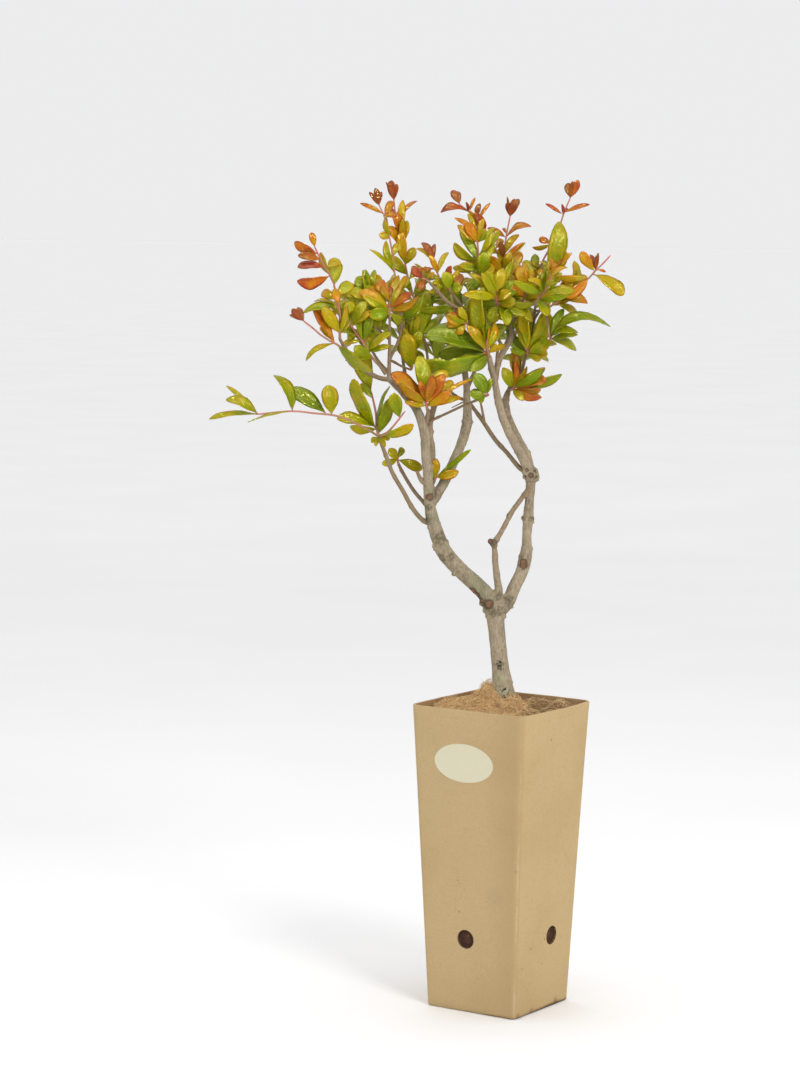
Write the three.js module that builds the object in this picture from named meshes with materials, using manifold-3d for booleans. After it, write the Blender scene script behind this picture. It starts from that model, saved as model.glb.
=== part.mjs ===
// Young pomegranate tree, trained as a bonsai, in a tall square pot of kraft cardboard.
// Millimetres, Z up. The origin is the middle of the pot's base, and the face with the label looks along -Y.
import * as THREE from "three";
import { mergeVertices } from "three/addons/utils/BufferGeometryUtils.js";
import Module from "manifold-3d";

const wasm = await Module();
wasm.setup();

// Pot
const POT_HEIGHT = 305;
const POT_SIDE_TOP = 131;
const POT_SIDE_BASE = 104;
const POT_WALL = 2.5;
const POT_FLOOR = 3;
const POT_CORNER = 7;
const POT_LEVELS = 3;
const CORNER_SEGMENTS = 2;
// Points along each wall between its corners, as shares of the wall, so that it can bow
const WALL_POINTS = [-0.4, 0.4];
// How far each wall leans out at the middle of the rim
const RIM_BOW = { front: 1.5, right: 4, back: 3, left: 1.5 };
const RIM_BOW_POWER = 3;
const DRAIN_RADIUS = 9.5;
const DRAIN_HEIGHT = 74;
const DRAIN_CUT = 20;
const DRAIN_SIDES = 14;
// Where each drain hole lies along its wall: front, right, back and left
const DRAIN_OFFSETS = [-4, 11, 0, 3];

// Root ball, with a plain upright hole that the trunk stands in
const CLEARANCE = 0.3;
const SOIL_TOP = 284;
const HOLE_RADIUS = 13.2;
const HOLE_FLOOR = 276.7;
const HOLE_SIDES = 12;
const HOLE_X = 1.7;
const HOLE_Y = 1.05;
const HOLE_TOP = 600;

// Coconut fibre in the pot, square in plan with round corners, that rises above its base in waves and hills.
// The waves are given as turns for each millimetre, the hills as x, y, height and width, both in the tree's
// own directions
const COIR_HALF = 59.5;
const COIR_SECTORS = 24;
const COIR_RINGS = [1, 0.82, 0.62, 0.44, 0.28, 0];
const COIR_SQUARENESS = 4;
const COIR_EDGE = 5;
const COIR_BASE = 291;
const COIR_WAVE = 0.8;
const COIR_RIPPLE = { across: 0.31, start: 0.4, away: 0.27, slanting: 0.17 };
const COIR_MOUNDS = [[-14, 2, 26, 11], [12, -8, 15, 12], [-20, -20, 9, 24], [56, 20, 4, 7], [-40, 10, 8, 20]];

// Label, a plain oval on the front wall
const LABEL_WIDTH = 68;
const LABEL_HEIGHT = 38.6;
const LABEL_THICKNESS = 0.8;
const LABEL_OFFSET = -3;
const LABEL_CENTRE = 252;
const LABEL_STAND = 1.7;
const LABEL_SIDES = 32;

// The tree is turned about the pot's axis: its own X runs across the view and its Y runs away from it
const TREE_TURN = THREE.MathUtils.degToRad(31.8);
const AWAY = new THREE.Vector3(0, 1, 0);
const VIEWER = new THREE.Vector3(0, -1, 0.1);

// Wood and stems: a limb has more sides the thicker it is
const WOOD_SIDES = [{ above: 9, sides: 10 }, { above: 3, sides: 6 }, { above: 0, sides: 4 }];
const STEM_SIDES = 4;
const STEM_STEP = 11;
const TWIG_GAP = 0.35;
const STEM_POINT = 0.35;

// Leaves that grow by a rule: opposite pairs along a shoot and one small pair at its end. Places are shares
// of the shoot, turns and leans are in degrees, and a spread is the width of a draw round the middle value
const RULE_STEM_RADIUS = [1.2, 0.8];
const RULE_PLACE = { first: 0.1, span: 0.82, last: 0.97 };
const RULE_TURN = { pair: 90, start: 30, pairSpread: 40, leafSpread: 24 };
const RULE_LEAN = { foot: 64, towardsTip: 22, spread: 20 };
const RULE_LENGTH = { least: 0.72, spread: 0.45, towardsTip: 0.25 };
const RULE_WIDTH = { least: 0.36, spread: 0.1 };
const RULE_ARCH = { least: 0.03, spread: 0.1 };
const RULE_AGE_SPAN = 0.22;
const LAST_PAIR = { lean: 0.4, least: 0.42, spread: 0.2, width: 0.36, arch: 0.05, age: 0.3 };
const TANGENT_STEP = 0.02;

// Blades: the share of the full width at each station from root to tip, by the blade's area
const BLADE_STATIONS = {
  large: [[0, 0], [0.3, 0.74], [0.62, 1], [0.87, 0.74]],
  middle: [[0, 0], [0.42, 0.9], [0.8, 0.9]],
  small: [[0, 0], [0.58, 1]],
};
const LARGE_BLADE = 560;
const MIDDLE_BLADE = 240;
const LEAST_BLADE = 225;
const LEAST_LEAVES = 3;
const BLADE_THICKNESS = 1;
const BLADE_ROOT_WIDTH = 0.8;
const ROOT_SHARE = 0.4;
const LAST_ROOT = 0.8;
const BLADE_ARCH = 0.06;

// Leaf colours from the oldest leaves, age 0, to the young tips, age 1
const AGE_COLOURS = [
  [0, 0x466914], [0.3, 0x6e8c19], [0.45, 0xa5aa1e], [0.6, 0xcda528], [0.75, 0xd77d1e], [0.9, 0xb94123],
  [1, 0x8c2832],
];

// Colour and roughness of the other pieces
const FINISHES = {
  pot: [0xbea578, 0.85],
  soil: [0x3a2d22, 1],
  coir: [0xc29a6c, 1],
  label: [0xe8dfc0, 0.6],
  trunk: [0xa79a86, 0.9],
};
const LEAF_ROUGHNESS = 0.4;

// Points nearer than this are one point when a mesh becomes a solid
const MERGE_TOLERANCE = 1e-4;

// Limbs from the foot up: points x, y, z along the middle of the wood, with the radius there
const LIMBS = {
  trunk: [
    [2, 0, 277, 12], [2, 0, 307, 12.2], [1, 0, 322, 10.2], [-2, 0, 343, 8.6], [-5, 1, 370, 8.3],
    [-7, 1, 389, 8.9], [-7, 1, 405, 9.5],
  ],
  left_low: [
    [-6, 0, 392, 8.4], [-14, -1, 410, 8.2], [-25, -4, 422, 8], [-37, -7, 433, 7.8], [-49, -10, 445, 7.8],
    [-58, -13, 456, 8], [-63, -16, 466, 7.5], [-67, -19, 478, 6.9], [-71, -22, 492, 6.2],
    [-74, -26, 509, 5.3], [-75, -32, 531, 4.9], [-77, -39, 555, 4.9], [-79, -46, 578, 4.7],
    [-85, -50, 597, 4.2], [-93, -49, 608, 3.9], [-103, -46, 619, 3.7], [-115, -41, 630, 3.3],
  ],
  left_back: [
    [-73, -17, 497, 3.6], [-73, -15, 518, 3.8], [-73, -18, 540, 3.8], [-72, -22, 558, 3.8],
    [-74, -27, 571, 3.7], [-74, -29, 584, 3.2], [-71, -29, 597, 2.8], [-67, -23, 608, 2.3],
  ],
  left_inner: [
    [-72, -17, 503, 4.2], [-66, -14, 514, 4.9], [-58, -11, 529, 5], [-49, -6, 549, 5],
    [-42, 0, 567, 4.9], [-38, 5, 583, 5.2], [-38, 8, 598, 4.2], [-39, 12, 618, 3.3], [-41, 16, 638, 3.2],
    [-39, 21, 653, 3],
  ],
  low_left_twig: [
    [-71, -21, 485, 2.7], [-80, -23, 489, 2.4], [-90, -29, 501, 2.3], [-99, -37, 518, 2.2],
    [-109, -45, 536, 2.1], [-115, -51, 552, 2.1], [-122, -57, 571, 1.6],
  ],
  low_mid_twig: [
    [-75, -22, 502, 2.1], [-80, -21, 507, 2], [-90, -15, 518, 1.9], [-100, -8, 533, 1.8],
    [-105, -4, 542, 1.6],
  ],
  middle: [
    [-3, 2, 401, 4.6], [-4, 0, 416, 4.1], [-7, -2, 436, 3.4], [-9, -4, 459, 2.8], [-9, -4, 465, 2.9],
    [-1, 0, 479, 2.7], [8, 6, 496, 2.6], [16, 10, 507, 2.6], [25, 14, 519, 2.4],
  ],
  right_low: [
    [-4, 2, 396, 7.2], [5, 5, 406, 6.9], [12, 8, 422, 6.4], [19, 10, 437, 6.5], [22, 11, 451, 6.6],
    [23, 13, 462, 5.2], [23, 13, 475, 4.7], [24, 14, 488, 5.3], [25, 15, 504, 4.7], [26, 14, 521, 4.8],
    [26, 14, 534, 6.4],
  ],
  right_front: [
    [24, 11, 536, 5], [16, 3, 553, 4.6], [6, -5, 571, 4.3], [-2, -11, 589, 4.1], [-7, -16, 606, 3.8],
    [-10, -20, 623, 3.4], [-14, -23, 639, 3.2], [-17, -26, 651, 2.9],
  ],
  right_back: [
    [26, 18, 537, 4.6], [21, 24, 553, 4.1], [11, 30, 571, 3.8], [3, 35, 589, 3.6], [0, 38, 602, 3.5],
    [2, 40, 613, 3],
  ],
  crossing: [
    [24, 13, 536, 2.8], [17, 12, 538, 2.6], [13, 12, 541, 2.4], [2, 13, 554, 2.2], [-10, 16, 567, 2.2],
    [-22, 22, 584, 2.1], [-31, 26, 596, 1.9], [-38, 28, 604, 1.7], [-48, 26, 608, 1.6],
    [-58, 23, 616, 1.4],
  ],
  crossing_spur: [
    [-21, 22, 583, 1.6], [-23, 21, 595, 1.2], [-25, 20, 604, 0.9],
  ],
  thin_twig: [
    [-74, -31, 584, 1.7], [-72, -33, 588, 1.4], [-55, -27, 596, 1.3], [-38, -23, 604, 1.25],
    [-26, -28, 609, 1.2], [-21, -35, 612, 1.15], [-17, -41, 614, 1.1],
  ],
  dry_twig: [
    [-40, 8, 605, 0.9], [-45, 3, 603, 0.7], [-53, -2, 599, 0.5],
  ],
  cluster_stub: [
    [-78, -47, 585, 2.6], [-75, -53, 597, 1.9], [-76, -55, 601, 1.6],
  ],
  upper_right_fork: [
    [-10, -20, 628, 2.8], [-8, -13, 643, 3], [-2, -3, 657, 3.1], [4, 5, 667, 2.8], [5, 10, 684, 2.3],
    [1, 13, 704, 1.9], [-4, 13, 723, 1.6],
  ],
  fork_spur: [
    [-9, -15, 641, 1.7], [-9, -20, 652, 1.3], [-6, -23, 666, 1],
  ],
  left_twig: [
    [-113, -41, 628, 2.5], [-124, -45, 630, 2.3], [-139, -51, 638, 2], [-149, -58, 649, 1.9],
    [-156, -63, 659, 1.8], [-161, -66, 668, 1.5],
  ],
  upright_twig: [
    [-114, -41, 630, 2.2], [-114, -38, 649, 1.7], [-114, -36, 668, 1.5], [-114, -36, 689, 1.3],
  ],
  left_spur: [
    [-117, -41, 633, 1.9], [-122, -41, 640, 1.5], [-127, -40, 645, 1.2],
  ],
  red_twig: [
    [-114, -38, 647, 1.5], [-110, -30, 645, 1.3], [-102, -20, 640, 1.2], [-95, -13, 637, 1],
  ],
  sprig6_twig: [
    [-16, -23, 647, 2], [-21, -12, 663, 1.8], [-30, -15, 679, 1.7], [-39, -23, 690, 1.7],
    [-45, -28, 701, 1.6], [-53, -30, 712, 1.4],
  ],
  dark_twig: [
    [-42, -26, 696, 1.7], [-55, -36, 702, 1.9], [-66, -43, 713, 1.6], [-76, -50, 724, 1.3],
  ],
};

// Twigs and spurs that carry the leafy sprays, given the same way
const TWIGS = {
  crotch_spur: [[-72, -16, 523, 2.2], [-69, -17, 528, 1.5]],
  bud_spur: [[-155, -63, 659, 1.6], [-160, -67, 660, 1.2]],
  left_mid_twig: [
    [-114, -38, 647, 1.6], [-108, -28, 660, 1.4], [-104, -21, 672, 1.2], [-103, -16, 684, 1.1],
  ],
  sprig1_twig: [
    [-71, -29, 597, 1.9], [-73, -21, 612, 1.6], [-76, -13, 637, 1.4], [-79, -7, 658, 1.3],
    [-84, 0, 678, 1.2], [-91, 3, 702, 1.1],
  ],
  left_stub: [[-76, -33, 524, 2.4], [-82, -33, 530, 2.2], [-86, -34, 538, 1.5]],
  left_front_spur: [[-33, -20, 684, 1.5], [-37, -34, 683, 1.1]],
  right_shoot: [
    [2, 40, 613, 2.4], [7, 36, 621, 1.9], [12, 33, 628, 1.7], [16, 28, 636, 1.6], [19, 23, 649, 1.5],
    [23, 18, 666, 1.4], [27, 13, 684, 1.3], [28, 10, 700, 1.2],
  ],
  orange_right_spur: [[4, 38, 616, 1.6], [6, 31, 616, 1.2]],
  shoot_spur: [[19, 23, 649, 1.5], [21, 15, 651, 1.2]],
  big_leaf_twig: [
    [27, 13, 686, 1.3], [32, 5, 695, 1.2], [36, 0, 704, 1.1], [38, -5, 714, 1.1], [40, -8, 721, 1],
  ],
  sprig8_twig: [[28, 11, 695, 1.3], [34, 0, 696, 1.2], [41, -12, 699, 1.1]],
  arch_twig: [[34, 0, 696, 1.2], [39, -7, 689, 1.1], [41, -13, 678, 1]],
  sprig3_twig: [[1, 13, 704, 1.6], [-3, 23, 720, 1.3], [-7, 26, 737, 1.1]],
  sprig4_twig: [[5, 10, 684, 1.9], [-7, 0, 695, 1.6], [-18, -7, 709, 1.4], [-26, -10, 725, 1.2]],
  mass_twig_a: [[-1, 5, 690, 1.6], [-4, -10, 695, 1.4], [-7, -20, 700, 1.2]],
  mass_twig_b: [[5, 8, 681, 1.7], [11, 2, 693, 1.5], [15, -7, 703, 1.2]],
  fill_left_a: [[-114, -36, 667, 1.5], [-123, -16, 673, 1.3], [-131, 2, 680, 1.1]],
  fill_left_b: [[-104, -20, 674, 1.2], [-99, 7, 683, 1.1], [-94, 23, 692, 1]],
  fill_right_a: [[-2, -3, 657, 1.9], [-9, 20, 668, 1.5], [-16, 33, 680, 1.2]],
  fill_right_b: [[13, -2, 698, 1.3], [23, -23, 701, 1.2], [29, -35, 706, 1.1]],
  fill_right_c: [[-40, 26, 660, 2], [-43, 13, 675, 1.5], [-47, 3, 687, 1.2]],
  back_left_a: [[-93, -49, 608, 2.2], [-97, -16, 619, 1.9], [-101, 20, 634, 1.7], [-105, 46, 652, 1.3]],
  back_left_b: [[-103, -46, 619, 2], [-115, -10, 632, 1.8], [-127, 23, 643, 1.5], [-135, 45, 653, 1.2]],
  back_left_c: [[-67, -23, 607, 2.2], [-67, 7, 620, 1.8], [-70, 33, 637, 1.3]],
  back_mid_a: [[-39, 21, 651, 3], [-36, 31, 667, 2.4], [-33, 41, 683, 1.9], [-31, 48, 695, 1.4]],
  back_mid_b: [[-41, 16, 636, 2.4], [-48, 40, 652, 1.8], [-55, 59, 666, 1.3]],
  back_mid_c: [[-39, 12, 616, 2.4], [-32, 40, 632, 1.9], [-24, 69, 652, 1.4]],
  back_right_a: [[-2, -3, 656, 2.2], [2, 31, 669, 1.8], [5, 66, 686, 1.3]],
  back_right_b: [[23, 18, 665, 1.3], [25, 46, 679, 1.2], [27, 69, 692, 1.1]],
  back_right_c: [[4, 5, 665, 2.2], [11, 36, 677, 1.7], [17, 63, 692, 1.3]],
  back_right_low: [[2, 40, 611, 2.3], [6, 61, 624, 1.7], [10, 79, 636, 1.2]],
};

// Knots and old cuts that stand proud of the bark: x, y, z and radius
const KNOBS = [
  [26, 11, 534, 9.5], [-10, -4, 465, 4.4], [24, 14, 488, 6.8], [-15, -5, 406, 6.8], [-38, 3, 584, 5.8],
];

// Leafy sprays, each one or more shoots. A leaf is its place along the shoot from 0 to 1, its tip x, y, z,
// its width, the turn of its face in degrees, its age from 0 to 1 and, where it is unusual, its arch
const SPRAYS = {
  spray_low_left: [
    {
      route: [[-122, -57, 571], [-125, -52, 581], [-126, -48, 594], [-129, -39, 606], [-132, -30, 616]],
      radius: [1.5, 0.9],
      leaves: [
        [0.2, -148, -61, 629, 19, -45, 0.4], [0.81, -142, -31, 623, 8, 10, 0.35],
        [0.96, -145, -19, 660, 20, -10, 0.42, 0.05], [0.11, -113, -65, 610, 15, -30, 0.25],
        [0.16, -116, -48, 623, 9, 55, 0.3, 0.04], [0.04, -130, -59, 568, 6.1, 30, 0.5],
        [0.04, -125, -69, 565, 6.1, 15, 0.5], [0.03, -116, -77, 566, 6.1, 15, 0.5],
        [0.05, -112, -50, 571, 6.1, 15, 0.5], [0.09, -89, -60, 585, 13, -45, 0.5, 0.08],
        [0.23, -150, -62, 582, 11, -35, 0.42], [0.27, -163, -59, 592, 15, 45, 0.4],
      ],
    },
    {
      route: [[-122, -57, 573], [-114, -61, 578], [-106, -65, 587], [-97, -69, 599]],
      radius: [1.2, 0.8],
      leaves: [
        [0.81, -108, -73, 617, 14, -10, 0.35],
      ],
    },
    {
      route: [
        [-122, -57, 573], [-141, -70, 585], [-162, -79, 594], [-184, -88, 597], [-206, -93, 599],
        [-238, -99, 596],
      ],
      radius: [1.2, 0.8],
      leaves: [
        [0.45, -171, -86, 624, 17, 10, 0.47], [0.49, -209, -74, 618, 18, 35, 0.12],
        [0.79, -218, -99, 634, 15, 40, 0.35, 0.12], [0.8, -246, -107, 588, 7, 60, 0.48, 0.05],
        [1, -267, -103, 611, 13, 35, 0.45, 0.1], [1, -285, -94, 592, 8, 45, 0.45, 0.05],
        [1, -269, -89, 624, 5, 15, 0.45],
      ],
    },
  ],
  spray_low_middle: [
    {
      route: [[-105, -4, 542], [-106, -3, 546], [-106, -1, 549]],
      radius: [1.4, 0.9],
      leaves: [
        [0.44, -114, -6, 558, 9, 10, 0.5], [0.58, -120, -11, 543, 8, -10, 0.42],
        [0.65, -82, 5, 537, 11, 10, 0.45, 0.1], [0.82, -101, 4, 559, 7, -10, 0.4],
      ],
    },
  ],
  spray_crotch: [
    {
      route: [[-69, -17, 528], [-68, -18, 530], [-67, -19, 533]],
      radius: [1.4, 0.9],
      leaves: [
        [0.66, -68, -25, 549, 9, 10, 0.6], [0.66, -46, -24, 537, 10, -10, 0.62],
        [0.85, -35, -29, 560, 6.1, 15, 0.25, -0.1], [0.46, -75, -29, 546, 8, 5, 0.5],
      ],
    },
  ],
  spray_left_edge: [
    {
      route: [[-161, -66, 668], [-161, -68, 681], [-161, -69, 692], [-164, -71, 707], [-167, -74, 722]],
      radius: [1.4, 1],
      leaves: [
        [0.96, -167, -68, 746, 14, 10, 0.42], [0.79, -150, -63, 722, 13, 10, 0.45],
        [0.09, -178, -77, 699, 13, 10, 0.5], [0.63, -185, -74, 706, 7, 60, 0.5, 0.05],
        [0.07, -153, -59, 685, 8, 10, 0.42], [0.94, -163, -84, 703, 9, 10, 0.7],
        [0.42, -149, -60, 703, 12, 10, 0.4], [0.59, -175, -62, 685, 10, 10, 0.5],
        [0.72, -180, -63, 714, 10, 10, 0.55],
      ],
    },
  ],
  tip_left_edge: [
    {
      route: [[-167, -74, 722], [-172, -78, 732], [-178, -81, 742], [-185, -86, 757]],
      radius: [1, 0.8],
      leaves: [
        [0.23, -181, -71, 751, 10, -35, 0.55], [0.98, -188, -89, 770, 7, 10, 0.7],
        [0.84, -204, -89, 760, 10, -25, 0.85], [0.72, -199, -92, 749, 9, 15, 0.87],
        [0.52, -201, -86, 737, 11, 35, 0.95], [0.23, -200, -86, 721, 13, -40, 0.82],
        [0.48, -162, -75, 742, 7, 10, 0.6],
      ],
    },
  ],
  spray_left_bud: [
    {
      route: [[-160, -67, 660], [-164, -70, 663], [-170, -73, 666]],
      radius: [1.2, 1],
      leaves: [
        [0.81, -186, -75, 697, 15, 45, 0.75], [0.69, -194, -77, 650, 8, 40, 0.5, 0.05],
        [0.42, -129, -82, 638, 18, -45, 0.38], [0.61, -180, -65, 679, 9, 30, 0.6],
      ],
    },
  ],
  tip_left_bud: [
    {
      route: [[-170, -73, 666], [-179, -76, 672], [-187, -79, 679], [-196, -82, 686]],
      radius: [0.95, 0.8],
      leaves: [
        [0.96, -206, -85, 697, 8, -10, 1], [0.96, -201, -78, 699, 6.1, 15, 0.98],
        [0.96, -209, -78, 691, 4, 15, 1],
      ],
    },
  ],
  spray_left_mass: [
    {
      route: [
        [-127, -40, 645], [-135, -43, 655], [-139, -45, 663], [-144, -46, 670], [-150, -48, 679],
        [-155, -50, 686],
      ],
      radius: [1.4, 0.9],
      leaves: [
        [0.4, -148, -39, 700, 16, 25, 0.36], [0.19, -115, -51, 675, 12, 40, 0.42],
        [0.15, -137, -34, 671, 9, 10, 0.4], [0.06, -148, -53, 659, 13, -10, 0.3],
        [0.48, -152, -49, 664, 4, 15, 0.5], [0.91, -161, -44, 706, 12, 10, 0.42],
        [0.86, -138, -57, 703, 12, 10, 0.4], [0.98, -163, -56, 695, 8, 10, 0.5],
        [0.65, -156, -40, 669, 9, -10, 0.4],
      ],
    },
    {
      route: [[-138, -43, 661], [-137, -30, 679], [-136, -20, 697], [-135, -13, 714]],
      radius: [1.2, 0.9],
      leaves: [
        [0.99, -148, -17, 726, 14, -10, 0.25], [0.82, -153, -23, 714, 13, 10, 0.42],
        [0.99, -125, -10, 729, 10, -10, 0.5], [0.99, -151, -7, 720, 6.1, 15, 0.92],
        [0.59, -123, -30, 681, 12, -10, 0.36], [0.41, -126, -21, 662, 13, -10, 0.38],
        [0.74, -124, -12, 715, 12, 10, 0.45], [0.36, -151, -23, 692, 12, -10, 0.36],
      ],
    },
  ],
  spray_upright: [
    {
      route: [[-114, -36, 689], [-114, -36, 695], [-114, -36, 701], [-114, -35, 708]],
      radius: [1.3, 0.9],
      leaves: [
        [0.48, -93, -46, 712, 11, 35, 0.8, 0.05], [0.31, -86, -39, 708, 13, -45, 0.65],
        [0.48, -143, -44, 713, 14, 30, 0.62], [0.29, -135, -48, 691, 13, -10, 0.32, 0.2],
        [0.97, -115, -33, 719, 6.1, 15, 0.92], [0.78, -123, -36, 719, 8, -10, 0.7],
        [0.94, -127, -26, 724, 13, -10, 0.68], [0.97, -110, -23, 732, 7, 50, 0.42, 0.05],
        [0.23, -103, -27, 682, 10, 10, 0.4], [0.14, -125, -22, 681, 10, 10, 0.35],
      ],
    },
  ],
  spray_left_inner: [
    {
      route: [[-95, -13, 637], [-93, -12, 637], [-92, -11, 643], [-93, -8, 655], [-94, -3, 667]],
      radius: [1.2, 0.9],
      leaves: [
        [0.22, -98, -23, 672, 19, -5, 0.48], [0.87, -77, -1, 713, 19, -30, 0.36],
        [0.69, -85, -15, 674, 12, 10, 0.4], [0.58, -106, -18, 660, 11, 10, 0.4],
        [0.99, -100, 3, 688, 11, 50, 0.4], [0.97, -88, -13, 688, 11, 10, 0.42],
        [0.44, -84, -2, 654, 11, -10, 0.35],
      ],
    },
  ],
  spray_second: [
    {
      route: [
        [-103, -16, 684], [-104, -16, 693], [-106, -16, 708], [-110, -15, 728], [-113, -13, 750],
        [-116, -12, 766], [-119, -11, 778],
      ],
      radius: [1.1, 0.8],
      leaves: [
        [0.01, -82, -24, 707, 13, 10, 0.3], [0.53, -134, -20, 755, 6.1, 50, 0.42, 0.05],
        [0.82, -126, -15, 769, 8, 10, 0.58], [0.3, -118, -7, 724, 11, -10, 0.45],
        [0.38, -97, -11, 728, 10, -10, 0.45], [0.64, -107, -8, 761, 8, 10, 0.5],
      ],
    },
  ],
  tip_second: [
    {
      route: [[-119, -11, 778], [-122, -10, 788], [-127, -8, 798]],
      radius: [0.9, 0.75],
      leaves: [
        [0.95, -131, -10, 814, 7, 20, 1], [0.95, -136, -15, 810, 5, 15, 1],
        [0.95, -125, -4, 811, 5, 15, 1], [0.55, -145, -14, 799, 5, 15, 0.8, 0.1],
        [0.44, -113, -6, 802, 8, 10, 0.75], [0.46, -110, -15, 788, 6.1, 15, 0.72],
      ],
    },
  ],
  spray_first: [
    {
      route: [
        [-91, 3, 702], [-94, 5, 714], [-98, 7, 727], [-103, 8, 749], [-106, 9, 764], [-108, 10, 772],
      ],
      radius: [1.1, 0.85],
      leaves: [
        [0.72, -100, 4, 782, 11, 10, 0.5], [0.69, -118, 1, 777, 10, 25, 0.6],
        [0.87, -112, 0, 791, 11, 35, 0.75], [0.51, -91, 5, 756, 10, 10, 0.5],
        [0.42, -114, 3, 747, 11, -10, 0.45], [0.37, -86, 12, 737, 9, 10, 0.5],
        [0.21, -103, -4, 725, 8, 10, 0.42], [0.13, -82, 9, 722, 11, -10, 0.42],
      ],
    },
  ],
  tip_first: [
    {
      route: [[-108, 10, 772], [-111, 12, 786], [-113, 13, 803]],
      radius: [0.9, 0.75],
      leaves: [
        [0.98, -116, 11, 822, 9, -10, 0.95], [0.98, -111, 16, 819, 7, 10, 0.95],
        [0.98, -121, 19, 821, 4, 15, 0.95], [0.44, -91, 16, 804, 5, 15, 0.8, 0.08],
        [0.46, -118, 22, 796, 5, 15, 0.85],
      ],
    },
  ],
  spray_orange_left: [
    {
      route: [[-76, -55, 601], [-77, -57, 605], [-77, -59, 610]],
      radius: [1.5, 1],
      leaves: [
        [0.23, -54, -66, 617, 12, -10, 0.7], [0.55, -60, -68, 634, 14, 15, 0.85],
        [0.36, -52, -50, 628, 14, -30, 0.65], [0.3, -96, -64, 608, 9, 10, 0.6],
        [0.5, -110, -63, 636, 19, 40, 0.75], [0.68, -102, -75, 625, 14, -35, 0.68],
        [0.95, -85, -61, 652, 17, 30, 0.38], [0.95, -82, -72, 626, 9, 10, 0.82],
        [0.85, -71, -80, 634, 12, -30, 0.92], [0.95, -57, -53, 638, 14, 30, 0.5],
        [0.43, -33, -61, 632, 5, 15, 0.7],
      ],
    },
  ],
  spray_left_front: [
    {
      route: [[-37, -34, 683], [-39, -36, 683], [-41, -39, 683]],
      radius: [1.1, 0.8],
      leaves: [
        [0.53, -59, -44, 690, 14, 10, 0.65], [0.77, -63, -33, 679, 10, -10, 0.6],
        [0.26, -46, -44, 698, 9, -10, 0.5], [0.65, -48, -41, 673, 8, -10, 0.6],
      ],
    },
  ],
  spray_sixth: [
    {
      route: [[-53, -30, 712], [-59, -30, 719], [-65, -30, 726], [-70, -29, 736], [-73, -28, 745]],
      radius: [1.1, 0.8],
      leaves: [
        [0.12, -61, -36, 733, 12, 10, 0.42], [0.18, -55, -24, 739, 9, 40, 0.9],
        [0.35, -73, -37, 723, 5, 15, 0.5], [0.64, -75, -38, 749, 6.1, 15, 0.65],
        [0.96, -82, -31, 762, 8, 40, 0.95], [0.96, -72, -25, 761, 6.1, 15, 0.95],
        [0.74, -86, -26, 736, 3, 15, 0.8], [0.08, -44, -24, 731, 9, -10, 0.95],
        [0.12, -44, -35, 719, 11, 10, 0.4],
      ],
    },
  ],
  spray_dark: [
    {
      route: [[-76, -50, 724], [-79, -51, 726], [-83, -53, 727]],
      radius: [1.1, 0.8],
      leaves: [
        [0.84, -92, -56, 738, 9, -10, 0.93], [0.66, -85, -57, 716, 8, 10, 0.9],
        [0.47, -71, -55, 733, 4, 15, 0.6],
      ],
    },
  ],
  spray_right_front: [
    {
      route: [[-17, -26, 651], [-18, -31, 655], [-19, -35, 661], [-19, -38, 668]],
      radius: [1.6, 1],
      leaves: [
        [0.54, -29, -40, 714, 22, -45, 0.42, 0.05], [0.41, -37, -44, 681, 13, 25, 0.55],
        [0.89, -22, -26, 696, 13, -45, 0.15], [0.2, -79, -41, 672, 27, 40, 0.12, 0.1],
        [0.14, -78, -52, 638, 25, -45, 0.32, 0.08], [0.27, -8, -33, 663, 7, 10, 0.6],
        [0.54, -9, -28, 679, 11, -10, 0.4], [0.09, -34, -46, 638, 12, -10, 0.2],
        [0.31, -58, -37, 643, 7, 50, 0.2, 0.05],
      ],
    },
  ],
  spray_thin_twig: [
    {
      route: [[-17, -41, 614], [-17, -45, 615], [-18, -50, 615], [-21, -53, 615]],
      radius: [1, 0.8],
      leaves: [
        [0.76, -30, -55, 635, 14, 10, 0.15], [0.83, -35, -58, 615, 12, 10, 0.2],
        [0.7, -14, -54, 631, 6.1, 15, 0.2], [0.81, -25, -49, 607, 6.1, 15, 0.35],
      ],
    },
  ],
  spray_orange_right: [
    {
      route: [[6, 31, 616], [7, 27, 617], [9, 23, 619]],
      radius: [1.3, 0.9],
      leaves: [
        [0.58, 41, 18, 626, 14, 35, 0.78], [0.45, 35, 26, 617, 12, -45, 0.7],
        [0.45, 34, 18, 607, 10, -45, 0.75], [0.35, 17, 15, 607, 8, 10, 0.5],
        [0.69, 5, 27, 653, 14, 45, 0.66], [0.78, 10, 21, 645, 10, -45, 0.8],
        [0.45, -2, 16, 637, 12, 10, 0.38], [0.82, 35, 9, 635, 13, -30, 0.25],
        [0.78, 55, 35, 633, 13, -45, 0.3],
      ],
    },
  ],
  spray_shoot: [
    {
      route: [[21, 15, 651], [21, 11, 654], [21, 7, 657]],
      radius: [1.2, 0.9],
      leaves: [
        [0.48, 22, 6, 686, 13, 30, 0.15], [0.39, -17, 2, 692, 7, 45, 0.15, 0.22],
        [0.24, 4, 7, 658, 8, -25, 0.28], [0.66, 43, -1, 692, 20, -35, 0.42],
        [0.48, 42, 1, 665, 13, -10, 0.38], [0.39, 50, 14, 662, 12, 45, 0.45],
        [0.2, 41, 14, 653, 11, 10, 0.52], [0.34, 34, 8, 646, 8, 10, 0.5],
      ],
    },
  ],
  spray_seventh: [
    {
      route: [[28, 10, 700], [29, 8, 714], [30, 7, 731], [35, 5, 745], [44, 3, 762], [51, 2, 779]],
      radius: [1.2, 0.85],
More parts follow.
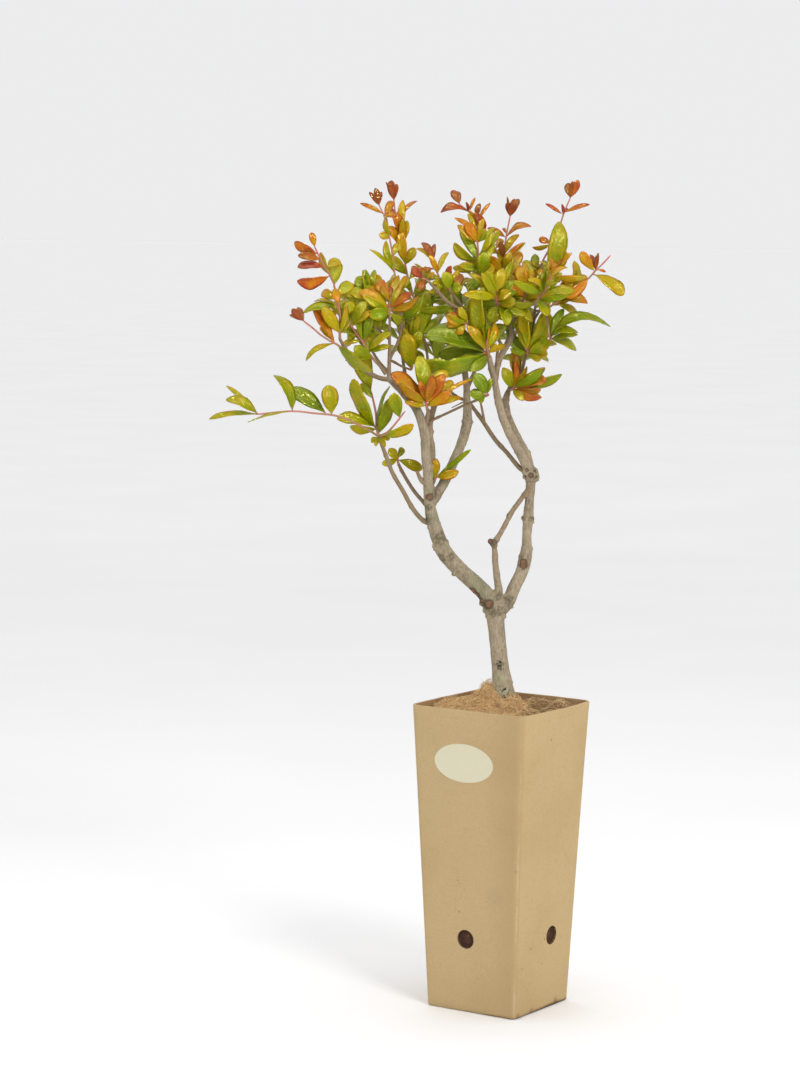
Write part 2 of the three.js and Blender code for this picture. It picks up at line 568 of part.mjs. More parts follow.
      leaves: [
        [0.22, 19, 0, 744, 15, 10, 0.45], [0.13, 35, -7, 734, 11, 10, 0.6],
        [0.79, 31, 8, 766, 7, 10, 0.78], [0.39, 27, 14, 751, 9, -25, 0.22],
        [0.05, 14, 3, 716, 12, 10, 0.5], [0.2, 40, 16, 723, 10, 10, 0.5],
        [0.51, 25, -2, 743, 6.1, 15, 0.5],
      ],
    },
  ],
  tip_seventh: [
    {
      route: [[51, 2, 779], [55, 0, 792], [61, -2, 807]],
      radius: [0.9, 0.75],
      leaves: [
        [0.99, 68, -4, 824, 8, -10, 0.9], [0.99, 58, 1, 821, 8, -10, 0.92],
        [0.99, 63, -13, 823, 5, 15, 0.9], [0.43, 37, 4, 802, 4, 15, 0.85, -0.05],
        [0.5, 79, -4, 801, 5, 15, 0.85, 0.05], [0.45, 53, -9, 799, 4, 15, 1],
        [0.51, 61, 6, 796, 4, 15, 1],
      ],
    },
  ],
  spray_big_leaf: [
    {
      route: [[40, -8, 721], [42, -10, 728], [45, -12, 735]],
      radius: [1, 0.8],
      leaves: [
        [0.36, 52, -14, 782, 23, -30, 0.42, 0.04], [0.95, 54, -15, 747, 4, 15, 0.8],
        [0.2, 30, -8, 736, 9, 10, 0.6], [0.29, 52, -5, 727, 8, 10, 0.6],
      ],
    },
  ],
  spray_eighth: [
    {
      route: [[41, -12, 699], [51, -16, 706], [62, -21, 713], [72, -25, 722], [80, -28, 729]],
      radius: [1.1, 0.9],
      leaves: [
        [0.05, 76, -7, 733, 19, 35, 0.58], [0.98, 57, -34, 710, 12, -30, 0.72],
        [0.17, 78, -21, 707, 13, 45, 0.62], [0.52, 66, -13, 745, 12, -45, 0.5],
        [0.02, 35, -17, 718, 11, 10, 0.5], [0.29, 63, -25, 727, 12, 10, 0.62],
      ],
    },
  ],
  tip_eighth: [
    {
      route: [[80, -28, 729], [86, -31, 736], [93, -32, 743], [100, -34, 751]],
      radius: [0.95, 0.75],
      leaves: [
        [0.29, 71, -35, 754, 10, -20, 0.66], [0.33, 81, -28, 752, 5, 15, 1],
        [0.34, 88, -35, 753, 5, 15, 1], [0.17, 113, -36, 712, 15, 35, 0.52, 0.1],
        [0.37, 96, -27, 735, 3, 15, 0.8],
      ],
    },
  ],
  spray_arched: [
    {
      route: [[41, -13, 678], [42, -15, 672], [43, -16, 667]],
      radius: [1, 0.85],
      leaves: [
        [0.88, 99, -22, 687, 11, 70, 0.27, 0.3], [0.87, 69, -32, 676, 9, 70, 0.32, 0.25],
        [0.85, 70, -12, 660, 12, 40, 0.35], [0.7, 58, -13, 688, 10, -10, 0.25],
        [0.56, 33, -9, 665, 7, 10, 0.3],
      ],
    },
  ],
  spray_fifth: [
    {
      route: [[-4, 13, 723], [-5, 13, 736], [-4, 13, 750], [-2, 13, 765]],
      radius: [1.2, 0.9],
      leaves: [
        [0.28, -20, 7, 748, 12, -10, 0.66], [0.49, 14, 17, 763, 5, 15, 0.72],
        [0.62, -7, 1, 762, 7, 10, 0.97], [0.13, 13, 19, 753, 15, 10, 0.6],
        [0.05, -18, 20, 736, 11, 10, 0.5], [0.08, 7, 5, 739, 12, 10, 0.55],
        [0.36, 3, 5, 751, 9, -10, 0.6],
      ],
    },
  ],
  tip_fifth: [
    {
      route: [[-2, 13, 765], [0, 13, 777], [2, 13, 788]],
      radius: [0.9, 0.75],
      leaves: [
        [0.07, -19, 9, 777, 6.1, 15, 0.85], [0.12, 21, 10, 781, 10, 45, 0.85],
        [0.97, 10, 11, 805, 8, 10, 0.97], [0.97, 0, 16, 802, 8, 10, 0.98],
        [0.97, 5, 2, 804, 6.1, 15, 0.97], [0.97, -1, 7, 807, 3, 0, 0.9],
        [0.2, -5, 17, 777, 3.5, 15, 0.95],
      ],
    },
  ],
  spray_third: [
    {
      route: [[-7, 26, 737], [-10, 26, 751], [-16, 25, 762], [-24, 23, 775]],
      radius: [1.1, 0.85],
      leaves: [
        [0.93, -31, 9, 790, 9, 10, 0.85], [0.33, -21, 31, 757, 7, -10, 0.6],
        [0.46, -5, 31, 766, 7, 10, 0.7], [0.08, 2, 32, 749, 9, -10, 0.55],
      ],
    },
  ],
  tip_third: [
    {
      route: [[-24, 23, 775], [-33, 23, 787], [-40, 23, 793], [-49, 23, 800]],
      radius: [0.85, 0.75],
      leaves: [
        [0.99, -56, 23, 813, 8, 10, 1], [0.99, -50, 30, 812, 5, 15, 1],
        [0.67, -66, 19, 795, 10, 45, 0.9], [0.6, -33, 26, 806, 3.5, 15, 0.85],
        [0.63, -41, 17, 801, 3.5, 15, 1], [0.28, -29, 20, 800, 6.1, 15, 0.92],
        [0.22, -18, 26, 801, 4, 15, 0.8],
      ],
    },
  ],
  spray_fourth: [
    {
      route: [[-26, -10, 725], [-28, -12, 740], [-29, -12, 755], [-30, -12, 767], [-30, -12, 776]],
      radius: [1.2, 0.8],
      leaves: [
        [0.63, -41, -17, 781, 11, 10, 0.7], [0.63, -22, -8, 775, 9, 10, 0.52],
        [0.89, -52, -15, 786, 6.1, 15, 0.7, 0.1], [0.3, -53, -16, 760, 12, -40, 0.42],
        [0.18, -46, -19, 740, 9, -10, 0.42], [0.39, -17, -10, 775, 10, -45, 0.45],
        [0.06, -22, -21, 752, 15, -10, 0.33], [0.03, -38, -21, 714, 13, 10, 0.3],
        [0.05, -14, -4, 739, 12, -10, 0.45],
      ],
    },
  ],
  spray_mass_left: [
    {
      route: [[-7, -20, 700], [-10, -26, 706], [-12, -33, 715]],
      radius: [1.2, 0.9],
      leaves: [
        [0.26, 5, -29, 725, 11, 20, 0.3], [0.9, -4, -36, 736, 13, -10, 0.5],
        [0.95, -21, -38, 734, 13, -10, 0.4], [0.63, -26, -36, 717, 14, 10, 0.35],
        [0.13, 8, -31, 705, 12, 10, 0.45], [0.09, -17, -27, 685, 14, -10, 0.4],
        [0.04, 1, -37, 682, 12, 25, 0.35], [0.47, 3, -32, 715, 11, 10, 0.5],
      ],
    },
  ],
  spray_mass_right: [
    {
      route: [[15, -7, 703], [17, -12, 710], [18, -15, 718]],
      radius: [1.2, 0.9],
      leaves: [
        [0.44, 4, -18, 722, 12, 10, 0.75], [0.88, 12, -17, 739, 14, -10, 0.62],
        [0.79, 29, -21, 727, 12, -10, 0.5], [0.37, 32, -19, 711, 12, -10, 0.5],
        [0.14, 6, -16, 691, 12, -10, 0.42], [0.1, 22, -33, 688, 11, -30, 0.4],
        [0.97, 24, -11, 736, 12, -10, 0.55],
      ],
    },
  ],
};

// Sprays behind and between those, with leaves in opposite pairs by rule. A seed sets the draws,
// and a bare place has no leaf, so that no leaf grows through its neighbour
const RULE_SPRAYS = {
  spray_fill_left_a: {
    route: [[-131, 2, 680], [-135, 10, 687], [-140, 15, 696], [-145, 20, 708]],
    pairs: 5, length: 34, age: 0.4, seed: 1, bare: [],
  },
  spray_fill_left_b: {
    route: [[-94, 23, 692], [-92, 30, 701], [-89, 33, 712], [-84, 36, 724]],
    pairs: 4, length: 32, age: 0.42, seed: 1, bare: [],
  },
  spray_fill_right_a: {
    route: [[-16, 33, 680], [-19, 40, 691], [-20, 45, 703], [-19, 48, 717]],
    pairs: 5, length: 34, age: 0.36, seed: 1, bare: [],
  },
  spray_fill_right_b: {
    route: [[29, -35, 706], [34, -43, 712], [39, -50, 721], [42, -54, 732]],
    pairs: 4, length: 32, age: 0.48, seed: 1, bare: [],
  },
  spray_fill_right_c: {
    route: [[-47, 3, 687], [-50, 2, 696], [-51, 2, 707], [-49, 0, 719]],
    pairs: 4, length: 30, age: 0.45, seed: 1, bare: [],
  },
  spray_back_left_a: {
    route: [[-105, 46, 652], [-107, 56, 665], [-110, 63, 681], [-115, 69, 700]],
    pairs: 6, length: 38, age: 0.42, seed: 3, bare: [],
  },
  spray_back_left_b: {
    route: [[-135, 45, 653], [-139, 54, 665], [-145, 63, 679], [-151, 69, 697]],
    pairs: 6, length: 36, age: 0.42, seed: 1, bare: [3],
  },
  spray_back_left_c: {
    route: [[-70, 33, 637], [-72, 43, 649], [-77, 50, 664], [-83, 56, 682]],
    pairs: 5, length: 38, age: 0.4, seed: 11, bare: [],
  },
  spray_back_mid_a: {
    route: [[-31, 48, 695], [-30, 53, 707], [-31, 56, 720], [-34, 58, 734]],
    pairs: 5, length: 34, age: 0.42, seed: 1, bare: [1],
  },
  spray_back_mid_b: {
    route: [[-55, 59, 666], [-58, 69, 678], [-61, 76, 690], [-65, 81, 705]],
    pairs: 5, length: 36, age: 0.42, seed: 1, bare: [2],
  },
  spray_back_mid_c: {
    route: [[-24, 69, 652], [-22, 82, 664], [-20, 92, 678], [-19, 99, 695]],
    pairs: 6, length: 36, age: 0.38, seed: 1, bare: [],
  },
  spray_back_right_a: {
    route: [[5, 66, 686], [7, 78, 699], [8, 86, 712], [7, 92, 728]],
    pairs: 6, length: 36, age: 0.42, seed: 7, bare: [],
  },
  spray_back_right_b: {
    route: [[27, 69, 692], [31, 81, 702], [36, 91, 713], [42, 97, 725]],
    pairs: 5, length: 34, age: 0.45, seed: 12, bare: [],
  },
  spray_back_right_c: {
    route: [[17, 63, 692], [20, 66, 703], [22, 68, 713], [23, 69, 725]],
    pairs: 4, length: 30, age: 0.48, seed: 20, bare: [0, 2],
  },
  spray_back_right_low: {
    route: [[10, 79, 636], [14, 89, 647], [18, 96, 658], [24, 101, 671]],
    pairs: 5, length: 34, age: 0.36, seed: 4, bare: [],
  },
};

// Conversion between three.js meshes and the solids that are joined and cut
function solid(geometry) {
  const bare = geometry.clone();
  bare.deleteAttribute("normal");
  bare.deleteAttribute("uv");
  const merged = mergeVertices(bare, MERGE_TOLERANCE);
  const vertProperties = new Float32Array(merged.getAttribute("position").array);
  const triVerts = new Uint32Array(merged.index.array);
  return new wasm.Manifold(new wasm.Mesh({ numProp: 3, vertProperties, triVerts }));
}

function surface(body) {
  const mesh = body.getMesh();
  const geometry = new THREE.BufferGeometry();
  geometry.setAttribute("position", new THREE.BufferAttribute(new Float32Array(mesh.vertProperties), 3));
  geometry.setIndex(new THREE.BufferAttribute(new Uint32Array(mesh.triVerts), 1));
  geometry.computeVertexNormals();
  return geometry;
}

function joined(solids) {
  return solids.reduce((whole, next) => whole.add(next));
}

// The one large body: a hollow that joining sealed is filled and a loose scrap is dropped
function wholeOf(body) {
  return body.decompose().reduce((best, next) => (next.volume() > best.volume() ? next : best));
}

function piece(name, body, [color, roughness] = FINISHES[name]) {
  const material = new THREE.MeshStandardMaterial({ color, roughness, metalness: 0 });
  const mesh = new THREE.Mesh(surface(body), material);
  mesh.name = name;
  return mesh;
}

// Seeded draws between 0 and 1, mixed from a 32-bit counter
function drawsFrom(seed) {
  let state = seed >>> 0;
  return () => {
    state = (state + 0x6d2b79f5) >>> 0;
    let mixed = Math.imul(state ^ (state >>> 15), state | 1);
    mixed ^= mixed + Math.imul(mixed ^ (mixed >>> 7), mixed | 61);
    return ((mixed ^ (mixed >>> 14)) >>> 0) / 2 ** 32;
  };
}

// Pot
function sideAt(height) {
  return THREE.MathUtils.lerp(POT_SIDE_BASE, POT_SIDE_TOP, height / POT_HEIGHT);
}

// A square one unit across, with round corners and three points on each wall for the bow
function squareOutline(corner) {
  const outline = new THREE.Shape();
  const reach = 0.5 - corner;
  for (let quarter = 0; quarter < 4; quarter += 1) {
    const turn = (quarter * Math.PI) / 2;
    const centre = new THREE.Vector2(reach, -reach).rotateAround(new THREE.Vector2(), turn);
    outline.absarc(centre.x, centre.y, corner, turn - Math.PI / 2, turn, false);
    for (const share of WALL_POINTS) {
      const point = new THREE.Vector2(0.5, share * reach).rotateAround(new THREE.Vector2(), turn);
      outline.lineTo(point.x, point.y);
    }
  }
  outline.closePath();
  return outline;
}

// How far the wall leans out past its plane at a point of the outline
function bowAt(x, y, height) {
  const half = sideAt(height) / 2;
  const strength = (height / POT_HEIGHT) ** RIM_BOW_POWER;
  const alongWall = 1 - (Math.min(Math.abs(x), Math.abs(y)) / half) ** 2;
  const lean = strength * alongWall;
  if (Math.abs(x) > Math.abs(y)) {
    return [x > 0 ? lean * RIM_BOW.right : -lean * RIM_BOW.left, 0];
  }
  return [0, y > 0 ? lean * RIM_BOW.back : -lean * RIM_BOW.front];
}

// A block with the pot's tapered section, set in by a distance all round
function potBlock(inset, from, to, bowed) {
  const block = new THREE.ExtrudeGeometry(squareOutline(POT_CORNER / POT_SIDE_TOP), {
    depth: to - from,
    steps: bowed ? POT_LEVELS : 1,
    bevelEnabled: false,
    curveSegments: CORNER_SEGMENTS,
  });
  const place = block.getAttribute("position");
  for (let i = 0; i < place.count; i += 1) {
    const height = from + place.getZ(i);
    const side = sideAt(height) - 2 * inset;
    const x = place.getX(i) * side;
    const y = place.getY(i) * side;
    const [dx, dy] = bowed ? bowAt(x, y, height) : [0, 0];
    place.setXYZ(i, x + dx, y + dy, height);
  }
  return solid(block);
}

function drainCutter(offset, face) {
  const cutter = new THREE.CylinderGeometry(DRAIN_RADIUS, DRAIN_RADIUS, DRAIN_CUT, DRAIN_SIDES);
  cutter.translate(offset, -sideAt(DRAIN_HEIGHT) / 2, 0);
  cutter.translate(0, 0, DRAIN_HEIGHT);
  cutter.rotateZ((face * Math.PI) / 2);
  return solid(cutter);
}

function makePot() {
  const shell = potBlock(0, 0, POT_HEIGHT, true);
  const inside = potBlock(POT_WALL, POT_FLOOR, POT_HEIGHT + POT_WALL, true);
  const drains = DRAIN_OFFSETS.map(drainCutter);
  const pot = drains.reduce((body, drain) => body.subtract(drain), shell.subtract(inside));
  return piece("pot", pot);
}

// A straight upright hole for the trunk, open upwards
function trunkHole() {
  const depth = HOLE_TOP - HOLE_FLOOR;
  const hole = new THREE.CylinderGeometry(HOLE_RADIUS, HOLE_RADIUS, depth, HOLE_SIDES);
  hole.rotateX(Math.PI / 2);
  hole.translate(HOLE_X, HOLE_Y, HOLE_FLOOR + depth / 2);
  return solid(hole);
}

function makeSoil() {
  const ball = potBlock(POT_WALL + CLEARANCE, POT_FLOOR + CLEARANCE, SOIL_TOP, false);
  return piece("soil", ball.subtract(trunkHole()));
}

// Height of the fibre's top, in the tree's own directions
function coirHeight(x, y) {
  const mound = (px, py, height, width) =>
    height * Math.exp(-((x - px) ** 2 + (y - py) ** 2) / (2 * width ** 2));
  const { across, start, away, slanting } = COIR_RIPPLE;
  const ripple = Math.sin(across * x + start) * Math.cos(away * y) + Math.sin(slanting * (x - y));
  return COIR_BASE + COIR_WAVE * ripple + COIR_MOUNDS.reduce((sum, hill) => sum + mound(...hill), 0);
}

// A disc of rings whose top follows the fibre
function makeCoir() {
  const underside = SOIL_TOP + CLEARANCE;
  const profile = [new THREE.Vector2(0, underside), new THREE.Vector2(1, underside)];
  COIR_RINGS.forEach((radius) => profile.push(new THREE.Vector2(radius, SOIL_TOP + COIR_EDGE)));
  const disc = new THREE.LatheGeometry(profile, COIR_SECTORS);
  disc.rotateX(Math.PI / 2);
  const place = disc.getAttribute("position");
  for (let i = 0; i < place.count; i += 1) {
    const x = place.getX(i);
    const y = place.getY(i);
    const radius = Math.hypot(x, y);
    const power = COIR_SQUARENESS;
    const stretch = radius > 0 ? radius / (Math.abs(x) ** power + Math.abs(y) ** power) ** (1 / power) : 1;
    const top = place.getZ(i) > SOIL_TOP + COIR_EDGE / 2;
    const px = x * stretch * COIR_HALF;
    const py = y * stretch * COIR_HALF;
    const turned = new THREE.Vector2(px, py).rotateAround(new THREE.Vector2(), -TREE_TURN);
    place.setXYZ(i, px, py, top ? coirHeight(turned.x, turned.y) : underside);
  }
  return piece("coir", solid(disc).subtract(trunkHole()));
}

function makeLabel() {
  const oval = new THREE.CylinderGeometry(1, 1, LABEL_THICKNESS, LABEL_SIDES);
  oval.scale(LABEL_WIDTH / 2, 1, LABEL_HEIGHT / 2);
  const slope = Math.atan2((POT_SIDE_TOP - POT_SIDE_BASE) / 2, POT_HEIGHT);
  oval.rotateX(slope);
  const stand = sideAt(LABEL_CENTRE) / 2 + LABEL_STAND;
  oval.translate(LABEL_OFFSET, -stand, LABEL_CENTRE);
  return piece("label", solid(oval));
}

// Wood
function smoothRoute(places) {
  return new THREE.CatmullRomCurve3(places, false, "catmullrom", 0.5);
}

// The radius at a share of a route whose points each have their own
function radiusAt(radii, share) {
  const along = share * (radii.length - 1);
  const span = Math.min(Math.floor(along), radii.length - 2);
  return THREE.MathUtils.lerp(radii[span], radii[span + 1], along - span);
}

// A round limb along a route, thick as the radii say at its points
function limb(route, radii, sides, steps) {
  const corners = Array.from({ length: sides }, (_, i) => (i * 2 * Math.PI) / sides);
  const section = new THREE.Shape(corners.map((turn) => new THREE.Vector2(Math.cos(turn), Math.sin(turn))));
  const rod = new THREE.ExtrudeGeometry(section, { steps, extrudePath: route, bevelEnabled: false });
  const centres = route.getSpacedPoints(steps);
  const thickness = centres.map((centre, step) => radiusAt(radii, route.getUtoTmapping(step / steps)));
  const place = rod.getAttribute("position");
  const point = new THREE.Vector3();
  for (let i = 0; i < place.count; i += 1) {
    point.fromBufferAttribute(place, i);
    const distances = centres.map((centre) => centre.distanceToSquared(point));
    const nearest = distances.indexOf(Math.min(...distances));
    point.sub(centres[nearest]).multiplyScalar(thickness[nearest]).add(centres[nearest]);
    place.setXYZ(i, point.x, point.y, point.z);
  }
  return solid(rod);
}

function woodLimb(points) {
  const radii = points.map((point) => point[3]);
  const thickest = Math.max(...radii);
  const { sides } = WOOD_SIDES.find(({ above }) => thickest > above);
  const places = points.map(([x, y, z]) => new THREE.Vector3(x, y, z));
  return limb(smoothRoute(places), radii, sides, points.length - 1);
}

function knob([x, y, z, radius]) {
  const lump = new THREE.OctahedronGeometry(radius, 0);
  lump.translate(x, y, z);
  return solid(lump);
}

function makeTrunk() {
  const limbs = [...Object.values(LIMBS), ...Object.values(TWIGS)].map(woodLimb);
  const knobs = KNOBS.map(knob);
  return piece("trunk", joined([...limbs, ...knobs]));
}

// Leaves
function bladeSize(length, width) {
  const area = length * width;
  if (area >= LARGE_BLADE) {
    return "large";
  }
  return area >= MIDDLE_BLADE ? "middle" : "small";
}

// One blade with a flat back and a ridge along its face, from its root to its tip, arched towards its face
function blade({ shoot, along: rootPlace, tip, width, face, arch }) {
  const lastPlace = 1 - LAST_ROOT / shoot.route.getLength();
  const root = shoot.route.getPoint(Math.min(rootPlace, lastPlace));
  const length = root.distanceTo(tip);
  const forward = tip.clone().sub(root).normalize();
  const sunk = ROOT_SHARE * radiusAt(shoot.radii, rootPlace);
  const sideways = new THREE.Vector3().crossVectors(forward, face);
  const stations = BLADE_STATIONS[bladeSize(length, width)];
  const corners = [];
  for (const [along, share] of stations) {
    const half = Math.max((share * width) / 2, BLADE_ROOT_WIDTH / 2);
    const centre = root.clone().lerp(tip, along);
    centre.addScaledVector(forward, sunk * (1 - along));
    centre.addScaledVector(face, arch * length * 4 * along * (1 - along));
    corners.push(centre.clone().addScaledVector(sideways, -half));
    corners.push(centre.clone().addScaledVector(face, BLADE_THICKNESS));
    corners.push(centre.clone().addScaledVector(sideways, half));
  }
  corners.push(tip);
  const faces = [[0, 2, 1]];
  const last = 3 * (stations.length - 1);
  for (let a = 0; a < last; a += 3) {
    for (const [p, q] of [[0, 1], [1, 2], [2, 0]]) {
      faces.push([a + p, a + q, a + q + 3], [a + p, a + q + 3, a + p + 3]);
    }
  }
  for (const [p, q] of [[0, 1], [1, 2], [2, 0]]) {
    faces.push([last + p, last + q, last + 3]);
  }
  const geometry = new THREE.BufferGeometry().setFromPoints(corners);
  geometry.setIndex(faces.flat());
  return solid(geometry);
}

// The face of a leaf that looks at the viewer, rolled about the leaf so that a positive turn lifts it
function turnedFace(forward, turn) {
  const face = VIEWER.clone().addScaledVector(forward, -VIEWER.dot(forward)).normalize();
  const sideways = new THREE.Vector3().crossVectors(forward, face);
  const roll = THREE.MathUtils.degToRad(turn) * (sideways.z >= 0 ? 1 : -1);
  return face.multiplyScalar(Math.cos(roll)).addScaledVector(sideways, Math.sin(roll));
}

function shownLeaf(shoot, [along, x, y, z, width, turn, age, arch = BLADE_ARCH]) {
  const tip = new THREE.Vector3(x, y, z);
  const forward = tip.clone().sub(shoot.route.getPoint(along)).normalize();
  return { shoot, along, tip, width, face: turnedFace(forward, turn), arch, age };
}

// Opposite pairs, each turned a quarter from the last, lean less towards the tip, and one pair closes it
function ruleLeaves(shoot, { pairs, length, age, seed, bare }) {
  const { route } = shoot;
  const draw = drawsFrom(seed);
  const leaves = [];
  const acrossFrom = (tangent) => {
    const side = AWAY.clone().addScaledVector(tangent, -tangent.y).normalize();
    return [side, new THREE.Vector3().crossVectors(tangent, side)];
  };
  const place = (along, tangent, azimuth, lean, reach, share, arch, tint) => {
    const [side, other] = acrossFrom(tangent);
    const root = route.getPoint(along);
    const out = side.multiplyScalar(Math.cos(azimuth)).addScaledVector(other, Math.sin(azimuth));
    const forward = tangent.clone().multiplyScalar(Math.cos(lean)).addScaledVector(out, Math.sin(lean));
    const tip = root.clone().addScaledVector(forward, reach);
    const face = tangent.clone().addScaledVector(forward, -tangent.dot(forward)).normalize();
    const inAges = THREE.MathUtils.clamp(tint, 0, 1);
    leaves.push({ shoot, along, tip, width: reach * share, face, arch, age: inAges });
  };
  const spread = (width) => width * (draw() - 0.5);
  for (let pair = 0; pair < pairs; pair += 1) {
    const along = RULE_PLACE.first + (RULE_PLACE.span * pair) / (pairs - 1);
    const ahead = route.getPoint(Math.min(along + TANGENT_STEP, 1));
    const tangent = ahead.sub(route.getPoint(Math.max(along - TANGENT_STEP, 0))).normalize();
    const roll = RULE_TURN.pair * pair + spread(RULE_TURN.pairSpread) + RULE_TURN.start;
    for (const half of [0, 1]) {
      const azimuth = THREE.MathUtils.degToRad(roll + 180 * half + spread(RULE_TURN.leafSpread));
      const lean = RULE_LEAN.foot - RULE_LEAN.towardsTip * along + spread(RULE_LEAN.spread);
      const part = RULE_LENGTH.least + RULE_LENGTH.spread * draw();
      const reach = length * part * (1 - RULE_LENGTH.towardsTip * along);
      const share = RULE_WIDTH.least + RULE_WIDTH.spread * draw();
      const arch = RULE_ARCH.least + RULE_ARCH.spread * draw();
      const tint = age + RULE_AGE_SPAN * (along - 0.5);
      place(along, tangent, azimuth, THREE.MathUtils.degToRad(lean), reach, share, arch, tint);
    }
  }
  const tangent = route.getPoint(1).sub(route.getPoint(1 - 2 * TANGENT_STEP)).normalize();
  for (const half of [0, 1]) {
    const azimuth = THREE.MathUtils.degToRad(RULE_TURN.pair * pairs + RULE_TURN.start + 180 * half);
    const reach = length * (LAST_PAIR.least + LAST_PAIR.spread * draw());
    const { lean, width, arch } = LAST_PAIR;
    place(RULE_PLACE.last, tangent, azimuth, lean, reach, width, arch, age + LAST_PAIR.age);
  }
  return leaves.filter((leaf, index) => !bare.includes(index));
}

// A shoot's route and radii. A spray's first shoot starts in a point just past the wood that carries it
function makeShoot(points, [thick, thin], first) {
  const places = points.map((point) => new THREE.Vector3(...point));
  const radii = points.map((point, i) => THREE.MathUtils.lerp(thick, thin, i / (points.length - 1)));
  if (first) {
    const heading = places[1].clone().sub(places[0]).normalize();
    places[0].addScaledVector(heading, TWIG_GAP);
    radii[0] = STEM_POINT;
  }
  return { route: smoothRoute(places), radii };
}

function stemOf({ route, radii }) {
  const steps = Math.max(radii.length - 1, Math.round(route.getLength() / STEM_STEP));
  return limb(route, radii, STEM_SIDES, steps);
}

// The colour between the two listed ages on either side
function ageColour(age) {
  const above = AGE_COLOURS.findIndex(([limit]) => limit >= age);
  const [low, from] = AGE_COLOURS[Math.max(above - 1, 0)];
  const [high, to] = AGE_COLOURS[above];
  const share = high > low ? (age - low) / (high - low) : 0;
  return new THREE.Color(from).lerp(new THREE.Color(to), share);
}

// The leaves of a spray that are large enough for the solid model, and always its few largest
function solidLeaves(leaves) {
  const area = ({ shoot, along, tip, width }) => shoot.route.getPoint(along).distanceTo(tip) * width;
  const bySize = [...leaves].sort((one, other) => area(other) - area(one));
  return bySize.filter((leaf, rank) => rank < LEAST_LEAVES || area(leaf) >= LEAST_BLADE);
}

function sprayPiece(name, stems, leaves) {
  const meanAge = leaves.reduce((sum, leaf) => sum + leaf.age, 0) / leaves.length;
  const body = wholeOf(joined([...stems, ...solidLeaves(leaves).map(blade)]));
  return piece(name, body, [ageColour(meanAge), LEAF_ROUGHNESS]);
}

function shownSpray([name, shoots]) {
  const made = shoots.map((shoot, index) => makeShoot(shoot.route, shoot.radius, index === 0));
  const leaves = shoots.flatMap((shoot, index) => shoot.leaves.map((row) => shownLeaf(made[index], row)));
  return sprayPiece(name, made.map(stemOf), leaves);
}

function ruleSpray([name, spray]) {
  const shoot = makeShoot(spray.route, RULE_STEM_RADIUS, true);
  return sprayPiece(name, [stemOf(shoot)], ruleLeaves(shoot, spray));
}

// The whole object
const tree = new THREE.Group();
tree.rotation.z = TREE_TURN;
tree.add(makeTrunk());
tree.add(...Object.entries(SPRAYS).map(shownSpray));
tree.add(...Object.entries(RULE_SPRAYS).map(ruleSpray));

const bonsai = new THREE.Group();
bonsai.add(makePot(), makeSoil(), makeCoir(), makeLabel(), tree);

export default bonsai;
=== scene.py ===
"""Young pomegranate bonsai in a tall square board pot: the looks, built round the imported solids."""

import logging
import math
from collections.abc import Iterator, Sequence
from dataclasses import dataclass
from enum import Enum
from functools import cache

import bpy
import numpy as np
from mathutils import Matrix, Vector, kdtree, noise


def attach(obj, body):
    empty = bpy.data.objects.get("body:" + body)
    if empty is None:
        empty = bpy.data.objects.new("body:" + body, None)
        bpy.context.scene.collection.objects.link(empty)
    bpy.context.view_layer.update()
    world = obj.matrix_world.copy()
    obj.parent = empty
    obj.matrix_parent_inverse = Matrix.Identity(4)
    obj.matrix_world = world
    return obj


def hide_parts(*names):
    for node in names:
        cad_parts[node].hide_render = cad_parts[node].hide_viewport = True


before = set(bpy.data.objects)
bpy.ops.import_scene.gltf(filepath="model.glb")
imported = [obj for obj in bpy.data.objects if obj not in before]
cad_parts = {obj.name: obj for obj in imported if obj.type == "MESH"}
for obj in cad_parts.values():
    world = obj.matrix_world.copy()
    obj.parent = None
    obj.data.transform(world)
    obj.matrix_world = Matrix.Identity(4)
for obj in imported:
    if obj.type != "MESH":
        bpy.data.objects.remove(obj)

log = logging.getLogger("bonsai")

Body = bpy.types.Object
Material = bpy.types.Material
Row = tuple[float, ...]
Faces = list[tuple[int, ...]]

MM = 0.001
# The tree is turned about the pot's axis: its own X runs across the view and its Y runs away from it
TREE_TURN = math.radians(31.8)
VIEWER = np.array([0.0, -1.0, 0.1])
AWAY = np.array([0.0, 1.0, 0.0])
UPWARD = Vector((0, 0, 1))
EVEN = (1.0, 1.0, 1.0)

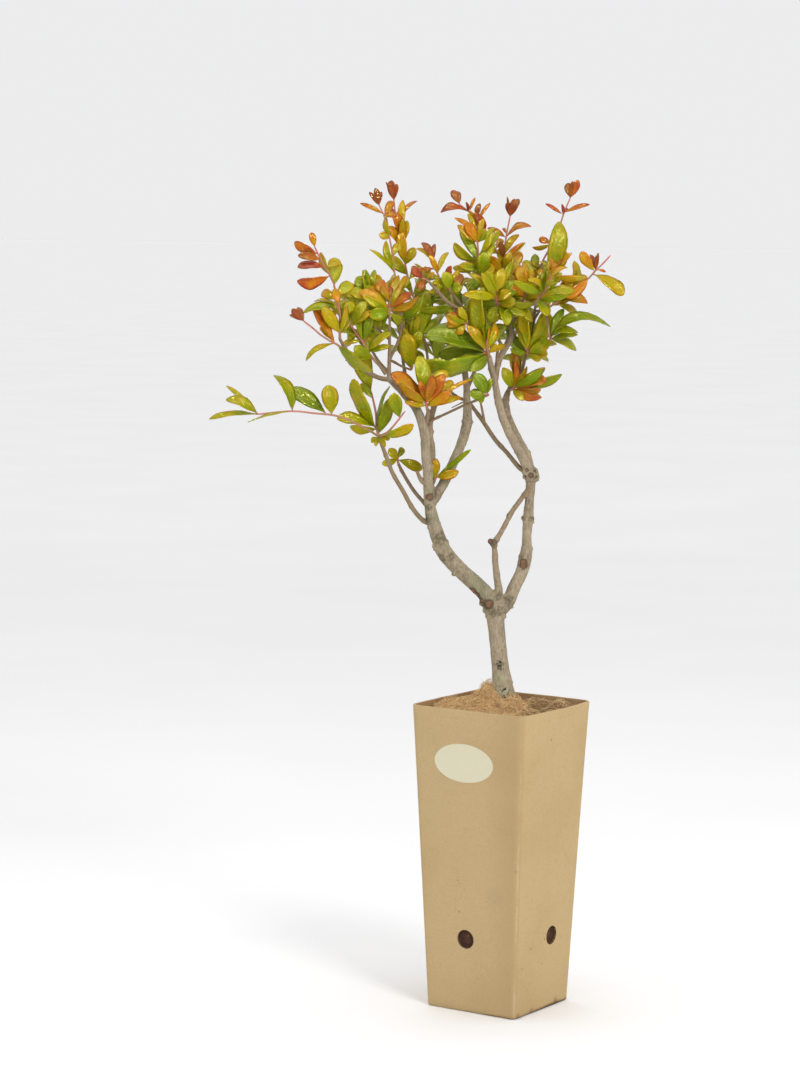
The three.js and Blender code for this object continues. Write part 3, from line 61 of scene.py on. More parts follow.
# Limbs from the foot up: x, y, z along the middle of the wood and the radius there, in millimetres
LIMBS: dict[str, list[Row]] = {
    "trunk": [
        (2, 0, 277, 12), (2, 0, 307, 12.2), (1, 0, 322, 10.2), (-2, 0, 343, 8.6), (-5, 1, 370, 8.3),
        (-7, 1, 389, 8.9), (-7, 1, 405, 9.5),
    ],
    "left_low": [
        (-6, 0, 392, 8.4), (-14, -1, 410, 8.2), (-25, -4, 422, 8), (-37, -7, 433, 7.8),
        (-49, -10, 445, 7.8), (-58, -13, 456, 8), (-63, -16, 466, 7.5), (-67, -19, 478, 6.9),
        (-71, -22, 492, 6.2), (-74, -26, 509, 5.3), (-75, -32, 531, 4.9), (-77, -39, 555, 4.9),
        (-79, -46, 578, 4.7), (-85, -50, 597, 4.2), (-93, -49, 608, 3.9), (-103, -46, 619, 3.7),
        (-115, -41, 630, 3.3),
    ],
    "left_back": [
        (-73, -17, 497, 3.6), (-73, -15, 518, 3.8), (-73, -18, 540, 3.8), (-72, -22, 558, 3.8),
        (-74, -27, 571, 3.7), (-74, -29, 584, 3.2), (-71, -29, 597, 2.8), (-67, -23, 608, 2.3),
    ],
    "left_inner": [
        (-72, -17, 503, 4.2), (-66, -14, 514, 4.9), (-58, -11, 529, 5), (-49, -6, 549, 5),
        (-42, 0, 567, 4.9), (-38, 5, 583, 5.2), (-38, 8, 598, 4.2), (-39, 12, 618, 3.3),
        (-41, 16, 638, 3.2), (-39, 21, 653, 3),
    ],
    "low_left_twig": [
        (-71, -21, 485, 2.7), (-80, -23, 489, 2.4), (-90, -29, 501, 2.3), (-99, -37, 518, 2.2),
        (-109, -45, 536, 2.1), (-115, -51, 552, 2.1), (-122, -57, 571, 1.6),
    ],
    "low_mid_twig": [
        (-75, -22, 502, 2.1), (-80, -21, 507, 2), (-90, -15, 518, 1.9), (-100, -8, 533, 1.8),
        (-105, -4, 542, 1.6),
    ],
    "middle": [
        (-3, 2, 401, 4.6), (-4, 0, 416, 4.1), (-7, -2, 436, 3.4), (-9, -4, 459, 2.8), (-9, -4, 465, 2.9),
        (-1, 0, 479, 2.7), (8, 6, 496, 2.6), (16, 10, 507, 2.6), (25, 14, 519, 2.4),
    ],
    "right_low": [
        (-4, 2, 396, 7.2), (5, 5, 406, 6.9), (12, 8, 422, 6.4), (19, 10, 437, 6.5), (22, 11, 451, 6.6),
        (23, 13, 462, 5.2), (23, 13, 475, 4.7), (24, 14, 488, 5.3), (25, 15, 504, 4.7), (26, 14, 521, 4.8),
        (26, 14, 534, 6.4),
    ],
    "right_front": [
        (24, 11, 536, 5), (16, 3, 553, 4.6), (6, -5, 571, 4.3), (-2, -11, 589, 4.1), (-7, -16, 606, 3.8),
        (-10, -20, 623, 3.4), (-14, -23, 639, 3.2), (-17, -26, 651, 2.9),
    ],
    "right_back": [
        (26, 18, 537, 4.6), (21, 24, 553, 4.1), (11, 30, 571, 3.8), (3, 35, 589, 3.6), (0, 38, 602, 3.5),
        (2, 40, 613, 3),
    ],
    "crossing": [
        (24, 13, 536, 2.8), (17, 12, 538, 2.6), (13, 12, 541, 2.4), (2, 13, 554, 2.2), (-10, 16, 567, 2.2),
        (-22, 22, 584, 2.1), (-31, 26, 596, 1.9), (-38, 28, 604, 1.7), (-48, 26, 608, 1.6),
        (-58, 23, 616, 1.4),
    ],
    "crossing_spur": [(-21, 22, 583, 1.6), (-23, 21, 595, 1.2), (-25, 20, 604, 0.9)],
    "thin_twig": [
        (-74, -31, 584, 1.7), (-72, -33, 588, 1.4), (-55, -27, 596, 1.3), (-38, -23, 604, 1.25),
        (-26, -28, 609, 1.2), (-21, -35, 612, 1.15), (-17, -41, 614, 1.1),
    ],
    "dry_twig": [(-40, 8, 605, 0.9), (-45, 3, 603, 0.7), (-53, -2, 599, 0.5)],
    "cluster_stub": [(-78, -47, 585, 2.6), (-75, -53, 597, 1.9), (-76, -55, 601, 1.6)],
    "upper_right_fork": [
        (-10, -20, 628, 2.8), (-8, -13, 643, 3), (-2, -3, 657, 3.1), (4, 5, 667, 2.8), (5, 10, 684, 2.3),
        (1, 13, 704, 1.9), (-4, 13, 723, 1.6),
    ],
    "fork_spur": [(-9, -15, 641, 1.7), (-9, -20, 652, 1.3), (-6, -23, 666, 1)],
    "left_twig": [
        (-113, -41, 628, 2.5), (-124, -45, 630, 2.3), (-139, -51, 638, 2), (-149, -58, 649, 1.9),
        (-156, -63, 659, 1.8), (-161, -66, 668, 1.5),
    ],
    "upright_twig": [
        (-114, -41, 630, 2.2), (-114, -38, 649, 1.7), (-114, -36, 668, 1.5), (-114, -36, 689, 1.3),
    ],
    "left_spur": [(-117, -41, 633, 1.9), (-122, -41, 640, 1.5), (-127, -40, 645, 1.2)],
    "red_twig": [(-114, -38, 647, 1.5), (-110, -30, 645, 1.3), (-102, -20, 640, 1.2), (-95, -13, 637, 1)],
    "sprig6_twig": [
        (-16, -23, 647, 2), (-21, -12, 663, 1.8), (-30, -15, 679, 1.7), (-39, -23, 690, 1.7),
        (-45, -28, 701, 1.6), (-53, -30, 712, 1.4),
    ],
    "dark_twig": [(-42, -26, 696, 1.7), (-55, -36, 702, 1.9), (-66, -43, 713, 1.6), (-76, -50, 724, 1.3)],
}

# Twigs and spurs that carry the leafy sprays, given the same way
TWIGS: dict[str, list[Row]] = {
    "crotch_spur": [(-72, -16, 523, 2.2), (-69, -17, 528, 1.5)],
    "bud_spur": [(-155, -63, 659, 1.6), (-160, -67, 660, 1.2)],
    "left_mid_twig": [
        (-114, -38, 647, 1.6), (-108, -28, 660, 1.4), (-104, -21, 672, 1.2), (-103, -16, 684, 1.1),
    ],
    "sprig1_twig": [
        (-71, -29, 597, 1.9), (-73, -21, 612, 1.6), (-76, -13, 637, 1.4), (-79, -7, 658, 1.3),
        (-84, 0, 678, 1.2), (-91, 3, 702, 1.1),
    ],
    "left_stub": [(-76, -33, 524, 2.4), (-82, -33, 530, 2.2), (-86, -34, 538, 1.5)],
    "left_front_spur": [(-33, -20, 684, 1.5), (-37, -34, 683, 1.1)],
    "right_shoot": [
        (2, 40, 613, 2.4), (7, 36, 621, 1.9), (12, 33, 628, 1.7), (16, 28, 636, 1.6), (19, 23, 649, 1.5),
        (23, 18, 666, 1.4), (27, 13, 684, 1.3), (28, 10, 700, 1.2),
    ],
    "orange_right_spur": [(4, 38, 616, 1.6), (6, 31, 616, 1.2)],
    "shoot_spur": [(19, 23, 649, 1.5), (21, 15, 651, 1.2)],
    "big_leaf_twig": [
        (27, 13, 686, 1.3), (32, 5, 695, 1.2), (36, 0, 704, 1.1), (38, -5, 714, 1.1), (40, -8, 721, 1),
    ],
    "sprig8_twig": [(28, 11, 695, 1.3), (34, 0, 696, 1.2), (41, -12, 699, 1.1)],
    "arch_twig": [(34, 0, 696, 1.2), (39, -7, 689, 1.1), (41, -13, 678, 1)],
    "sprig3_twig": [(1, 13, 704, 1.6), (-3, 23, 720, 1.3), (-7, 26, 737, 1.1)],
    "sprig4_twig": [(5, 10, 684, 1.9), (-7, 0, 695, 1.6), (-18, -7, 709, 1.4), (-26, -10, 725, 1.2)],
    "mass_twig_a": [(-1, 5, 690, 1.6), (-4, -10, 695, 1.4), (-7, -20, 700, 1.2)],
    "mass_twig_b": [(5, 8, 681, 1.7), (11, 2, 693, 1.5), (15, -7, 703, 1.2)],
    "fill_left_a": [(-114, -36, 667, 1.5), (-123, -16, 673, 1.3), (-131, 2, 680, 1.1)],
    "fill_left_b": [(-104, -20, 674, 1.2), (-99, 7, 683, 1.1), (-94, 23, 692, 1)],
    "fill_right_a": [(-2, -3, 657, 1.9), (-9, 20, 668, 1.5), (-16, 33, 680, 1.2)],
    "fill_right_b": [(13, -2, 698, 1.3), (23, -23, 701, 1.2), (29, -35, 706, 1.1)],
    "fill_right_c": [(-40, 26, 660, 2), (-43, 13, 675, 1.5), (-47, 3, 687, 1.2)],
    "back_left_a": [(-93, -49, 608, 2.2), (-97, -16, 619, 1.9), (-101, 20, 634, 1.7), (-105, 46, 652, 1.3)],
    "back_left_b": [(-103, -46, 619, 2), (-115, -10, 632, 1.8), (-127, 23, 643, 1.5), (-135, 45, 653, 1.2)],
    "back_left_c": [(-67, -23, 607, 2.2), (-67, 7, 620, 1.8), (-70, 33, 637, 1.3)],
    "back_mid_a": [(-39, 21, 651, 3), (-36, 31, 667, 2.4), (-33, 41, 683, 1.9), (-31, 48, 695, 1.4)],
    "back_mid_b": [(-41, 16, 636, 2.4), (-48, 40, 652, 1.8), (-55, 59, 666, 1.3)],
    "back_mid_c": [(-39, 12, 616, 2.4), (-32, 40, 632, 1.9), (-24, 69, 652, 1.4)],
    "back_right_a": [(-2, -3, 656, 2.2), (2, 31, 669, 1.8), (5, 66, 686, 1.3)],
    "back_right_b": [(23, 18, 665, 1.3), (25, 46, 679, 1.2), (27, 69, 692, 1.1)],
    "back_right_c": [(4, 5, 665, 2.2), (11, 36, 677, 1.7), (17, 63, 692, 1.3)],
    "back_right_low": [(2, 40, 611, 2.3), (6, 61, 624, 1.7), (10, 79, 636, 1.2)],
}

# Knots and old cuts that stand proud of the bark: x, y, z and radius
KNOBS: list[Row] = [
    (26, 11, 534, 9.5), (-10, -4, 465, 4.4), (24, 14, 488, 6.8), (-15, -5, 406, 6.8), (-38, 3, 584, 5.8),
]

# Shoots of the leafy sprays: the spray, the shoot's radii at foot and tip, its route and its leaves. A leaf
# is its place on the shoot, its tip x, y, z, its width, the turn of its face, its age and sometimes its arch
SHOOTS: list[tuple[str, Row, list[Row], list[Row]]] = [
    ("spray_low_left", (1.5, 0.9), [
        (-122, -57, 571), (-125, -52, 581), (-126, -48, 594), (-129, -39, 606), (-132, -30, 616),
    ], [
        (0.2, -148, -61, 629, 19, -45, 0.4), (0.81, -142, -31, 623, 8, 10, 0.35),
        (0.96, -145, -19, 660, 20, -10, 0.42, 0.05), (0.11, -113, -65, 610, 15, -30, 0.25),
        (0.16, -116, -48, 623, 9, 55, 0.3, 0.04), (0.04, -130, -59, 568, 6.1, 30, 0.5),
        (0.04, -125, -69, 565, 6.1, 15, 0.5), (0.03, -116, -77, 566, 6.1, 15, 0.5),
        (0.05, -112, -50, 571, 6.1, 15, 0.5), (0.09, -89, -60, 585, 13, -45, 0.5, 0.08),
        (0.23, -150, -62, 582, 11, -35, 0.42), (0.27, -163, -59, 592, 15, 45, 0.4),
    ]),
    ("spray_low_left", (1.2, 0.8), [
        (-122, -57, 573), (-114, -61, 578), (-106, -65, 587), (-97, -69, 599),
    ], [
        (0.81, -108, -73, 617, 14, -10, 0.35),
    ]),
    ("spray_low_left", (1.2, 0.8), [
        (-122, -57, 573), (-141, -70, 585), (-162, -79, 594), (-184, -88, 597), (-206, -93, 599),
        (-238, -99, 596),
    ], [
        (0.45, -171, -86, 624, 17, 10, 0.47), (0.49, -209, -74, 618, 18, 35, 0.12),
        (0.79, -218, -99, 634, 15, 40, 0.35, 0.12), (0.8, -246, -107, 588, 7, 60, 0.48, 0.05),
        (1, -267, -103, 611, 13, 35, 0.45, 0.1), (1, -285, -94, 592, 8, 45, 0.45, 0.05),
        (1, -269, -89, 624, 5, 15, 0.45),
    ]),
    ("spray_low_middle", (1.4, 0.9), [(-105, -4, 542), (-106, -3, 546), (-106, -1, 549)], [
        (0.44, -114, -6, 558, 9, 10, 0.5), (0.58, -120, -11, 543, 8, -10, 0.42),
        (0.65, -82, 5, 537, 11, 10, 0.45, 0.1), (0.82, -101, 4, 559, 7, -10, 0.4),
    ]),
    ("spray_crotch", (1.4, 0.9), [(-69, -17, 528), (-68, -18, 530), (-67, -19, 533)], [
        (0.66, -68, -25, 549, 9, 10, 0.6), (0.66, -46, -24, 537, 10, -10, 0.62),
        (0.85, -35, -29, 560, 6.1, 15, 0.25, -0.1), (0.46, -75, -29, 546, 8, 5, 0.5),
    ]),
    ("spray_left_edge", (1.4, 1), [
        (-161, -66, 668), (-161, -68, 681), (-161, -69, 692), (-164, -71, 707), (-167, -74, 722),
    ], [
        (0.96, -167, -68, 746, 14, 10, 0.42), (0.79, -150, -63, 722, 13, 10, 0.45),
        (0.09, -178, -77, 699, 13, 10, 0.5), (0.63, -185, -74, 706, 7, 60, 0.5, 0.05),
        (0.07, -153, -59, 685, 8, 10, 0.42), (0.94, -163, -84, 703, 9, 10, 0.7),
        (0.42, -149, -60, 703, 12, 10, 0.4), (0.59, -175, -62, 685, 10, 10, 0.5),
        (0.72, -180, -63, 714, 10, 10, 0.55),
    ]),
    ("tip_left_edge", (1, 0.8), [(-167, -74, 722), (-172, -78, 732), (-178, -81, 742), (-185, -86, 757)], [
        (0.23, -181, -71, 751, 10, -35, 0.55), (0.98, -188, -89, 770, 7, 10, 0.7),
        (0.84, -204, -89, 760, 10, -25, 0.85), (0.72, -199, -92, 749, 9, 15, 0.87),
        (0.52, -201, -86, 737, 11, 35, 0.95), (0.23, -200, -86, 721, 13, -40, 0.82),
        (0.48, -162, -75, 742, 7, 10, 0.6),
    ]),
    ("spray_left_bud", (1.2, 1), [(-160, -67, 660), (-164, -70, 663), (-170, -73, 666)], [
        (0.81, -186, -75, 697, 15, 45, 0.75), (0.69, -194, -77, 650, 8, 40, 0.5, 0.05),
        (0.42, -129, -82, 638, 18, -45, 0.38), (0.61, -180, -65, 679, 9, 30, 0.6),
    ]),
    ("tip_left_bud", (0.95, 0.8), [
        (-170, -73, 666), (-179, -76, 672), (-187, -79, 679), (-196, -82, 686),
    ], [
        (0.96, -206, -85, 697, 8, -10, 1), (0.96, -201, -78, 699, 6.1, 15, 0.98),
        (0.96, -209, -78, 691, 4, 15, 1),
    ]),
    ("spray_left_mass", (1.4, 0.9), [
        (-127, -40, 645), (-135, -43, 655), (-139, -45, 663), (-144, -46, 670), (-150, -48, 679),
        (-155, -50, 686),
    ], [
        (0.4, -148, -39, 700, 16, 25, 0.36), (0.19, -115, -51, 675, 12, 40, 0.42),
        (0.15, -137, -34, 671, 9, 10, 0.4), (0.06, -148, -53, 659, 13, -10, 0.3),
        (0.48, -152, -49, 664, 4, 15, 0.5), (0.91, -161, -44, 706, 12, 10, 0.42),
        (0.86, -138, -57, 703, 12, 10, 0.4), (0.98, -163, -56, 695, 8, 10, 0.5),
        (0.65, -156, -40, 669, 9, -10, 0.4),
    ]),
    ("spray_left_mass", (1.2, 0.9), [
        (-138, -43, 661), (-137, -30, 679), (-136, -20, 697), (-135, -13, 714),
    ], [
        (0.99, -148, -17, 726, 14, -10, 0.25), (0.82, -153, -23, 714, 13, 10, 0.42),
        (0.99, -125, -10, 729, 10, -10, 0.5), (0.99, -151, -7, 720, 6.1, 15, 0.92),
        (0.59, -123, -30, 681, 12, -10, 0.36), (0.41, -126, -21, 662, 13, -10, 0.38),
        (0.74, -124, -12, 715, 12, 10, 0.45), (0.36, -151, -23, 692, 12, -10, 0.36),
    ]),
    ("spray_upright", (1.3, 0.9), [
        (-114, -36, 689), (-114, -36, 695), (-114, -36, 701), (-114, -35, 708),
    ], [
        (0.48, -93, -46, 712, 11, 35, 0.8, 0.05), (0.31, -86, -39, 708, 13, -45, 0.65),
        (0.48, -143, -44, 713, 14, 30, 0.62), (0.29, -135, -48, 691, 13, -10, 0.32, 0.2),
        (0.97, -115, -33, 719, 6.1, 15, 0.92), (0.78, -123, -36, 719, 8, -10, 0.7),
        (0.94, -127, -26, 724, 13, -10, 0.68), (0.97, -110, -23, 732, 7, 50, 0.42, 0.05),
        (0.23, -103, -27, 682, 10, 10, 0.4), (0.14, -125, -22, 681, 10, 10, 0.35),
    ]),
    ("spray_left_inner", (1.2, 0.9), [
        (-95, -13, 637), (-93, -12, 637), (-92, -11, 643), (-93, -8, 655), (-94, -3, 667),
    ], [
        (0.22, -98, -23, 672, 19, -5, 0.48), (0.87, -77, -1, 713, 19, -30, 0.36),
        (0.69, -85, -15, 674, 12, 10, 0.4), (0.58, -106, -18, 660, 11, 10, 0.4),
        (0.99, -100, 3, 688, 11, 50, 0.4), (0.97, -88, -13, 688, 11, 10, 0.42),
        (0.44, -84, -2, 654, 11, -10, 0.35),
    ]),
    ("spray_second", (1.1, 0.8), [
        (-103, -16, 684), (-104, -16, 693), (-106, -16, 708), (-110, -15, 728), (-113, -13, 750),
        (-116, -12, 766), (-119, -11, 778),
    ], [
        (0.01, -82, -24, 707, 13, 10, 0.3), (0.53, -134, -20, 755, 6.1, 50, 0.42, 0.05),
        (0.82, -126, -15, 769, 8, 10, 0.58), (0.3, -118, -7, 724, 11, -10, 0.45),
        (0.38, -97, -11, 728, 10, -10, 0.45), (0.64, -107, -8, 761, 8, 10, 0.5),
    ]),
    ("tip_second", (0.9, 0.75), [(-119, -11, 778), (-122, -10, 788), (-127, -8, 798)], [
        (0.95, -131, -10, 814, 7, 20, 1), (0.95, -136, -15, 810, 5, 15, 1), (0.95, -125, -4, 811, 5, 15, 1),
        (0.55, -145, -14, 799, 5, 15, 0.8, 0.1), (0.44, -113, -6, 802, 8, 10, 0.75),
        (0.46, -110, -15, 788, 6.1, 15, 0.72),
    ]),
    ("spray_first", (1.1, 0.85), [
        (-91, 3, 702), (-94, 5, 714), (-98, 7, 727), (-103, 8, 749), (-106, 9, 764), (-108, 10, 772),
    ], [
        (0.72, -100, 4, 782, 11, 10, 0.5), (0.69, -118, 1, 777, 10, 25, 0.6),
        (0.87, -112, 0, 791, 11, 35, 0.75), (0.51, -91, 5, 756, 10, 10, 0.5),
        (0.42, -114, 3, 747, 11, -10, 0.45), (0.37, -86, 12, 737, 9, 10, 0.5),
        (0.21, -103, -4, 725, 8, 10, 0.42), (0.13, -82, 9, 722, 11, -10, 0.42),
    ]),
    ("tip_first", (0.9, 0.75), [(-108, 10, 772), (-111, 12, 786), (-113, 13, 803)], [
        (0.98, -116, 11, 822, 9, -10, 0.95), (0.98, -111, 16, 819, 7, 10, 0.95),
        (0.98, -121, 19, 821, 4, 15, 0.95), (0.44, -91, 16, 804, 5, 15, 0.8, 0.08),
        (0.46, -118, 22, 796, 5, 15, 0.85),
    ]),
    ("spray_orange_left", (1.5, 1), [(-76, -55, 601), (-77, -57, 605), (-77, -59, 610)], [
        (0.23, -54, -66, 617, 12, -10, 0.64), (0.55, -60, -68, 634, 14, 15, 0.75),
        (0.36, -52, -50, 628, 14, -30, 0.61), (0.3, -96, -64, 608, 9, 10, 0.57),
        (0.5, -110, -63, 636, 19, 40, 0.68), (0.68, -102, -75, 625, 14, -35, 0.63),
        (0.95, -85, -61, 652, 17, 30, 0.38), (0.95, -82, -72, 626, 9, 10, 0.73),
        (0.85, -71, -80, 634, 12, -30, 0.8), (0.95, -57, -53, 638, 14, 30, 0.5),
        (0.43, -33, -61, 632, 5, 15, 0.64),
    ]),
    ("spray_left_front", (1.1, 0.8), [(-37, -34, 683), (-39, -36, 683), (-41, -39, 683)], [
        (0.53, -59, -44, 690, 14, 10, 0.65), (0.77, -63, -33, 679, 10, -10, 0.6),
        (0.26, -46, -44, 698, 9, -10, 0.5), (0.65, -48, -41, 673, 8, -10, 0.6),
    ]),
    ("spray_sixth", (1.1, 0.8), [
        (-53, -30, 712), (-59, -30, 719), (-65, -30, 726), (-70, -29, 736), (-73, -28, 745),
    ], [
        (0.12, -61, -36, 733, 12, 10, 0.42), (0.18, -55, -24, 739, 9, 40, 0.9),
        (0.35, -73, -37, 723, 5, 15, 0.5), (0.64, -75, -38, 749, 6.1, 15, 0.65),
        (0.96, -82, -31, 762, 8, 40, 0.95), (0.96, -72, -25, 761, 6.1, 15, 0.95),
        (0.74, -86, -26, 736, 3, 15, 0.8), (0.08, -44, -24, 731, 9, -10, 0.95),
        (0.12, -44, -35, 719, 11, 10, 0.4),
    ]),
    ("spray_dark", (1.1, 0.8), [(-76, -50, 724), (-79, -51, 726), (-83, -53, 727)], [
        (0.84, -92, -56, 738, 9, -10, 0.93), (0.66, -85, -57, 716, 8, 10, 0.9),
        (0.47, -71, -55, 733, 4, 15, 0.6),
    ]),
    ("spray_right_front", (1.6, 1), [(-17, -26, 651), (-18, -31, 655), (-19, -35, 661), (-19, -38, 668)], [
        (0.54, -29, -40, 714, 22, -45, 0.42, 0.05), (0.41, -37, -44, 681, 13, 25, 0.55),
        (0.89, -22, -26, 696, 13, -45, 0.15), (0.2, -79, -41, 672, 27, 40, 0.12, 0.1),
        (0.14, -78, -52, 638, 25, -45, 0.32, 0.08), (0.27, -8, -33, 663, 7, 10, 0.6),
        (0.54, -9, -28, 679, 11, -10, 0.4), (0.09, -34, -46, 638, 12, -10, 0.2),
        (0.31, -58, -37, 643, 7, 50, 0.2, 0.05),
    ]),
    ("spray_thin_twig", (1, 0.8), [(-17, -41, 614), (-17, -45, 615), (-18, -50, 615), (-21, -53, 615)], [
        (0.76, -30, -55, 635, 14, 10, 0.15), (0.83, -35, -58, 615, 12, 10, 0.2),
        (0.7, -14, -54, 631, 6.1, 15, 0.2), (0.81, -25, -49, 607, 6.1, 15, 0.35),
    ]),
    ("spray_orange_right", (1.3, 0.9), [(6, 31, 616), (7, 27, 617), (9, 23, 619)], [
        (0.58, 41, 18, 626, 14, 35, 0.78), (0.45, 35, 26, 617, 12, -45, 0.7),
        (0.45, 34, 18, 607, 10, -45, 0.75), (0.35, 17, 15, 607, 8, 10, 0.5),
        (0.69, 5, 27, 653, 14, 45, 0.66), (0.78, 10, 21, 645, 10, -45, 0.8),
        (0.45, -2, 16, 637, 12, 10, 0.38), (0.82, 35, 9, 635, 13, -30, 0.25),
        (0.78, 55, 35, 633, 13, -45, 0.3),
    ]),
    ("spray_shoot", (1.2, 0.9), [(21, 15, 651), (21, 11, 654), (21, 7, 657)], [
        (0.48, 22, 6, 686, 13, 30, 0.15), (0.39, -17, 2, 692, 7, 45, 0.15, 0.22),
        (0.24, 4, 7, 658, 8, -25, 0.28), (0.66, 43, -1, 692, 20, -35, 0.42),
        (0.48, 42, 1, 665, 13, -10, 0.38), (0.39, 50, 14, 662, 12, 45, 0.45),
        (0.2, 41, 14, 653, 11, 10, 0.52), (0.34, 34, 8, 646, 8, 10, 0.5),
    ]),
    ("spray_seventh", (1.2, 0.85), [
        (28, 10, 700), (29, 8, 714), (30, 7, 731), (35, 5, 745), (44, 3, 762), (51, 2, 779),
    ], [
        (0.22, 19, 0, 744, 15, 10, 0.45), (0.13, 35, -7, 734, 11, 10, 0.6), (0.79, 31, 8, 766, 7, 10, 0.78),
        (0.39, 27, 14, 751, 9, -25, 0.22), (0.05, 14, 3, 716, 12, 10, 0.5), (0.2, 40, 16, 723, 10, 10, 0.5),
        (0.51, 25, -2, 743, 6.1, 15, 0.5),
    ]),
    ("tip_seventh", (0.9, 0.75), [(51, 2, 779), (55, 0, 792), (61, -2, 807)], [
        (0.99, 68, -4, 824, 8, -10, 0.9), (0.99, 58, 1, 821, 8, -10, 0.92),
        (0.99, 63, -13, 823, 5, 15, 0.9), (0.43, 37, 4, 802, 4, 15, 0.85, -0.05),
        (0.5, 79, -4, 801, 5, 15, 0.85, 0.05), (0.45, 53, -9, 799, 4, 15, 1), (0.51, 61, 6, 796, 4, 15, 1),
    ]),
    ("spray_big_leaf", (1, 0.8), [(40, -8, 721), (42, -10, 728), (45, -12, 735)], [
        (0.36, 52, -14, 782, 19, -12, 0.4, 0.03), (0.95, 54, -15, 747, 4, 15, 0.8),
        (0.2, 30, -8, 736, 9, 10, 0.6), (0.29, 52, -5, 727, 8, 10, 0.6),
    ]),
    ("spray_eighth", (1.1, 0.9), [
        (41, -12, 699), (51, -16, 706), (62, -21, 713), (72, -25, 722), (80, -28, 729),
    ], [
        (0.05, 76, -7, 733, 19, 35, 0.58), (0.98, 57, -34, 710, 12, -30, 0.72),
        (0.17, 78, -21, 707, 13, 45, 0.62), (0.52, 66, -13, 745, 12, -45, 0.5),
        (0.02, 35, -17, 718, 11, 10, 0.5), (0.29, 63, -25, 727, 12, 10, 0.62),
    ]),
    ("tip_eighth", (0.95, 0.75), [(80, -28, 729), (86, -31, 736), (93, -32, 743), (100, -34, 751)], [
        (0.29, 71, -35, 754, 10, -20, 0.66), (0.33, 81, -28, 752, 5, 15, 1), (0.34, 88, -35, 753, 5, 15, 1),
        (0.17, 113, -36, 712, 15, 35, 0.52, 0.1), (0.37, 96, -27, 735, 3, 15, 0.8),
    ]),
    ("spray_arched", (1, 0.85), [(41, -13, 678), (42, -15, 672), (43, -16, 667)], [
        (0.88, 99, -22, 687, 13, 38, 0.27, 0.3), (0.87, 69, -32, 676, 10, 40, 0.32, 0.25),
        (0.85, 70, -12, 660, 12, 40, 0.35), (0.7, 58, -13, 688, 10, -10, 0.25),
        (0.56, 33, -9, 665, 7, 10, 0.3),
    ]),
    ("spray_fifth", (1.2, 0.9), [(-4, 13, 723), (-5, 13, 736), (-4, 13, 750), (-2, 13, 765)], [
        (0.28, -20, 7, 748, 12, -10, 0.66), (0.49, 14, 17, 763, 5, 15, 0.72),
        (0.62, -7, 1, 762, 7, 10, 0.97), (0.13, 13, 19, 753, 15, 10, 0.6),
        (0.05, -18, 20, 736, 11, 10, 0.5), (0.08, 7, 5, 739, 12, 10, 0.55), (0.36, 3, 5, 751, 9, -10, 0.6),
    ]),
    ("tip_fifth", (0.9, 0.75), [(-2, 13, 765), (0, 13, 777), (2, 13, 788)], [
        (0.07, -19, 9, 777, 6.1, 15, 0.85), (0.12, 21, 10, 781, 10, 45, 0.85),
        (0.97, 10, 11, 805, 8, 10, 0.97), (0.97, 0, 16, 802, 8, 10, 0.98), (0.97, 5, 2, 804, 6.1, 15, 0.97),
        (0.97, -1, 7, 807, 3, 0, 0.9), (0.2, -5, 17, 777, 3.5, 15, 0.95),
    ]),
    ("spray_third", (1.1, 0.85), [(-7, 26, 737), (-10, 26, 751), (-16, 25, 762), (-24, 23, 775)], [
        (0.93, -31, 9, 790, 9, 10, 0.85), (0.33, -21, 31, 757, 7, -10, 0.6),
        (0.46, -5, 31, 766, 7, 10, 0.7), (0.08, 2, 32, 749, 9, -10, 0.55),
    ]),
    ("tip_third", (0.85, 0.75), [(-24, 23, 775), (-33, 23, 787), (-40, 23, 793), (-49, 23, 800)], [
        (0.99, -56, 23, 813, 8, 10, 1), (0.99, -50, 30, 812, 5, 15, 1), (0.67, -66, 19, 795, 10, 45, 0.9),
        (0.6, -33, 26, 806, 3.5, 15, 0.85), (0.63, -41, 17, 801, 3.5, 15, 1),
        (0.28, -29, 20, 800, 6.1, 15, 0.92), (0.22, -18, 26, 801, 4, 15, 0.8),
    ]),
    ("spray_fourth", (1.2, 0.8), [
        (-26, -10, 725), (-28, -12, 740), (-29, -12, 755), (-30, -12, 767), (-30, -12, 776),
    ], [
        (0.63, -41, -17, 781, 11, 10, 0.7), (0.63, -22, -8, 775, 9, 10, 0.52),
        (0.89, -52, -15, 786, 6.1, 15, 0.7, 0.1), (0.3, -53, -16, 760, 12, -40, 0.42),
        (0.18, -46, -19, 740, 9, -10, 0.42), (0.39, -17, -10, 775, 10, -45, 0.45),
        (0.06, -22, -21, 752, 15, -10, 0.33), (0.03, -38, -21, 714, 13, 10, 0.3),
        (0.05, -14, -4, 739, 12, -10, 0.45),
    ]),
    ("spray_mass_left", (1.2, 0.9), [(-7, -20, 700), (-10, -26, 706), (-12, -33, 715)], [
        (0.26, 5, -29, 725, 11, 20, 0.3), (0.9, -4, -36, 736, 13, -10, 0.5),
        (0.95, -21, -38, 734, 13, -10, 0.4), (0.63, -26, -36, 717, 14, 10, 0.35),
        (0.13, 8, -31, 705, 12, 10, 0.45), (0.09, -17, -27, 685, 14, -10, 0.4),
        (0.04, 1, -37, 682, 12, 25, 0.35), (0.47, 3, -32, 715, 11, 10, 0.5),
    ]),
    ("spray_mass_right", (1.2, 0.9), [(15, -7, 703), (17, -12, 710), (18, -15, 718)], [
        (0.44, 4, -18, 722, 12, 10, 0.75), (0.88, 12, -17, 739, 14, -10, 0.62),
        (0.79, 29, -21, 727, 12, -10, 0.5), (0.37, 32, -19, 711, 12, -10, 0.5),
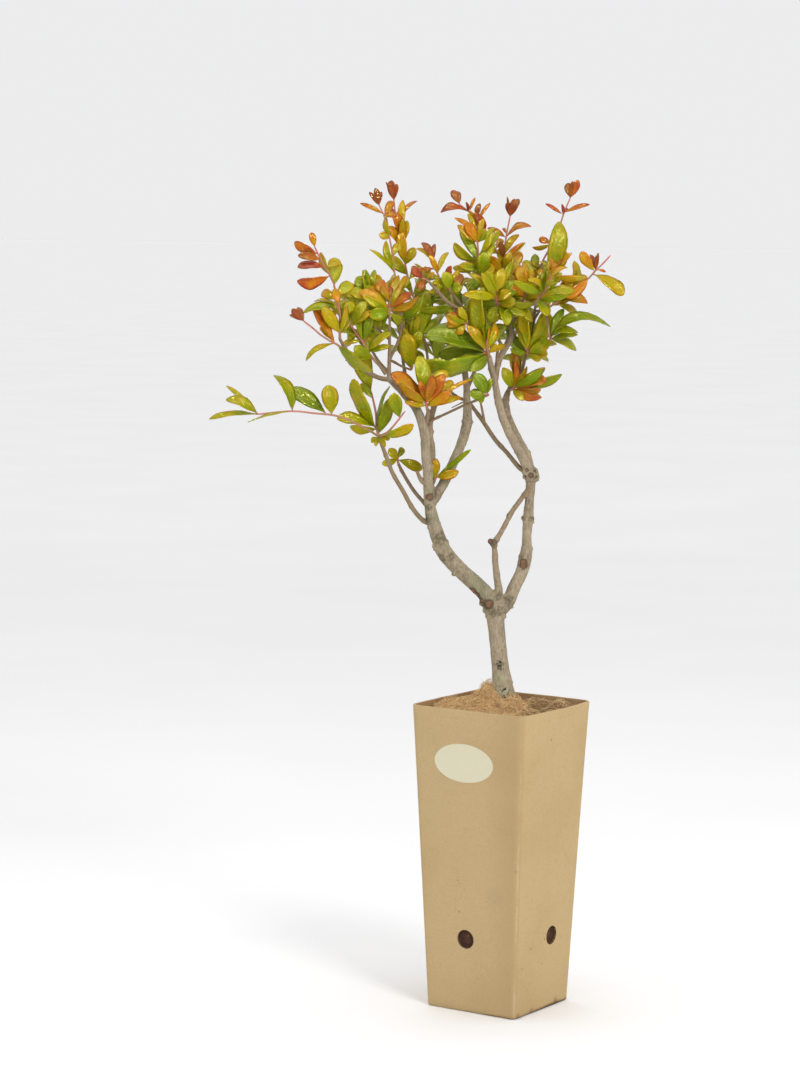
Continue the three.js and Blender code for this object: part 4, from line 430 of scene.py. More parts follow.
        (0.14, 6, -16, 691, 12, -10, 0.42), (0.1, 22, -33, 688, 11, -30, 0.4),
        (0.97, 24, -11, 736, 12, -10, 0.55),
    ]),
]

# Sprays behind and between those, by rule: route, pairs of leaves, leaf length, age, seed and bare places
RULE_SPRAYS: dict[str, tuple[list[Row], int, float, float, int, list[int]]] = {
    "spray_fill_left_a": (
        [(-131, 2, 680), (-135, 10, 687), (-140, 15, 696), (-145, 20, 708)], 5, 34, 0.4, 1, [],
    ),
    "spray_fill_left_b": (
        [(-94, 23, 692), (-92, 30, 701), (-89, 33, 712), (-84, 36, 724)], 4, 32, 0.42, 1, [],
    ),
    "spray_fill_right_a": (
        [(-16, 33, 680), (-19, 40, 691), (-20, 45, 703), (-19, 48, 717)], 5, 34, 0.36, 1, [],
    ),
    "spray_fill_right_b": (
        [(29, -35, 706), (34, -43, 712), (39, -50, 721), (42, -54, 732)], 4, 32, 0.48, 1, [],
    ),
    "spray_fill_right_c": (
        [(-47, 3, 687), (-50, 2, 696), (-51, 2, 707), (-49, 0, 719)], 4, 30, 0.45, 1, [],
    ),
    "spray_back_left_a": (
        [(-105, 46, 652), (-107, 56, 665), (-110, 63, 681), (-115, 69, 700)], 6, 38, 0.42, 3, [],
    ),
    "spray_back_left_b": (
        [(-135, 45, 653), (-139, 54, 665), (-145, 63, 679), (-151, 69, 697)], 6, 36, 0.42, 1, [3],
    ),
    "spray_back_left_c": (
        [(-70, 33, 637), (-72, 43, 649), (-77, 50, 664), (-83, 56, 682)], 5, 38, 0.4, 11, [],
    ),
    "spray_back_mid_a": (
        [(-31, 48, 695), (-30, 53, 707), (-31, 56, 720), (-34, 58, 734)], 5, 34, 0.42, 1, [1],
    ),
    "spray_back_mid_b": (
        [(-55, 59, 666), (-58, 69, 678), (-61, 76, 690), (-65, 81, 705)], 5, 36, 0.42, 1, [2],
    ),
    "spray_back_mid_c": (
        [(-24, 69, 652), (-22, 82, 664), (-20, 92, 678), (-19, 99, 695)], 6, 36, 0.38, 1, [],
    ),
    "spray_back_right_a": ([(5, 66, 686), (7, 78, 699), (8, 86, 712), (7, 92, 728)], 6, 36, 0.42, 7, []),
    "spray_back_right_b": (
        [(27, 69, 692), (31, 81, 702), (36, 91, 713), (42, 97, 725)], 5, 34, 0.45, 12, [],
    ),
    "spray_back_right_c": (
        [(17, 63, 692), (20, 66, 703), (22, 68, 713), (23, 69, 725)], 4, 30, 0.48, 20, [0, 2],
    ),
    "spray_back_right_low": (
        [(10, 79, 636), (14, 89, 647), (18, 96, 658), (24, 101, 671)], 5, 34, 0.36, 4, [],
    ),
}


class LeafHue(Enum):
    """The general colour of a spray, by the slot of the record that it belongs to."""

    GREEN = "leaf_green"
    YELLOW_GREEN = "leaf_yellow_green"
    ORANGE = "leaf_orange"
    RED = "leaf_red"


# Sprays that differ from the yellow-green of most of the crown
SPRAY_HUES: dict[LeafHue, list[str]] = {
    LeafHue.GREEN: [
        "spray_right_front", "spray_thin_twig", "spray_low_left", "spray_low_middle", "spray_shoot",
        "spray_arched", "spray_fill_right_a", "spray_back_mid_c", "spray_back_right_low",
    ],
    LeafHue.ORANGE: [
        "spray_orange_left", "spray_orange_right", "tip_left_edge", "tip_eighth", "spray_crotch",
        "spray_upright", "tip_fifth", "spray_third",
    ],
    LeafHue.RED: ["tip_left_bud", "tip_second", "tip_first", "spray_dark", "tip_seventh", "tip_third"],
}

# How many more leaves stand by a rule behind the listed ones of a spray, as a share of their number
FULLER: dict[float, list[str]] = {
    0.3: ["orange_left", "third", "orange_right"],
    0.4: ["fill_left_a", "fill_left_b", "fill_right_a", "fill_right_b", "fill_right_c"],
    0.5: ["second", "first", "arched", "fifth", "left_edge"],
    0.6: ["sixth"],
    0.8: ["upright", "left_front", "right_front", "big_leaf", "eighth", "shoot"],
    0.9: ["left_mass", "seventh"],
    1.0: ["left_inner"],
    1.1: ["fourth"],
    1.5: ["mass_left", "mass_right"],
}

# Limbs thick enough to be fused with the trunk; the other wood grows out of them
THICK_LIMBS = ["trunk", "left_low", "left_back", "left_inner", "middle", "right_low", "right_front",
               "right_back"]

# Lumps that widen the fork and stand at old joints of the limbs: x, y, z and radius
LUMPS: list[Row] = [
    (-13, 0, 400, 8.3), (-1.5, 1, 401, 7.8), (-17, -2, 407, 7.6), (3, 4, 408, 7), (-8, 0, 396, 9.2),
    (-67, -17, 460, 3.2), (-49, -12, 435, 3), (-40, -9, 443, 2.4), (27, 12, 459, 3), (17, 10, 451, 3),
    (19, 13, 489, 2.6), (28, 13, 489, 2.6), (-13, -4, 467, 3.2), (-9, -6, 464, 3.6), (4, 6, 492, 2.4),
    (-30, -5, 420, 2.2), (20, 6, 536, 4), (31, 8, 529, 4), (-75, -26, 505, 2.4),
]

# Old scars on the bark as x, y, z, reach and depth, then dark stains, lichen and black grit without a depth
BARK_MARKS: dict[str, list[Row]] = {
    "scar": [
        (-14, -9, 405, 5.4, 1), (-23, -8, 408, 4.4, 0.5), (-27, -9, 413, 4.8, 0.4), (-30, -9, 418, 4.6, 0.4),
        (20, 4, 442, 3.8, 0.7), (19.5, 4, 446, 3.8, 0.5), (-73, -31, 513, 4.4, 0.5), (-73, -30, 531, 2, 0.3),
        (26, 2, 532, 3.4, 0.9), (22, 3, 538, 2.2, 0.6), (30, 4, 537, 2, 0.5), (20, 5, 531, 2, 0.4),
        (25, 2, 538, 1.6, 0.5), (31, 5, 531, 1.8, 0.4), (-9, -16, 605, 2, 0.3), (2, -9, 578, 2, 0.3),
        (-13, -7, 467, 3.2, 0.8),
    ],
    "stain": [
        (-3, -7, 413, 9), (-2, -9, 398, 8), (-10, -9, 396, 8), (-64, -20, 472, 12), (-52, -18, 453, 6),
        (-11, -6, 466, 8), (18, 10, 489, 5), (28, 10, 489, 5), (-74, -22, 490, 10), (26, 10, 534, 11),
        (6, -2, 408, 9), (-62, -18, 451, 9), (-20, -9, 400, 8), (-74, -28, 503, 6), (-2, -9, 344, 6),
        (16, 4, 451, 5), (-16, -9, 404, 9), (-28, -8, 414, 8), (20, 4, 444, 8),
    ],
    "moss": [(-5, -12, 312, 11), (2, -12, 318, 9), (-9, -9, 320, 9), (-2, -8, 330, 7)],
    "grit": [
        (-2, -9, 344, 6), (4, -12, 319, 6), (3, -12, 314, 5), (-2, -12, 309, 6), (-8, -10, 315, 3),
        (-3, -8, 411, 5), (3, -6, 411, 5), (-10, -8, 466, 4),
    ],
}

# A blade's stations: place from root to tip, then its share of the full width on a broad and a slender leaf
BLADE_STATIONS: list[Row] = [
    (0, 0.05, 0.07), (0.04, 0.07, 0.09), (0.1, 0.2, 0.3), (0.2, 0.44, 0.62), (0.34, 0.72, 0.9),
    (0.48, 0.9, 1), (0.62, 1, 0.97), (0.74, 0.98, 0.88), (0.85, 0.86, 0.7), (0.94, 0.6, 0.42),
    (1, 0.2, 0.12),
]

# Dark marks on the board's corner and foot: place, reach and strength
CORNER_MARKS: list[tuple[Row, float, float]] = [
    ((62, -62, 301), 2.2, 0.55), ((60, -60, 262), 1.4, 0.3), ((55, -58, 150), 2.6, 0.18),
    ((30, -57, 120), 16, 0.05), ((53, -20, 2), 7, 0.4), ((53, 26, 2), 8, 0.45), ((52, -45, 3), 5, 0.35),
]


def paint(red: int, green: int, blue: int) -> Row:
    """A colour in steps of 0 to 255, as the linear values that a shader takes."""
    parts = [value / 255 for value in (red, green, blue)]
    return (*(p / 12.92 if p <= 0.04045 else ((p + 0.055) / 1.055) ** 2.4 for p in parts), 1.0)


# Colour of a leaf by its age: old leaves deep green, then yellow-green, orange and red at the young tips
AGE_PAINTS: list[tuple[float, Row]] = [
    (0.0, paint(74, 116, 2)), (0.3, paint(118, 140, 2)), (0.45, paint(158, 154, 2)),
    (0.6, paint(186, 150, 4)), (0.75, paint(198, 114, 12)), (0.9, paint(174, 60, 32)),
    (1.0, paint(142, 42, 42)),
]


@dataclass(frozen=True)
class Value:
    """What a node's output holds. Its sums add the nodes that they need."""

    nodes: "Nodes"
    socket: bpy.types.NodeSocket

    def __add__(self, other: object) -> "Value":
        """This and the other."""
        return self.nodes.math("ADD", self, other)

    def __sub__(self, other: object) -> "Value":
        """This less the other."""
        return self.nodes.math("SUBTRACT", self, other)

    def __rsub__(self, other: object) -> "Value":
        """The other less this."""
        return self.nodes.math("SUBTRACT", other, self)

    def __mul__(self, other: object) -> "Value":
        """This times the other."""
        return self.nodes.math("MULTIPLY", self, other)

    def __pow__(self, power: float) -> "Value":
        """This to a power."""
        return self.nodes.math("POWER", self, power)

    def __abs__(self) -> "Value":
        """This without its sign."""
        return self.nodes.math("ABSOLUTE", self)


class Nodes:
    """A node tree with short calls that add nodes and feed their sockets."""

    def __init__(self, tree: bpy.types.NodeTree) -> None:
        """Starts on a tree."""
        self.tree = tree

    def feed(self, socket: bpy.types.NodeSocket, value: object) -> None:
        """Gives a socket what it reads.

        Args:
            socket: The input.
            value: Another node's output, which is linked, or a plain value, which is set.
        """
        if isinstance(value, Value):
            self.tree.links.new(value.socket, socket)
        else:
            socket.default_value = value

    def add(self, kind: str, inputs: dict | None = None, **settings: object) -> bpy.types.Node:
        """Adds a node.

        Args:
            kind: The node's type name.
            inputs: What each input socket, by name or place, is fed with.
            settings: The node's own options.

        Returns:
            The node.
        """
        node = self.tree.nodes.new(kind)
        for name, value in settings.items():
            setattr(node, name, value)
        for name, value in (inputs or {}).items():
            self.feed(node.inputs[name], value)
        return node

    def put(self, kind: str, inputs: dict | None = None, output: int | str = 0, **settings: object) -> Value:
        """Adds a node as add does, and gives what one of its outputs holds."""
        return Value(self, self.add(kind, inputs, **settings).outputs[output])

    def outputs(self, node: bpy.types.Node, *names: int | str) -> list[Value]:
        """What a node's outputs of those names or places hold."""
        return [Value(self, node.outputs[name]) for name in names]

    def math(self, operation: str, *values: object) -> Value:
        """One sum on numbers."""
        return self.put("ShaderNodeMath", dict(enumerate(values)), operation=operation)

    def vector(self, operation: str, *values: object) -> Value:
        """One sum on vectors.

        Args:
            operation: The sum's name.
            values: One or two vectors. A scale takes its number second.

        Returns:
            A number where the sum measures, and otherwise a vector.
        """
        inputs = dict(zip((0, "Scale" if operation == "SCALE" else 1), values))
        output = "Value" if operation in ("LENGTH", "DISTANCE", "DOT_PRODUCT") else "Vector"
        return self.put("ShaderNodeVectorMath", inputs, output, operation=operation)

    def blend(self, share: object, first: object, second: object) -> Value:
        """Two colours mixed by a share."""
        return self.put("ShaderNodeMix", {0: share, 6: first, 7: second}, 2, data_type="RGBA")

    def ramp(self, value: object, low: object, high: object, to_low: float = 0, to_high: float = 1) -> Value:
        """A smooth step of a value from one range to another, held at its ends."""
        inputs = {"Value": value, "From Min": low, "From Max": high, "To Min": to_low, "To Max": to_high}
        return self.put("ShaderNodeMapRange", inputs, "Result", interpolation_type="SMOOTHSTEP")

    def clouds(self, place: object, scale: object, detail: float = 3, roughness: float = 0.55) -> Value:
        """Cloudy noise between about 0.3 and 0.7."""
        inputs = {"Vector": place, "Scale": scale, "Detail": detail, "Roughness": roughness}
        return self.put("ShaderNodeTexNoise", inputs)


def shared_group(name: str, inputs: dict[str, object], outputs: dict[str, str]) -> tuple[Nodes, dict, dict]:
    """Starts a shader node group with named inputs and outputs.

    Args:
        name: The group's name.
        inputs: Each input's name with its starting value: a number, a colour or a vector.
        outputs: Each output's name with its socket type.

    Returns:
        The group's nodes, what its inputs hold by name, and its output sockets by name.
    """
    tree = bpy.data.node_groups.new(name, "ShaderNodeTree")
    for label, value in inputs.items():
        size = len(value) if isinstance(value, tuple) else 1
        kind = {1: "NodeSocketFloat", 3: "NodeSocketVector", 4: "NodeSocketColor"}[size]
        tree.interface.new_socket(name=label, in_out="INPUT", socket_type=kind).default_value = value
    for label, kind in outputs.items():
        tree.interface.new_socket(name=label, in_out="OUTPUT", socket_type=kind)
    nodes = Nodes(tree)
    given = {s.name: Value(nodes, s) for s in nodes.add("NodeGroupInput").outputs if s.name}
    return nodes, given, {s.name: s for s in nodes.add("NodeGroupOutput").inputs if s.name}


@cache
def mottle_group() -> bpy.types.NodeTree:
    """Broad stains over fine grain: the colour and the grain's height, for every finish.

    Returns:
        The group, built when it is first asked for.
    """
    plain = (0.5, 0.5, 0.5, 1.0)
    inputs = {"Place": (0.0, 0.0, 0.0), "Base": plain, "Dark": plain, "Pale": plain, "Stain scale": 20.0,
              "Grain scale": 400.0, "Stain share": 0.5, "Grain share": 0.5}
    outputs = {"Color": "NodeSocketColor", "Height": "NodeSocketFloat"}
    nodes, given, out = shared_group("mottle", inputs, outputs)
    stain = nodes.ramp(nodes.clouds(given["Place"], given["Stain scale"], 4), 0.42, 0.66)
    grain = nodes.clouds(given["Place"], given["Grain scale"], 5, 0.65)
    stained = nodes.blend(stain * given["Stain share"], given["Base"], given["Dark"])
    lit = nodes.ramp(grain, 0.4, 0.68) * given["Grain share"]
    nodes.feed(out["Color"], nodes.blend(lit, stained, given["Pale"]))
    nodes.feed(out["Height"], grain)
    return nodes.tree


@cache
def specks_group() -> bpy.types.NodeTree:
    """Scattered small specks of uneven size, as a mask.

    Returns:
        The group, built when it is first asked for.
    """
    inputs = {"Place": (0.0, 0.0, 0.0), "Scale": 200.0, "Reach": 0.25, "Share": 0.5}
    nodes, given, out = shared_group("specks", inputs, {"Mask": "NodeSocketFloat"})
    cells = nodes.add("ShaderNodeTexVoronoi", {"Vector": given["Place"], "Scale": given["Scale"]})
    tint, distance = nodes.outputs(cells, "Color", "Distance")
    chance, uneven = nodes.outputs(nodes.add("ShaderNodeSeparateColor", {0: tint}), 0, 1)
    reach = given["Reach"] * (uneven + 0.3)
    near = nodes.ramp(distance, reach * 0.6, reach, 1, 0)
    nodes.feed(out["Mask"], near * nodes.math("LESS_THAN", chance, given["Share"]))
    return nodes.tree


class Shader(Nodes):
    """A material's nodes: its surface, the place in object coordinates, and the colour laid on so far."""

    def __init__(self, name: str, roughness: float, specular: float, **constants: object) -> None:
        """Starts a material.

        Args:
            name: The material's name.
            roughness: Its roughness, where that is the same all over.
            specular: Its specular level.
            constants: More values that are the same all over, with _ for each space.
        """
        self.material = bpy.data.materials.new(name)
        self.material.use_nodes = True
        super().__init__(self.material.node_tree)
        self.surface = self.tree.nodes["Principled BSDF"].inputs
        for label, value in (constants | {"Roughness": roughness, "Specular_IOR_Level": specular}).items():
            self.surface[label.replace("_", " ")].default_value = value
        self.place = self.put("ShaderNodeTexCoord", output="Object")
        self.colour: object = None

    def squeezed(self, squeeze: Row) -> Value:
        """The place, squeezed or drawn out along each axis."""
        return self.vector("MULTIPLY", self.place, squeeze)

    def cloudy(self, scale: float, detail: float = 3, squeeze: Row = EVEN, roughness: float = 0.55) -> Value:
        """Cloudy noise over the surface."""
        return self.clouds(self.squeezed(squeeze), scale, detail, roughness)

    def attribute(self, name: str) -> Value:
        """A number that the mesh carries at its points."""
        return self.put("ShaderNodeAttribute", output="Fac", attribute_name=name)

    def over(self, share: object, colour: object) -> None:
        """Lays another colour over the last one, as thick as its share."""
        self.colour = self.blend(share, self.colour, colour)

    def mottled(self, paints: Sequence[Row], stain: Row, grain: Row, squeeze: Row = EVEN) -> Value:
        """Lays on the first coat: a base with broad stains and fine grain.

        Args:
            paints: The colours of the base, the stains and the grain.
            stain: The stains' scale and share.
            grain: The grain's scale and share.
            squeeze: How the pattern is squeezed along each axis.

        Returns:
            The grain's height.
        """
        labels = ("Base", "Dark", "Pale", "Stain scale", "Stain share", "Grain scale", "Grain share")
        given = {"Place": self.squeezed(squeeze)} | dict(zip(labels, (*paints, *stain, *grain)))
        node = self.add("ShaderNodeGroup", given, node_tree=mottle_group())
        self.colour, height = self.outputs(node, 0, 1)
        return height

    def specks(self, scale: float, reach: float, share: float, squeeze: Row = EVEN) -> Value:
        """A mask of scattered small specks.

        Args:
            scale: How close they stand.
            reach: How large they are, as a share of their spacing.
            share: How many of the places hold one.
            squeeze: How the pattern is squeezed along each axis.

        Returns:
            The mask.
        """
        given = {"Place": self.squeezed(squeeze), "Scale": scale, "Reach": reach, "Share": share}
        return self.put("ShaderNodeGroup", given, node_tree=specks_group())

    def relief(self, height: object, depth_mm: float, strength: float = 1.0) -> None:
        """Puts a height pattern on the surface, that deep in millimetres."""
        bump = {"Height": height, "Distance": depth_mm * MM, "Strength": strength}
        self.feed(self.surface["Normal"], self.put("ShaderNodeBump", bump, "Normal"))

    def near(self, point: Row, reach: float) -> Value:
        """A mask round a place.

        Args:
            point: The place, in millimetres.
            reach: How far it goes, in millimetres.

        Returns:
            The mask, which fades out at a ragged edge.
        """
        distance = self.vector("DISTANCE", self.place, tuple(value * MM for value in point))
        wander = self.clouds(self.place, 900 / reach) * (reach * 0.9 * MM)
        return self.ramp(distance + wander, reach * 0.7 * MM, reach * 1.3 * MM, 1, 0)

    def done(self, roughness: object = None) -> Material:
        """Puts the colour on the surface.

        Args:
            roughness: The roughness, where it varies.

        Returns:
            The finished material.
        """
        self.feed(self.surface["Base Color"], self.colour)
        if roughness is not None:
            self.feed(self.surface["Roughness"], roughness)
        return self.material


@dataclass(frozen=True)
class KraftFinish:
    """Matt kraft board with fibre flecks, faint stains and dark marks, darker towards its foot."""

    base: Row = paint(184, 159, 115)
    dark: Row = paint(166, 139, 95)
    pale: Row = paint(202, 180, 138)
    # The lining's colour, darker than the outside: partly painted shade inside the pot, partly soil stain
    inside: Row = paint(154, 122, 84)
    # A dark brown for the board's foot and its dark marks
    dirt: Row = paint(74, 50, 34)
    # Pale for the worn corner folds, partly a painted highlight
    worn: Row = paint(226, 210, 174)

    def outside(self) -> Material:
        """The board's outer side.

        Returns:
            The material.
        """
        shader = Shader("kraft_board", 0.82, 0.18)
        grain = shader.mottled((self.base, self.dark, self.pale), (13, 0.3), (620, 0.22))
        shader.over(shader.specks(300, 0.3, 0.16, (1, 1, 2.6)) * 0.3, paint(140, 110, 72))
        shader.over(shader.specks(75, 0.09, 0.16) * 0.6, paint(112, 88, 58))
        x, y, z = shader.outputs(shader.add("ShaderNodeSeparateXYZ", {0: shader.place}), 0, 1, 2)
        wide = shader.cloudy(9, 2)
        # Darker towards the foot: a dark brown strip along the bottom edge, stronger to the right, and a
        # faint darkening over the lowest 50 mm
        low = shader.ramp(z + wide * 0.006, 0.003, 0.0065, 1, 0)
        shader.over(low * shader.ramp(x, -0.02, 0.03, 0.25, 1), self.dirt)
        shader.over(shader.ramp(z, 0, 0.05, 0.22, 0) * wide, self.dark)
        half = z * 0.0443 + 0.052
        # Darker on the front wall towards its right-hand corner
        front_wall = shader.ramp(half + y, 0.002, 0.006, 1, 0)
        shader.over(front_wall * shader.ramp(x, 0.012, 0.06, 0, 0.5), self.dark)
        # A pale line along the corner folds: partly wear of the board, partly a painted highlight on the
        # rounded corners
        fold = shader.ramp(half - shader.math("MINIMUM", abs(x), abs(y)), 0.0012, 0.0034, 1, 0)
        patchy = shader.ramp(shader.cloudy(60, 4, (1, 1, 0.5)), 0.42, 0.62)
        shader.over(fold * (patchy * 0.28), self.worn)
        for point, reach, share in CORNER_MARKS:
            shader.over(shader.near(point, reach) * share, self.dirt)
        weave = shader.cloudy(150, 3, (1, 1, 6)) + shader.cloudy(150, 3, (5, 5, 1))
        shader.over(shader.ramp(weave, 1.02, 1.3, 0, 0.3), self.dark)
        shader.relief(grain + weave, 0.12, 0.4)
        return shader.done(shader.ramp(grain, 0.3, 0.7, 0.9, 0.74))

    def lining(self) -> Material:
        """The inner side, painted darker for the shade inside the pot, and stained by the damp soil.

        Returns:
            The material.
        """
        shader = Shader("kraft_lining", 0.9, 0.2)
        # Darker than the outside: partly painted shade inside the pot, partly soil stains
        paints = (self.inside, paint(122, 90, 58), self.base)
        shader.relief(shader.mottled(paints, (38, 0.7), (500, 0.3)), 0.3, 0.5)
        return shader.done()

    def cut_edge(self) -> Material:
        """The cut edge round the drain holes, dark with soil.

        Returns:
            The material.
        """
        shader = Shader("kraft_edge", 0.95, 0.15)
        paints = (paint(112, 84, 54), paint(58, 40, 26), paint(160, 130, 92))
        shader.relief(shader.mottled(paints, (220, 0.8), (900, 0.4)), 0.3, 0.7)
        return shader.done()


@dataclass(frozen=True)
class LabelFinish:
    """Smooth cream paper, bare."""

    base: Row = paint(206, 200, 172)
    stain: Row = paint(208, 200, 170)
    pale: Row = paint(217, 212, 188)

    def material(self) -> Material:
        """The paper.

        Returns:
            The material.
        """
        shader = Shader("label_paper", 0.5, 0.4)
        grain = shader.mottled((self.base, self.stain, self.pale), (60, 0.35), (1500, 0.4))
        shader.relief(grain, 0.05, 0.4)
        return shader.done(shader.ramp(grain, 0.3, 0.7, 0.58, 0.42))


@dataclass(frozen=True)
class SoilFinish:
    """Dark damp soil with paler bits."""

    base: Row = paint(66, 38, 24)
    wet: Row = paint(34, 18, 12)
    dry: Row = paint(108, 68, 42)
    bits: Row = paint(132, 98, 66)

    def material(self) -> Material:
        """The soil.

        Returns:
            The material.
        """
        shader = Shader("soil", 0.92, 0.25)
        shader.relief(shader.mottled((self.base, self.wet, self.dry), (150, 0.8), (700, 0.5)), 1.2)
        shader.over(shader.specks(380, 0.35, 0.2) * 0.7, self.bits)
        return shader.done()


@dataclass(frozen=True)
class CoirFinish:
    """Coconut fibre, tan where it is heaped and dark brown towards the right and where it lies low."""

    base: Row = paint(226, 188, 128)
    pale: Row = paint(248, 217, 160)
    # The dark brown laid on towards the right and where the fibre lies low
    damp: Row = paint(118, 86, 50)
    dry_reach: float = 0.016
    damp_reach: float = 0.034

    def _dampen(self, shader: Shader, share: object) -> None:
        """Darkens a finish towards the right and where the fibre lies low.

        Args:
            shader: The finish.
            share: How much of the darkening it takes.
        """
        across = (math.cos(TREE_TURN), math.sin(TREE_TURN), -0.9)
        reach = shader.vector("DOT_PRODUCT", shader.vector("SUBTRACT", shader.place, (0, 0, 0.293)), across)
        low = shader.ramp(reach + shader.cloudy(60) * 0.012, self.dry_reach, self.damp_reach, 0, 0.75)
        shader.over(low * share, self.damp)

    def bed(self) -> Material:
        """The matted fibre under the loose strands.

        Returns:
            The material.
        """
        shader = Shader("coir_bed", 0.95, 0.15)
        paints = (paint(194, 152, 102), paint(156, 114, 72), self.base)
        shader.relief(shader.mottled(paints, (110, 0.7), (800, 0.7), (1, 1, 0.4)), 1.2)
        self._dampen(shader, 1.0)
        return shader.done()

    def strand(self) -> Material:
        """A loose strand, each of its own shade.

        Returns:
            The material.
        """
        shader = Shader("coir_strand", 0.6, 0.35)
        shade = shader.attribute("shade")
        shader.colour = paint(210, 168, 106)
        shader.over(shade, self.pale)
        shader.over(shader.ramp(shade, 0.1, 0.24, 0.75, 0), paint(112, 78, 48))
        shader.relief(shader.cloudy(2500, 2), 0.05, 0.5)
        self._dampen(shader, shader.ramp(shade, 0.35, 0.75, 1, 0.15))
        return shader.done()


@dataclass(frozen=True)
class BarkFinish:
    """Grey-beige bark, greener and lichened at the foot, browner on thin twigs, with scars."""

    base: Row = paint(151, 135, 110)
    dark: Row = paint(112, 96, 73)
    pale: Row = paint(186, 175, 154)
    twig: Row = paint(130, 102, 72)
    green: Row = paint(122, 124, 92)
    spot: Row = paint(104, 84, 62)
    stain: Row = paint(86, 80, 54)
    crust: Row = paint(164, 163, 128)
    grit: Row = paint(40, 40, 32)
    scar: Row = paint(132, 78, 50)
    rim: Row = paint(70, 54, 40)

    def material(self) -> Material:
        """The bark. It reads thickness, scar, stain, moss and grit from the wood's points.

        Returns:
            The material.
        """
        shader = Shader("bark", 0.78, 0.18)
        grain = shader.mottled((self.base, self.dark, self.pale), (75, 0.65), (620, 0.5), (1, 1, 0.3))
        leftward = shader.vector("DOT_PRODUCT", shader.place, (-math.cos(TREE_TURN), -math.sin(TREE_TURN), 0))
        tint = shader.ramp(shader.cloudy(38), 0.46, 0.66, 0, 0.55)
        shader.over(tint * shader.ramp(leftward, 0.006, 0.022), self.green)
        shader.over(shader.ramp(shader.attribute("thickness"), 0.0012, 0.0046, 0.75, 0), self.twig)
        spots = shader.specks(330, 0.32, 0.3)
        shader.over(spots * 0.6, self.spot)
        frayed = shader.cloudy(340, 4, roughness=0.7) - 0.5
        stain = shader.attribute("stain")
        shader.over(shader.ramp(stain + frayed * 2.6, 0.4, 1.3, 0, 0.85) * stain, self.stain)
        shader.over(shader.attribute("moss") * shader.ramp(frayed, -0.1, 0.06), self.crust)
        shader.over(shader.attribute("grit") * shader.specks(400, 0.7, 0.75), self.grit)
        hurt = shader.attribute("scar") + frayed * 0.9
        shader.over(shader.ramp(hurt, 0.1, 0.55, 0, 0.8), self.rim)
        raw = shader.blend(shader.ramp(frayed, -0.12, 0.14), self.scar, self.twig)
        shader.over(shader.ramp(hurt, 0.72, 1, 0, 0.9), raw)
        ridges = shader.cloudy(1, 5, (900, 900, 160), 0.65)
        shader.relief(ridges + grain * 0.6 + spots * 0.35, 0.55, 0.75)
        return shader.done(shader.ramp(grain, 0.3, 0.7, 0.86, 0.66))


@dataclass(frozen=True)
class LeafFinish:
    """Glossy blades with a pale midrib and fine side veins, blushed towards tip and edge."""

    hue: LeafHue
    gloss: float = 0.17
    veins: float = 11.0
    sheen: Row = (1.0, 0.95, 0.3, 1.0)
    shaded: Row = paint(112, 104, 6)
    back: Row = paint(160, 170, 60)
    stalk: Row = paint(190, 104, 84)

    def material(self) -> Material:
        """The blades. It reads blade_u, blade_v, blade_side, age and tone from their points.

        Returns:
            The material.
        """
        shader = Shader(self.hue.value, self.gloss, 0.4, Specular_Tint=self.sheen, Subsurface_Weight=0.1,
                        Subsurface_Scale=0.001)
        along, across = shader.attribute("blade_u"), abs(shader.attribute("blade_v"))
        patch = shader.cloudy(85) - 0.5
        aged = shader.attribute("age") + patch * 0.5 + (along - 0.5) * 0.14 + across**3.0 * 0.1
        ageing = shader.add("ShaderNodeValToRGB", {0: aged})
        steps = ageing.color_ramp.elements
        while len(steps) < len(AGE_PAINTS):
            steps.new(0.5)
        for step, (age, colour) in zip(steps, AGE_PAINTS):
            step.position = age
            step.color = colour
        shader.colour = shader.outputs(ageing, 0)[0]
        shader.over(shader.ramp(shader.attribute("tone"), 0, 1, 0, 0.35), self.shaded)
        run = along * self.veins - across * 2.4
        saw = abs(shader.math("FRACT", run) - 0.5)
        side_vein = shader.ramp(saw, 0, 0.14, 1, 0) * shader.ramp(across, 0.95, 0.6)
        midrib = shader.ramp(across, 0.02, 0.1, 1, 0)
        rib = shader.blend(shader.ramp(aged, 0.4, 0.9), paint(176, 176, 40), paint(206, 110, 60))
        shader.over(side_vein * 0.05, rib)
        shader.over(midrib * 0.22, rib)
        back = shader.ramp(shader.attribute("blade_side"), -0.5, 0.2, 0.3, 0)
        shader.over(back, self.back)
        shader.over(shader.ramp(along, 0.05, 0.14, 0.7, 0), self.stalk)
        sunk = shader.math("MAXIMUM", midrib, side_vein) * -0.45
        shader.relief(shader.cloudy(260, 2) * 2.6 + sunk, 0.42, 0.85)
        return shader.done(shader.ramp(back, 0, 0.3, self.gloss, self.gloss + 0.16))


@dataclass(frozen=True)
class StemFinish:
    """The season's shoots: brownish at the foot, pink to red at the tip."""

    foot: Row = paint(150, 116, 82)
    tip: Row = paint(192, 88, 84)
    streak: Row = paint(148, 132, 70)

    def material(self) -> Material:
        """The shoots. It reads youth from their points.

        Returns:
            The material.
        """
        shader = Shader("young_stem", 0.45, 0.45)
        shader.colour = self.foot
        shader.over(shader.attribute("youth"), self.tip)
        shader.over(shader.ramp(shader.cloudy(240, 3, (1, 1, 0.4)), 0.45, 0.65) * 0.45, self.streak)
        shader.relief(shader.cloudy(900), 0.12, 0.5)
        return shader.done()


@dataclass(frozen=True)
class BudFinish:
    """Small brown bud scales."""

    base: Row = paint(120, 82, 56)
    dark: Row = paint(72, 48, 34)
    pale: Row = paint(160, 124, 86)

    def material(self) -> Material:
        """The buds.

        Returns:
            The material.
        """
        shader = Shader("bud_scale", 0.6, 0.3)
        shader.relief(shader.mottled((self.base, self.dark, self.pale), (300, 0.7), (1500, 0.5)), 0.2, 0.6)
        return shader.done()


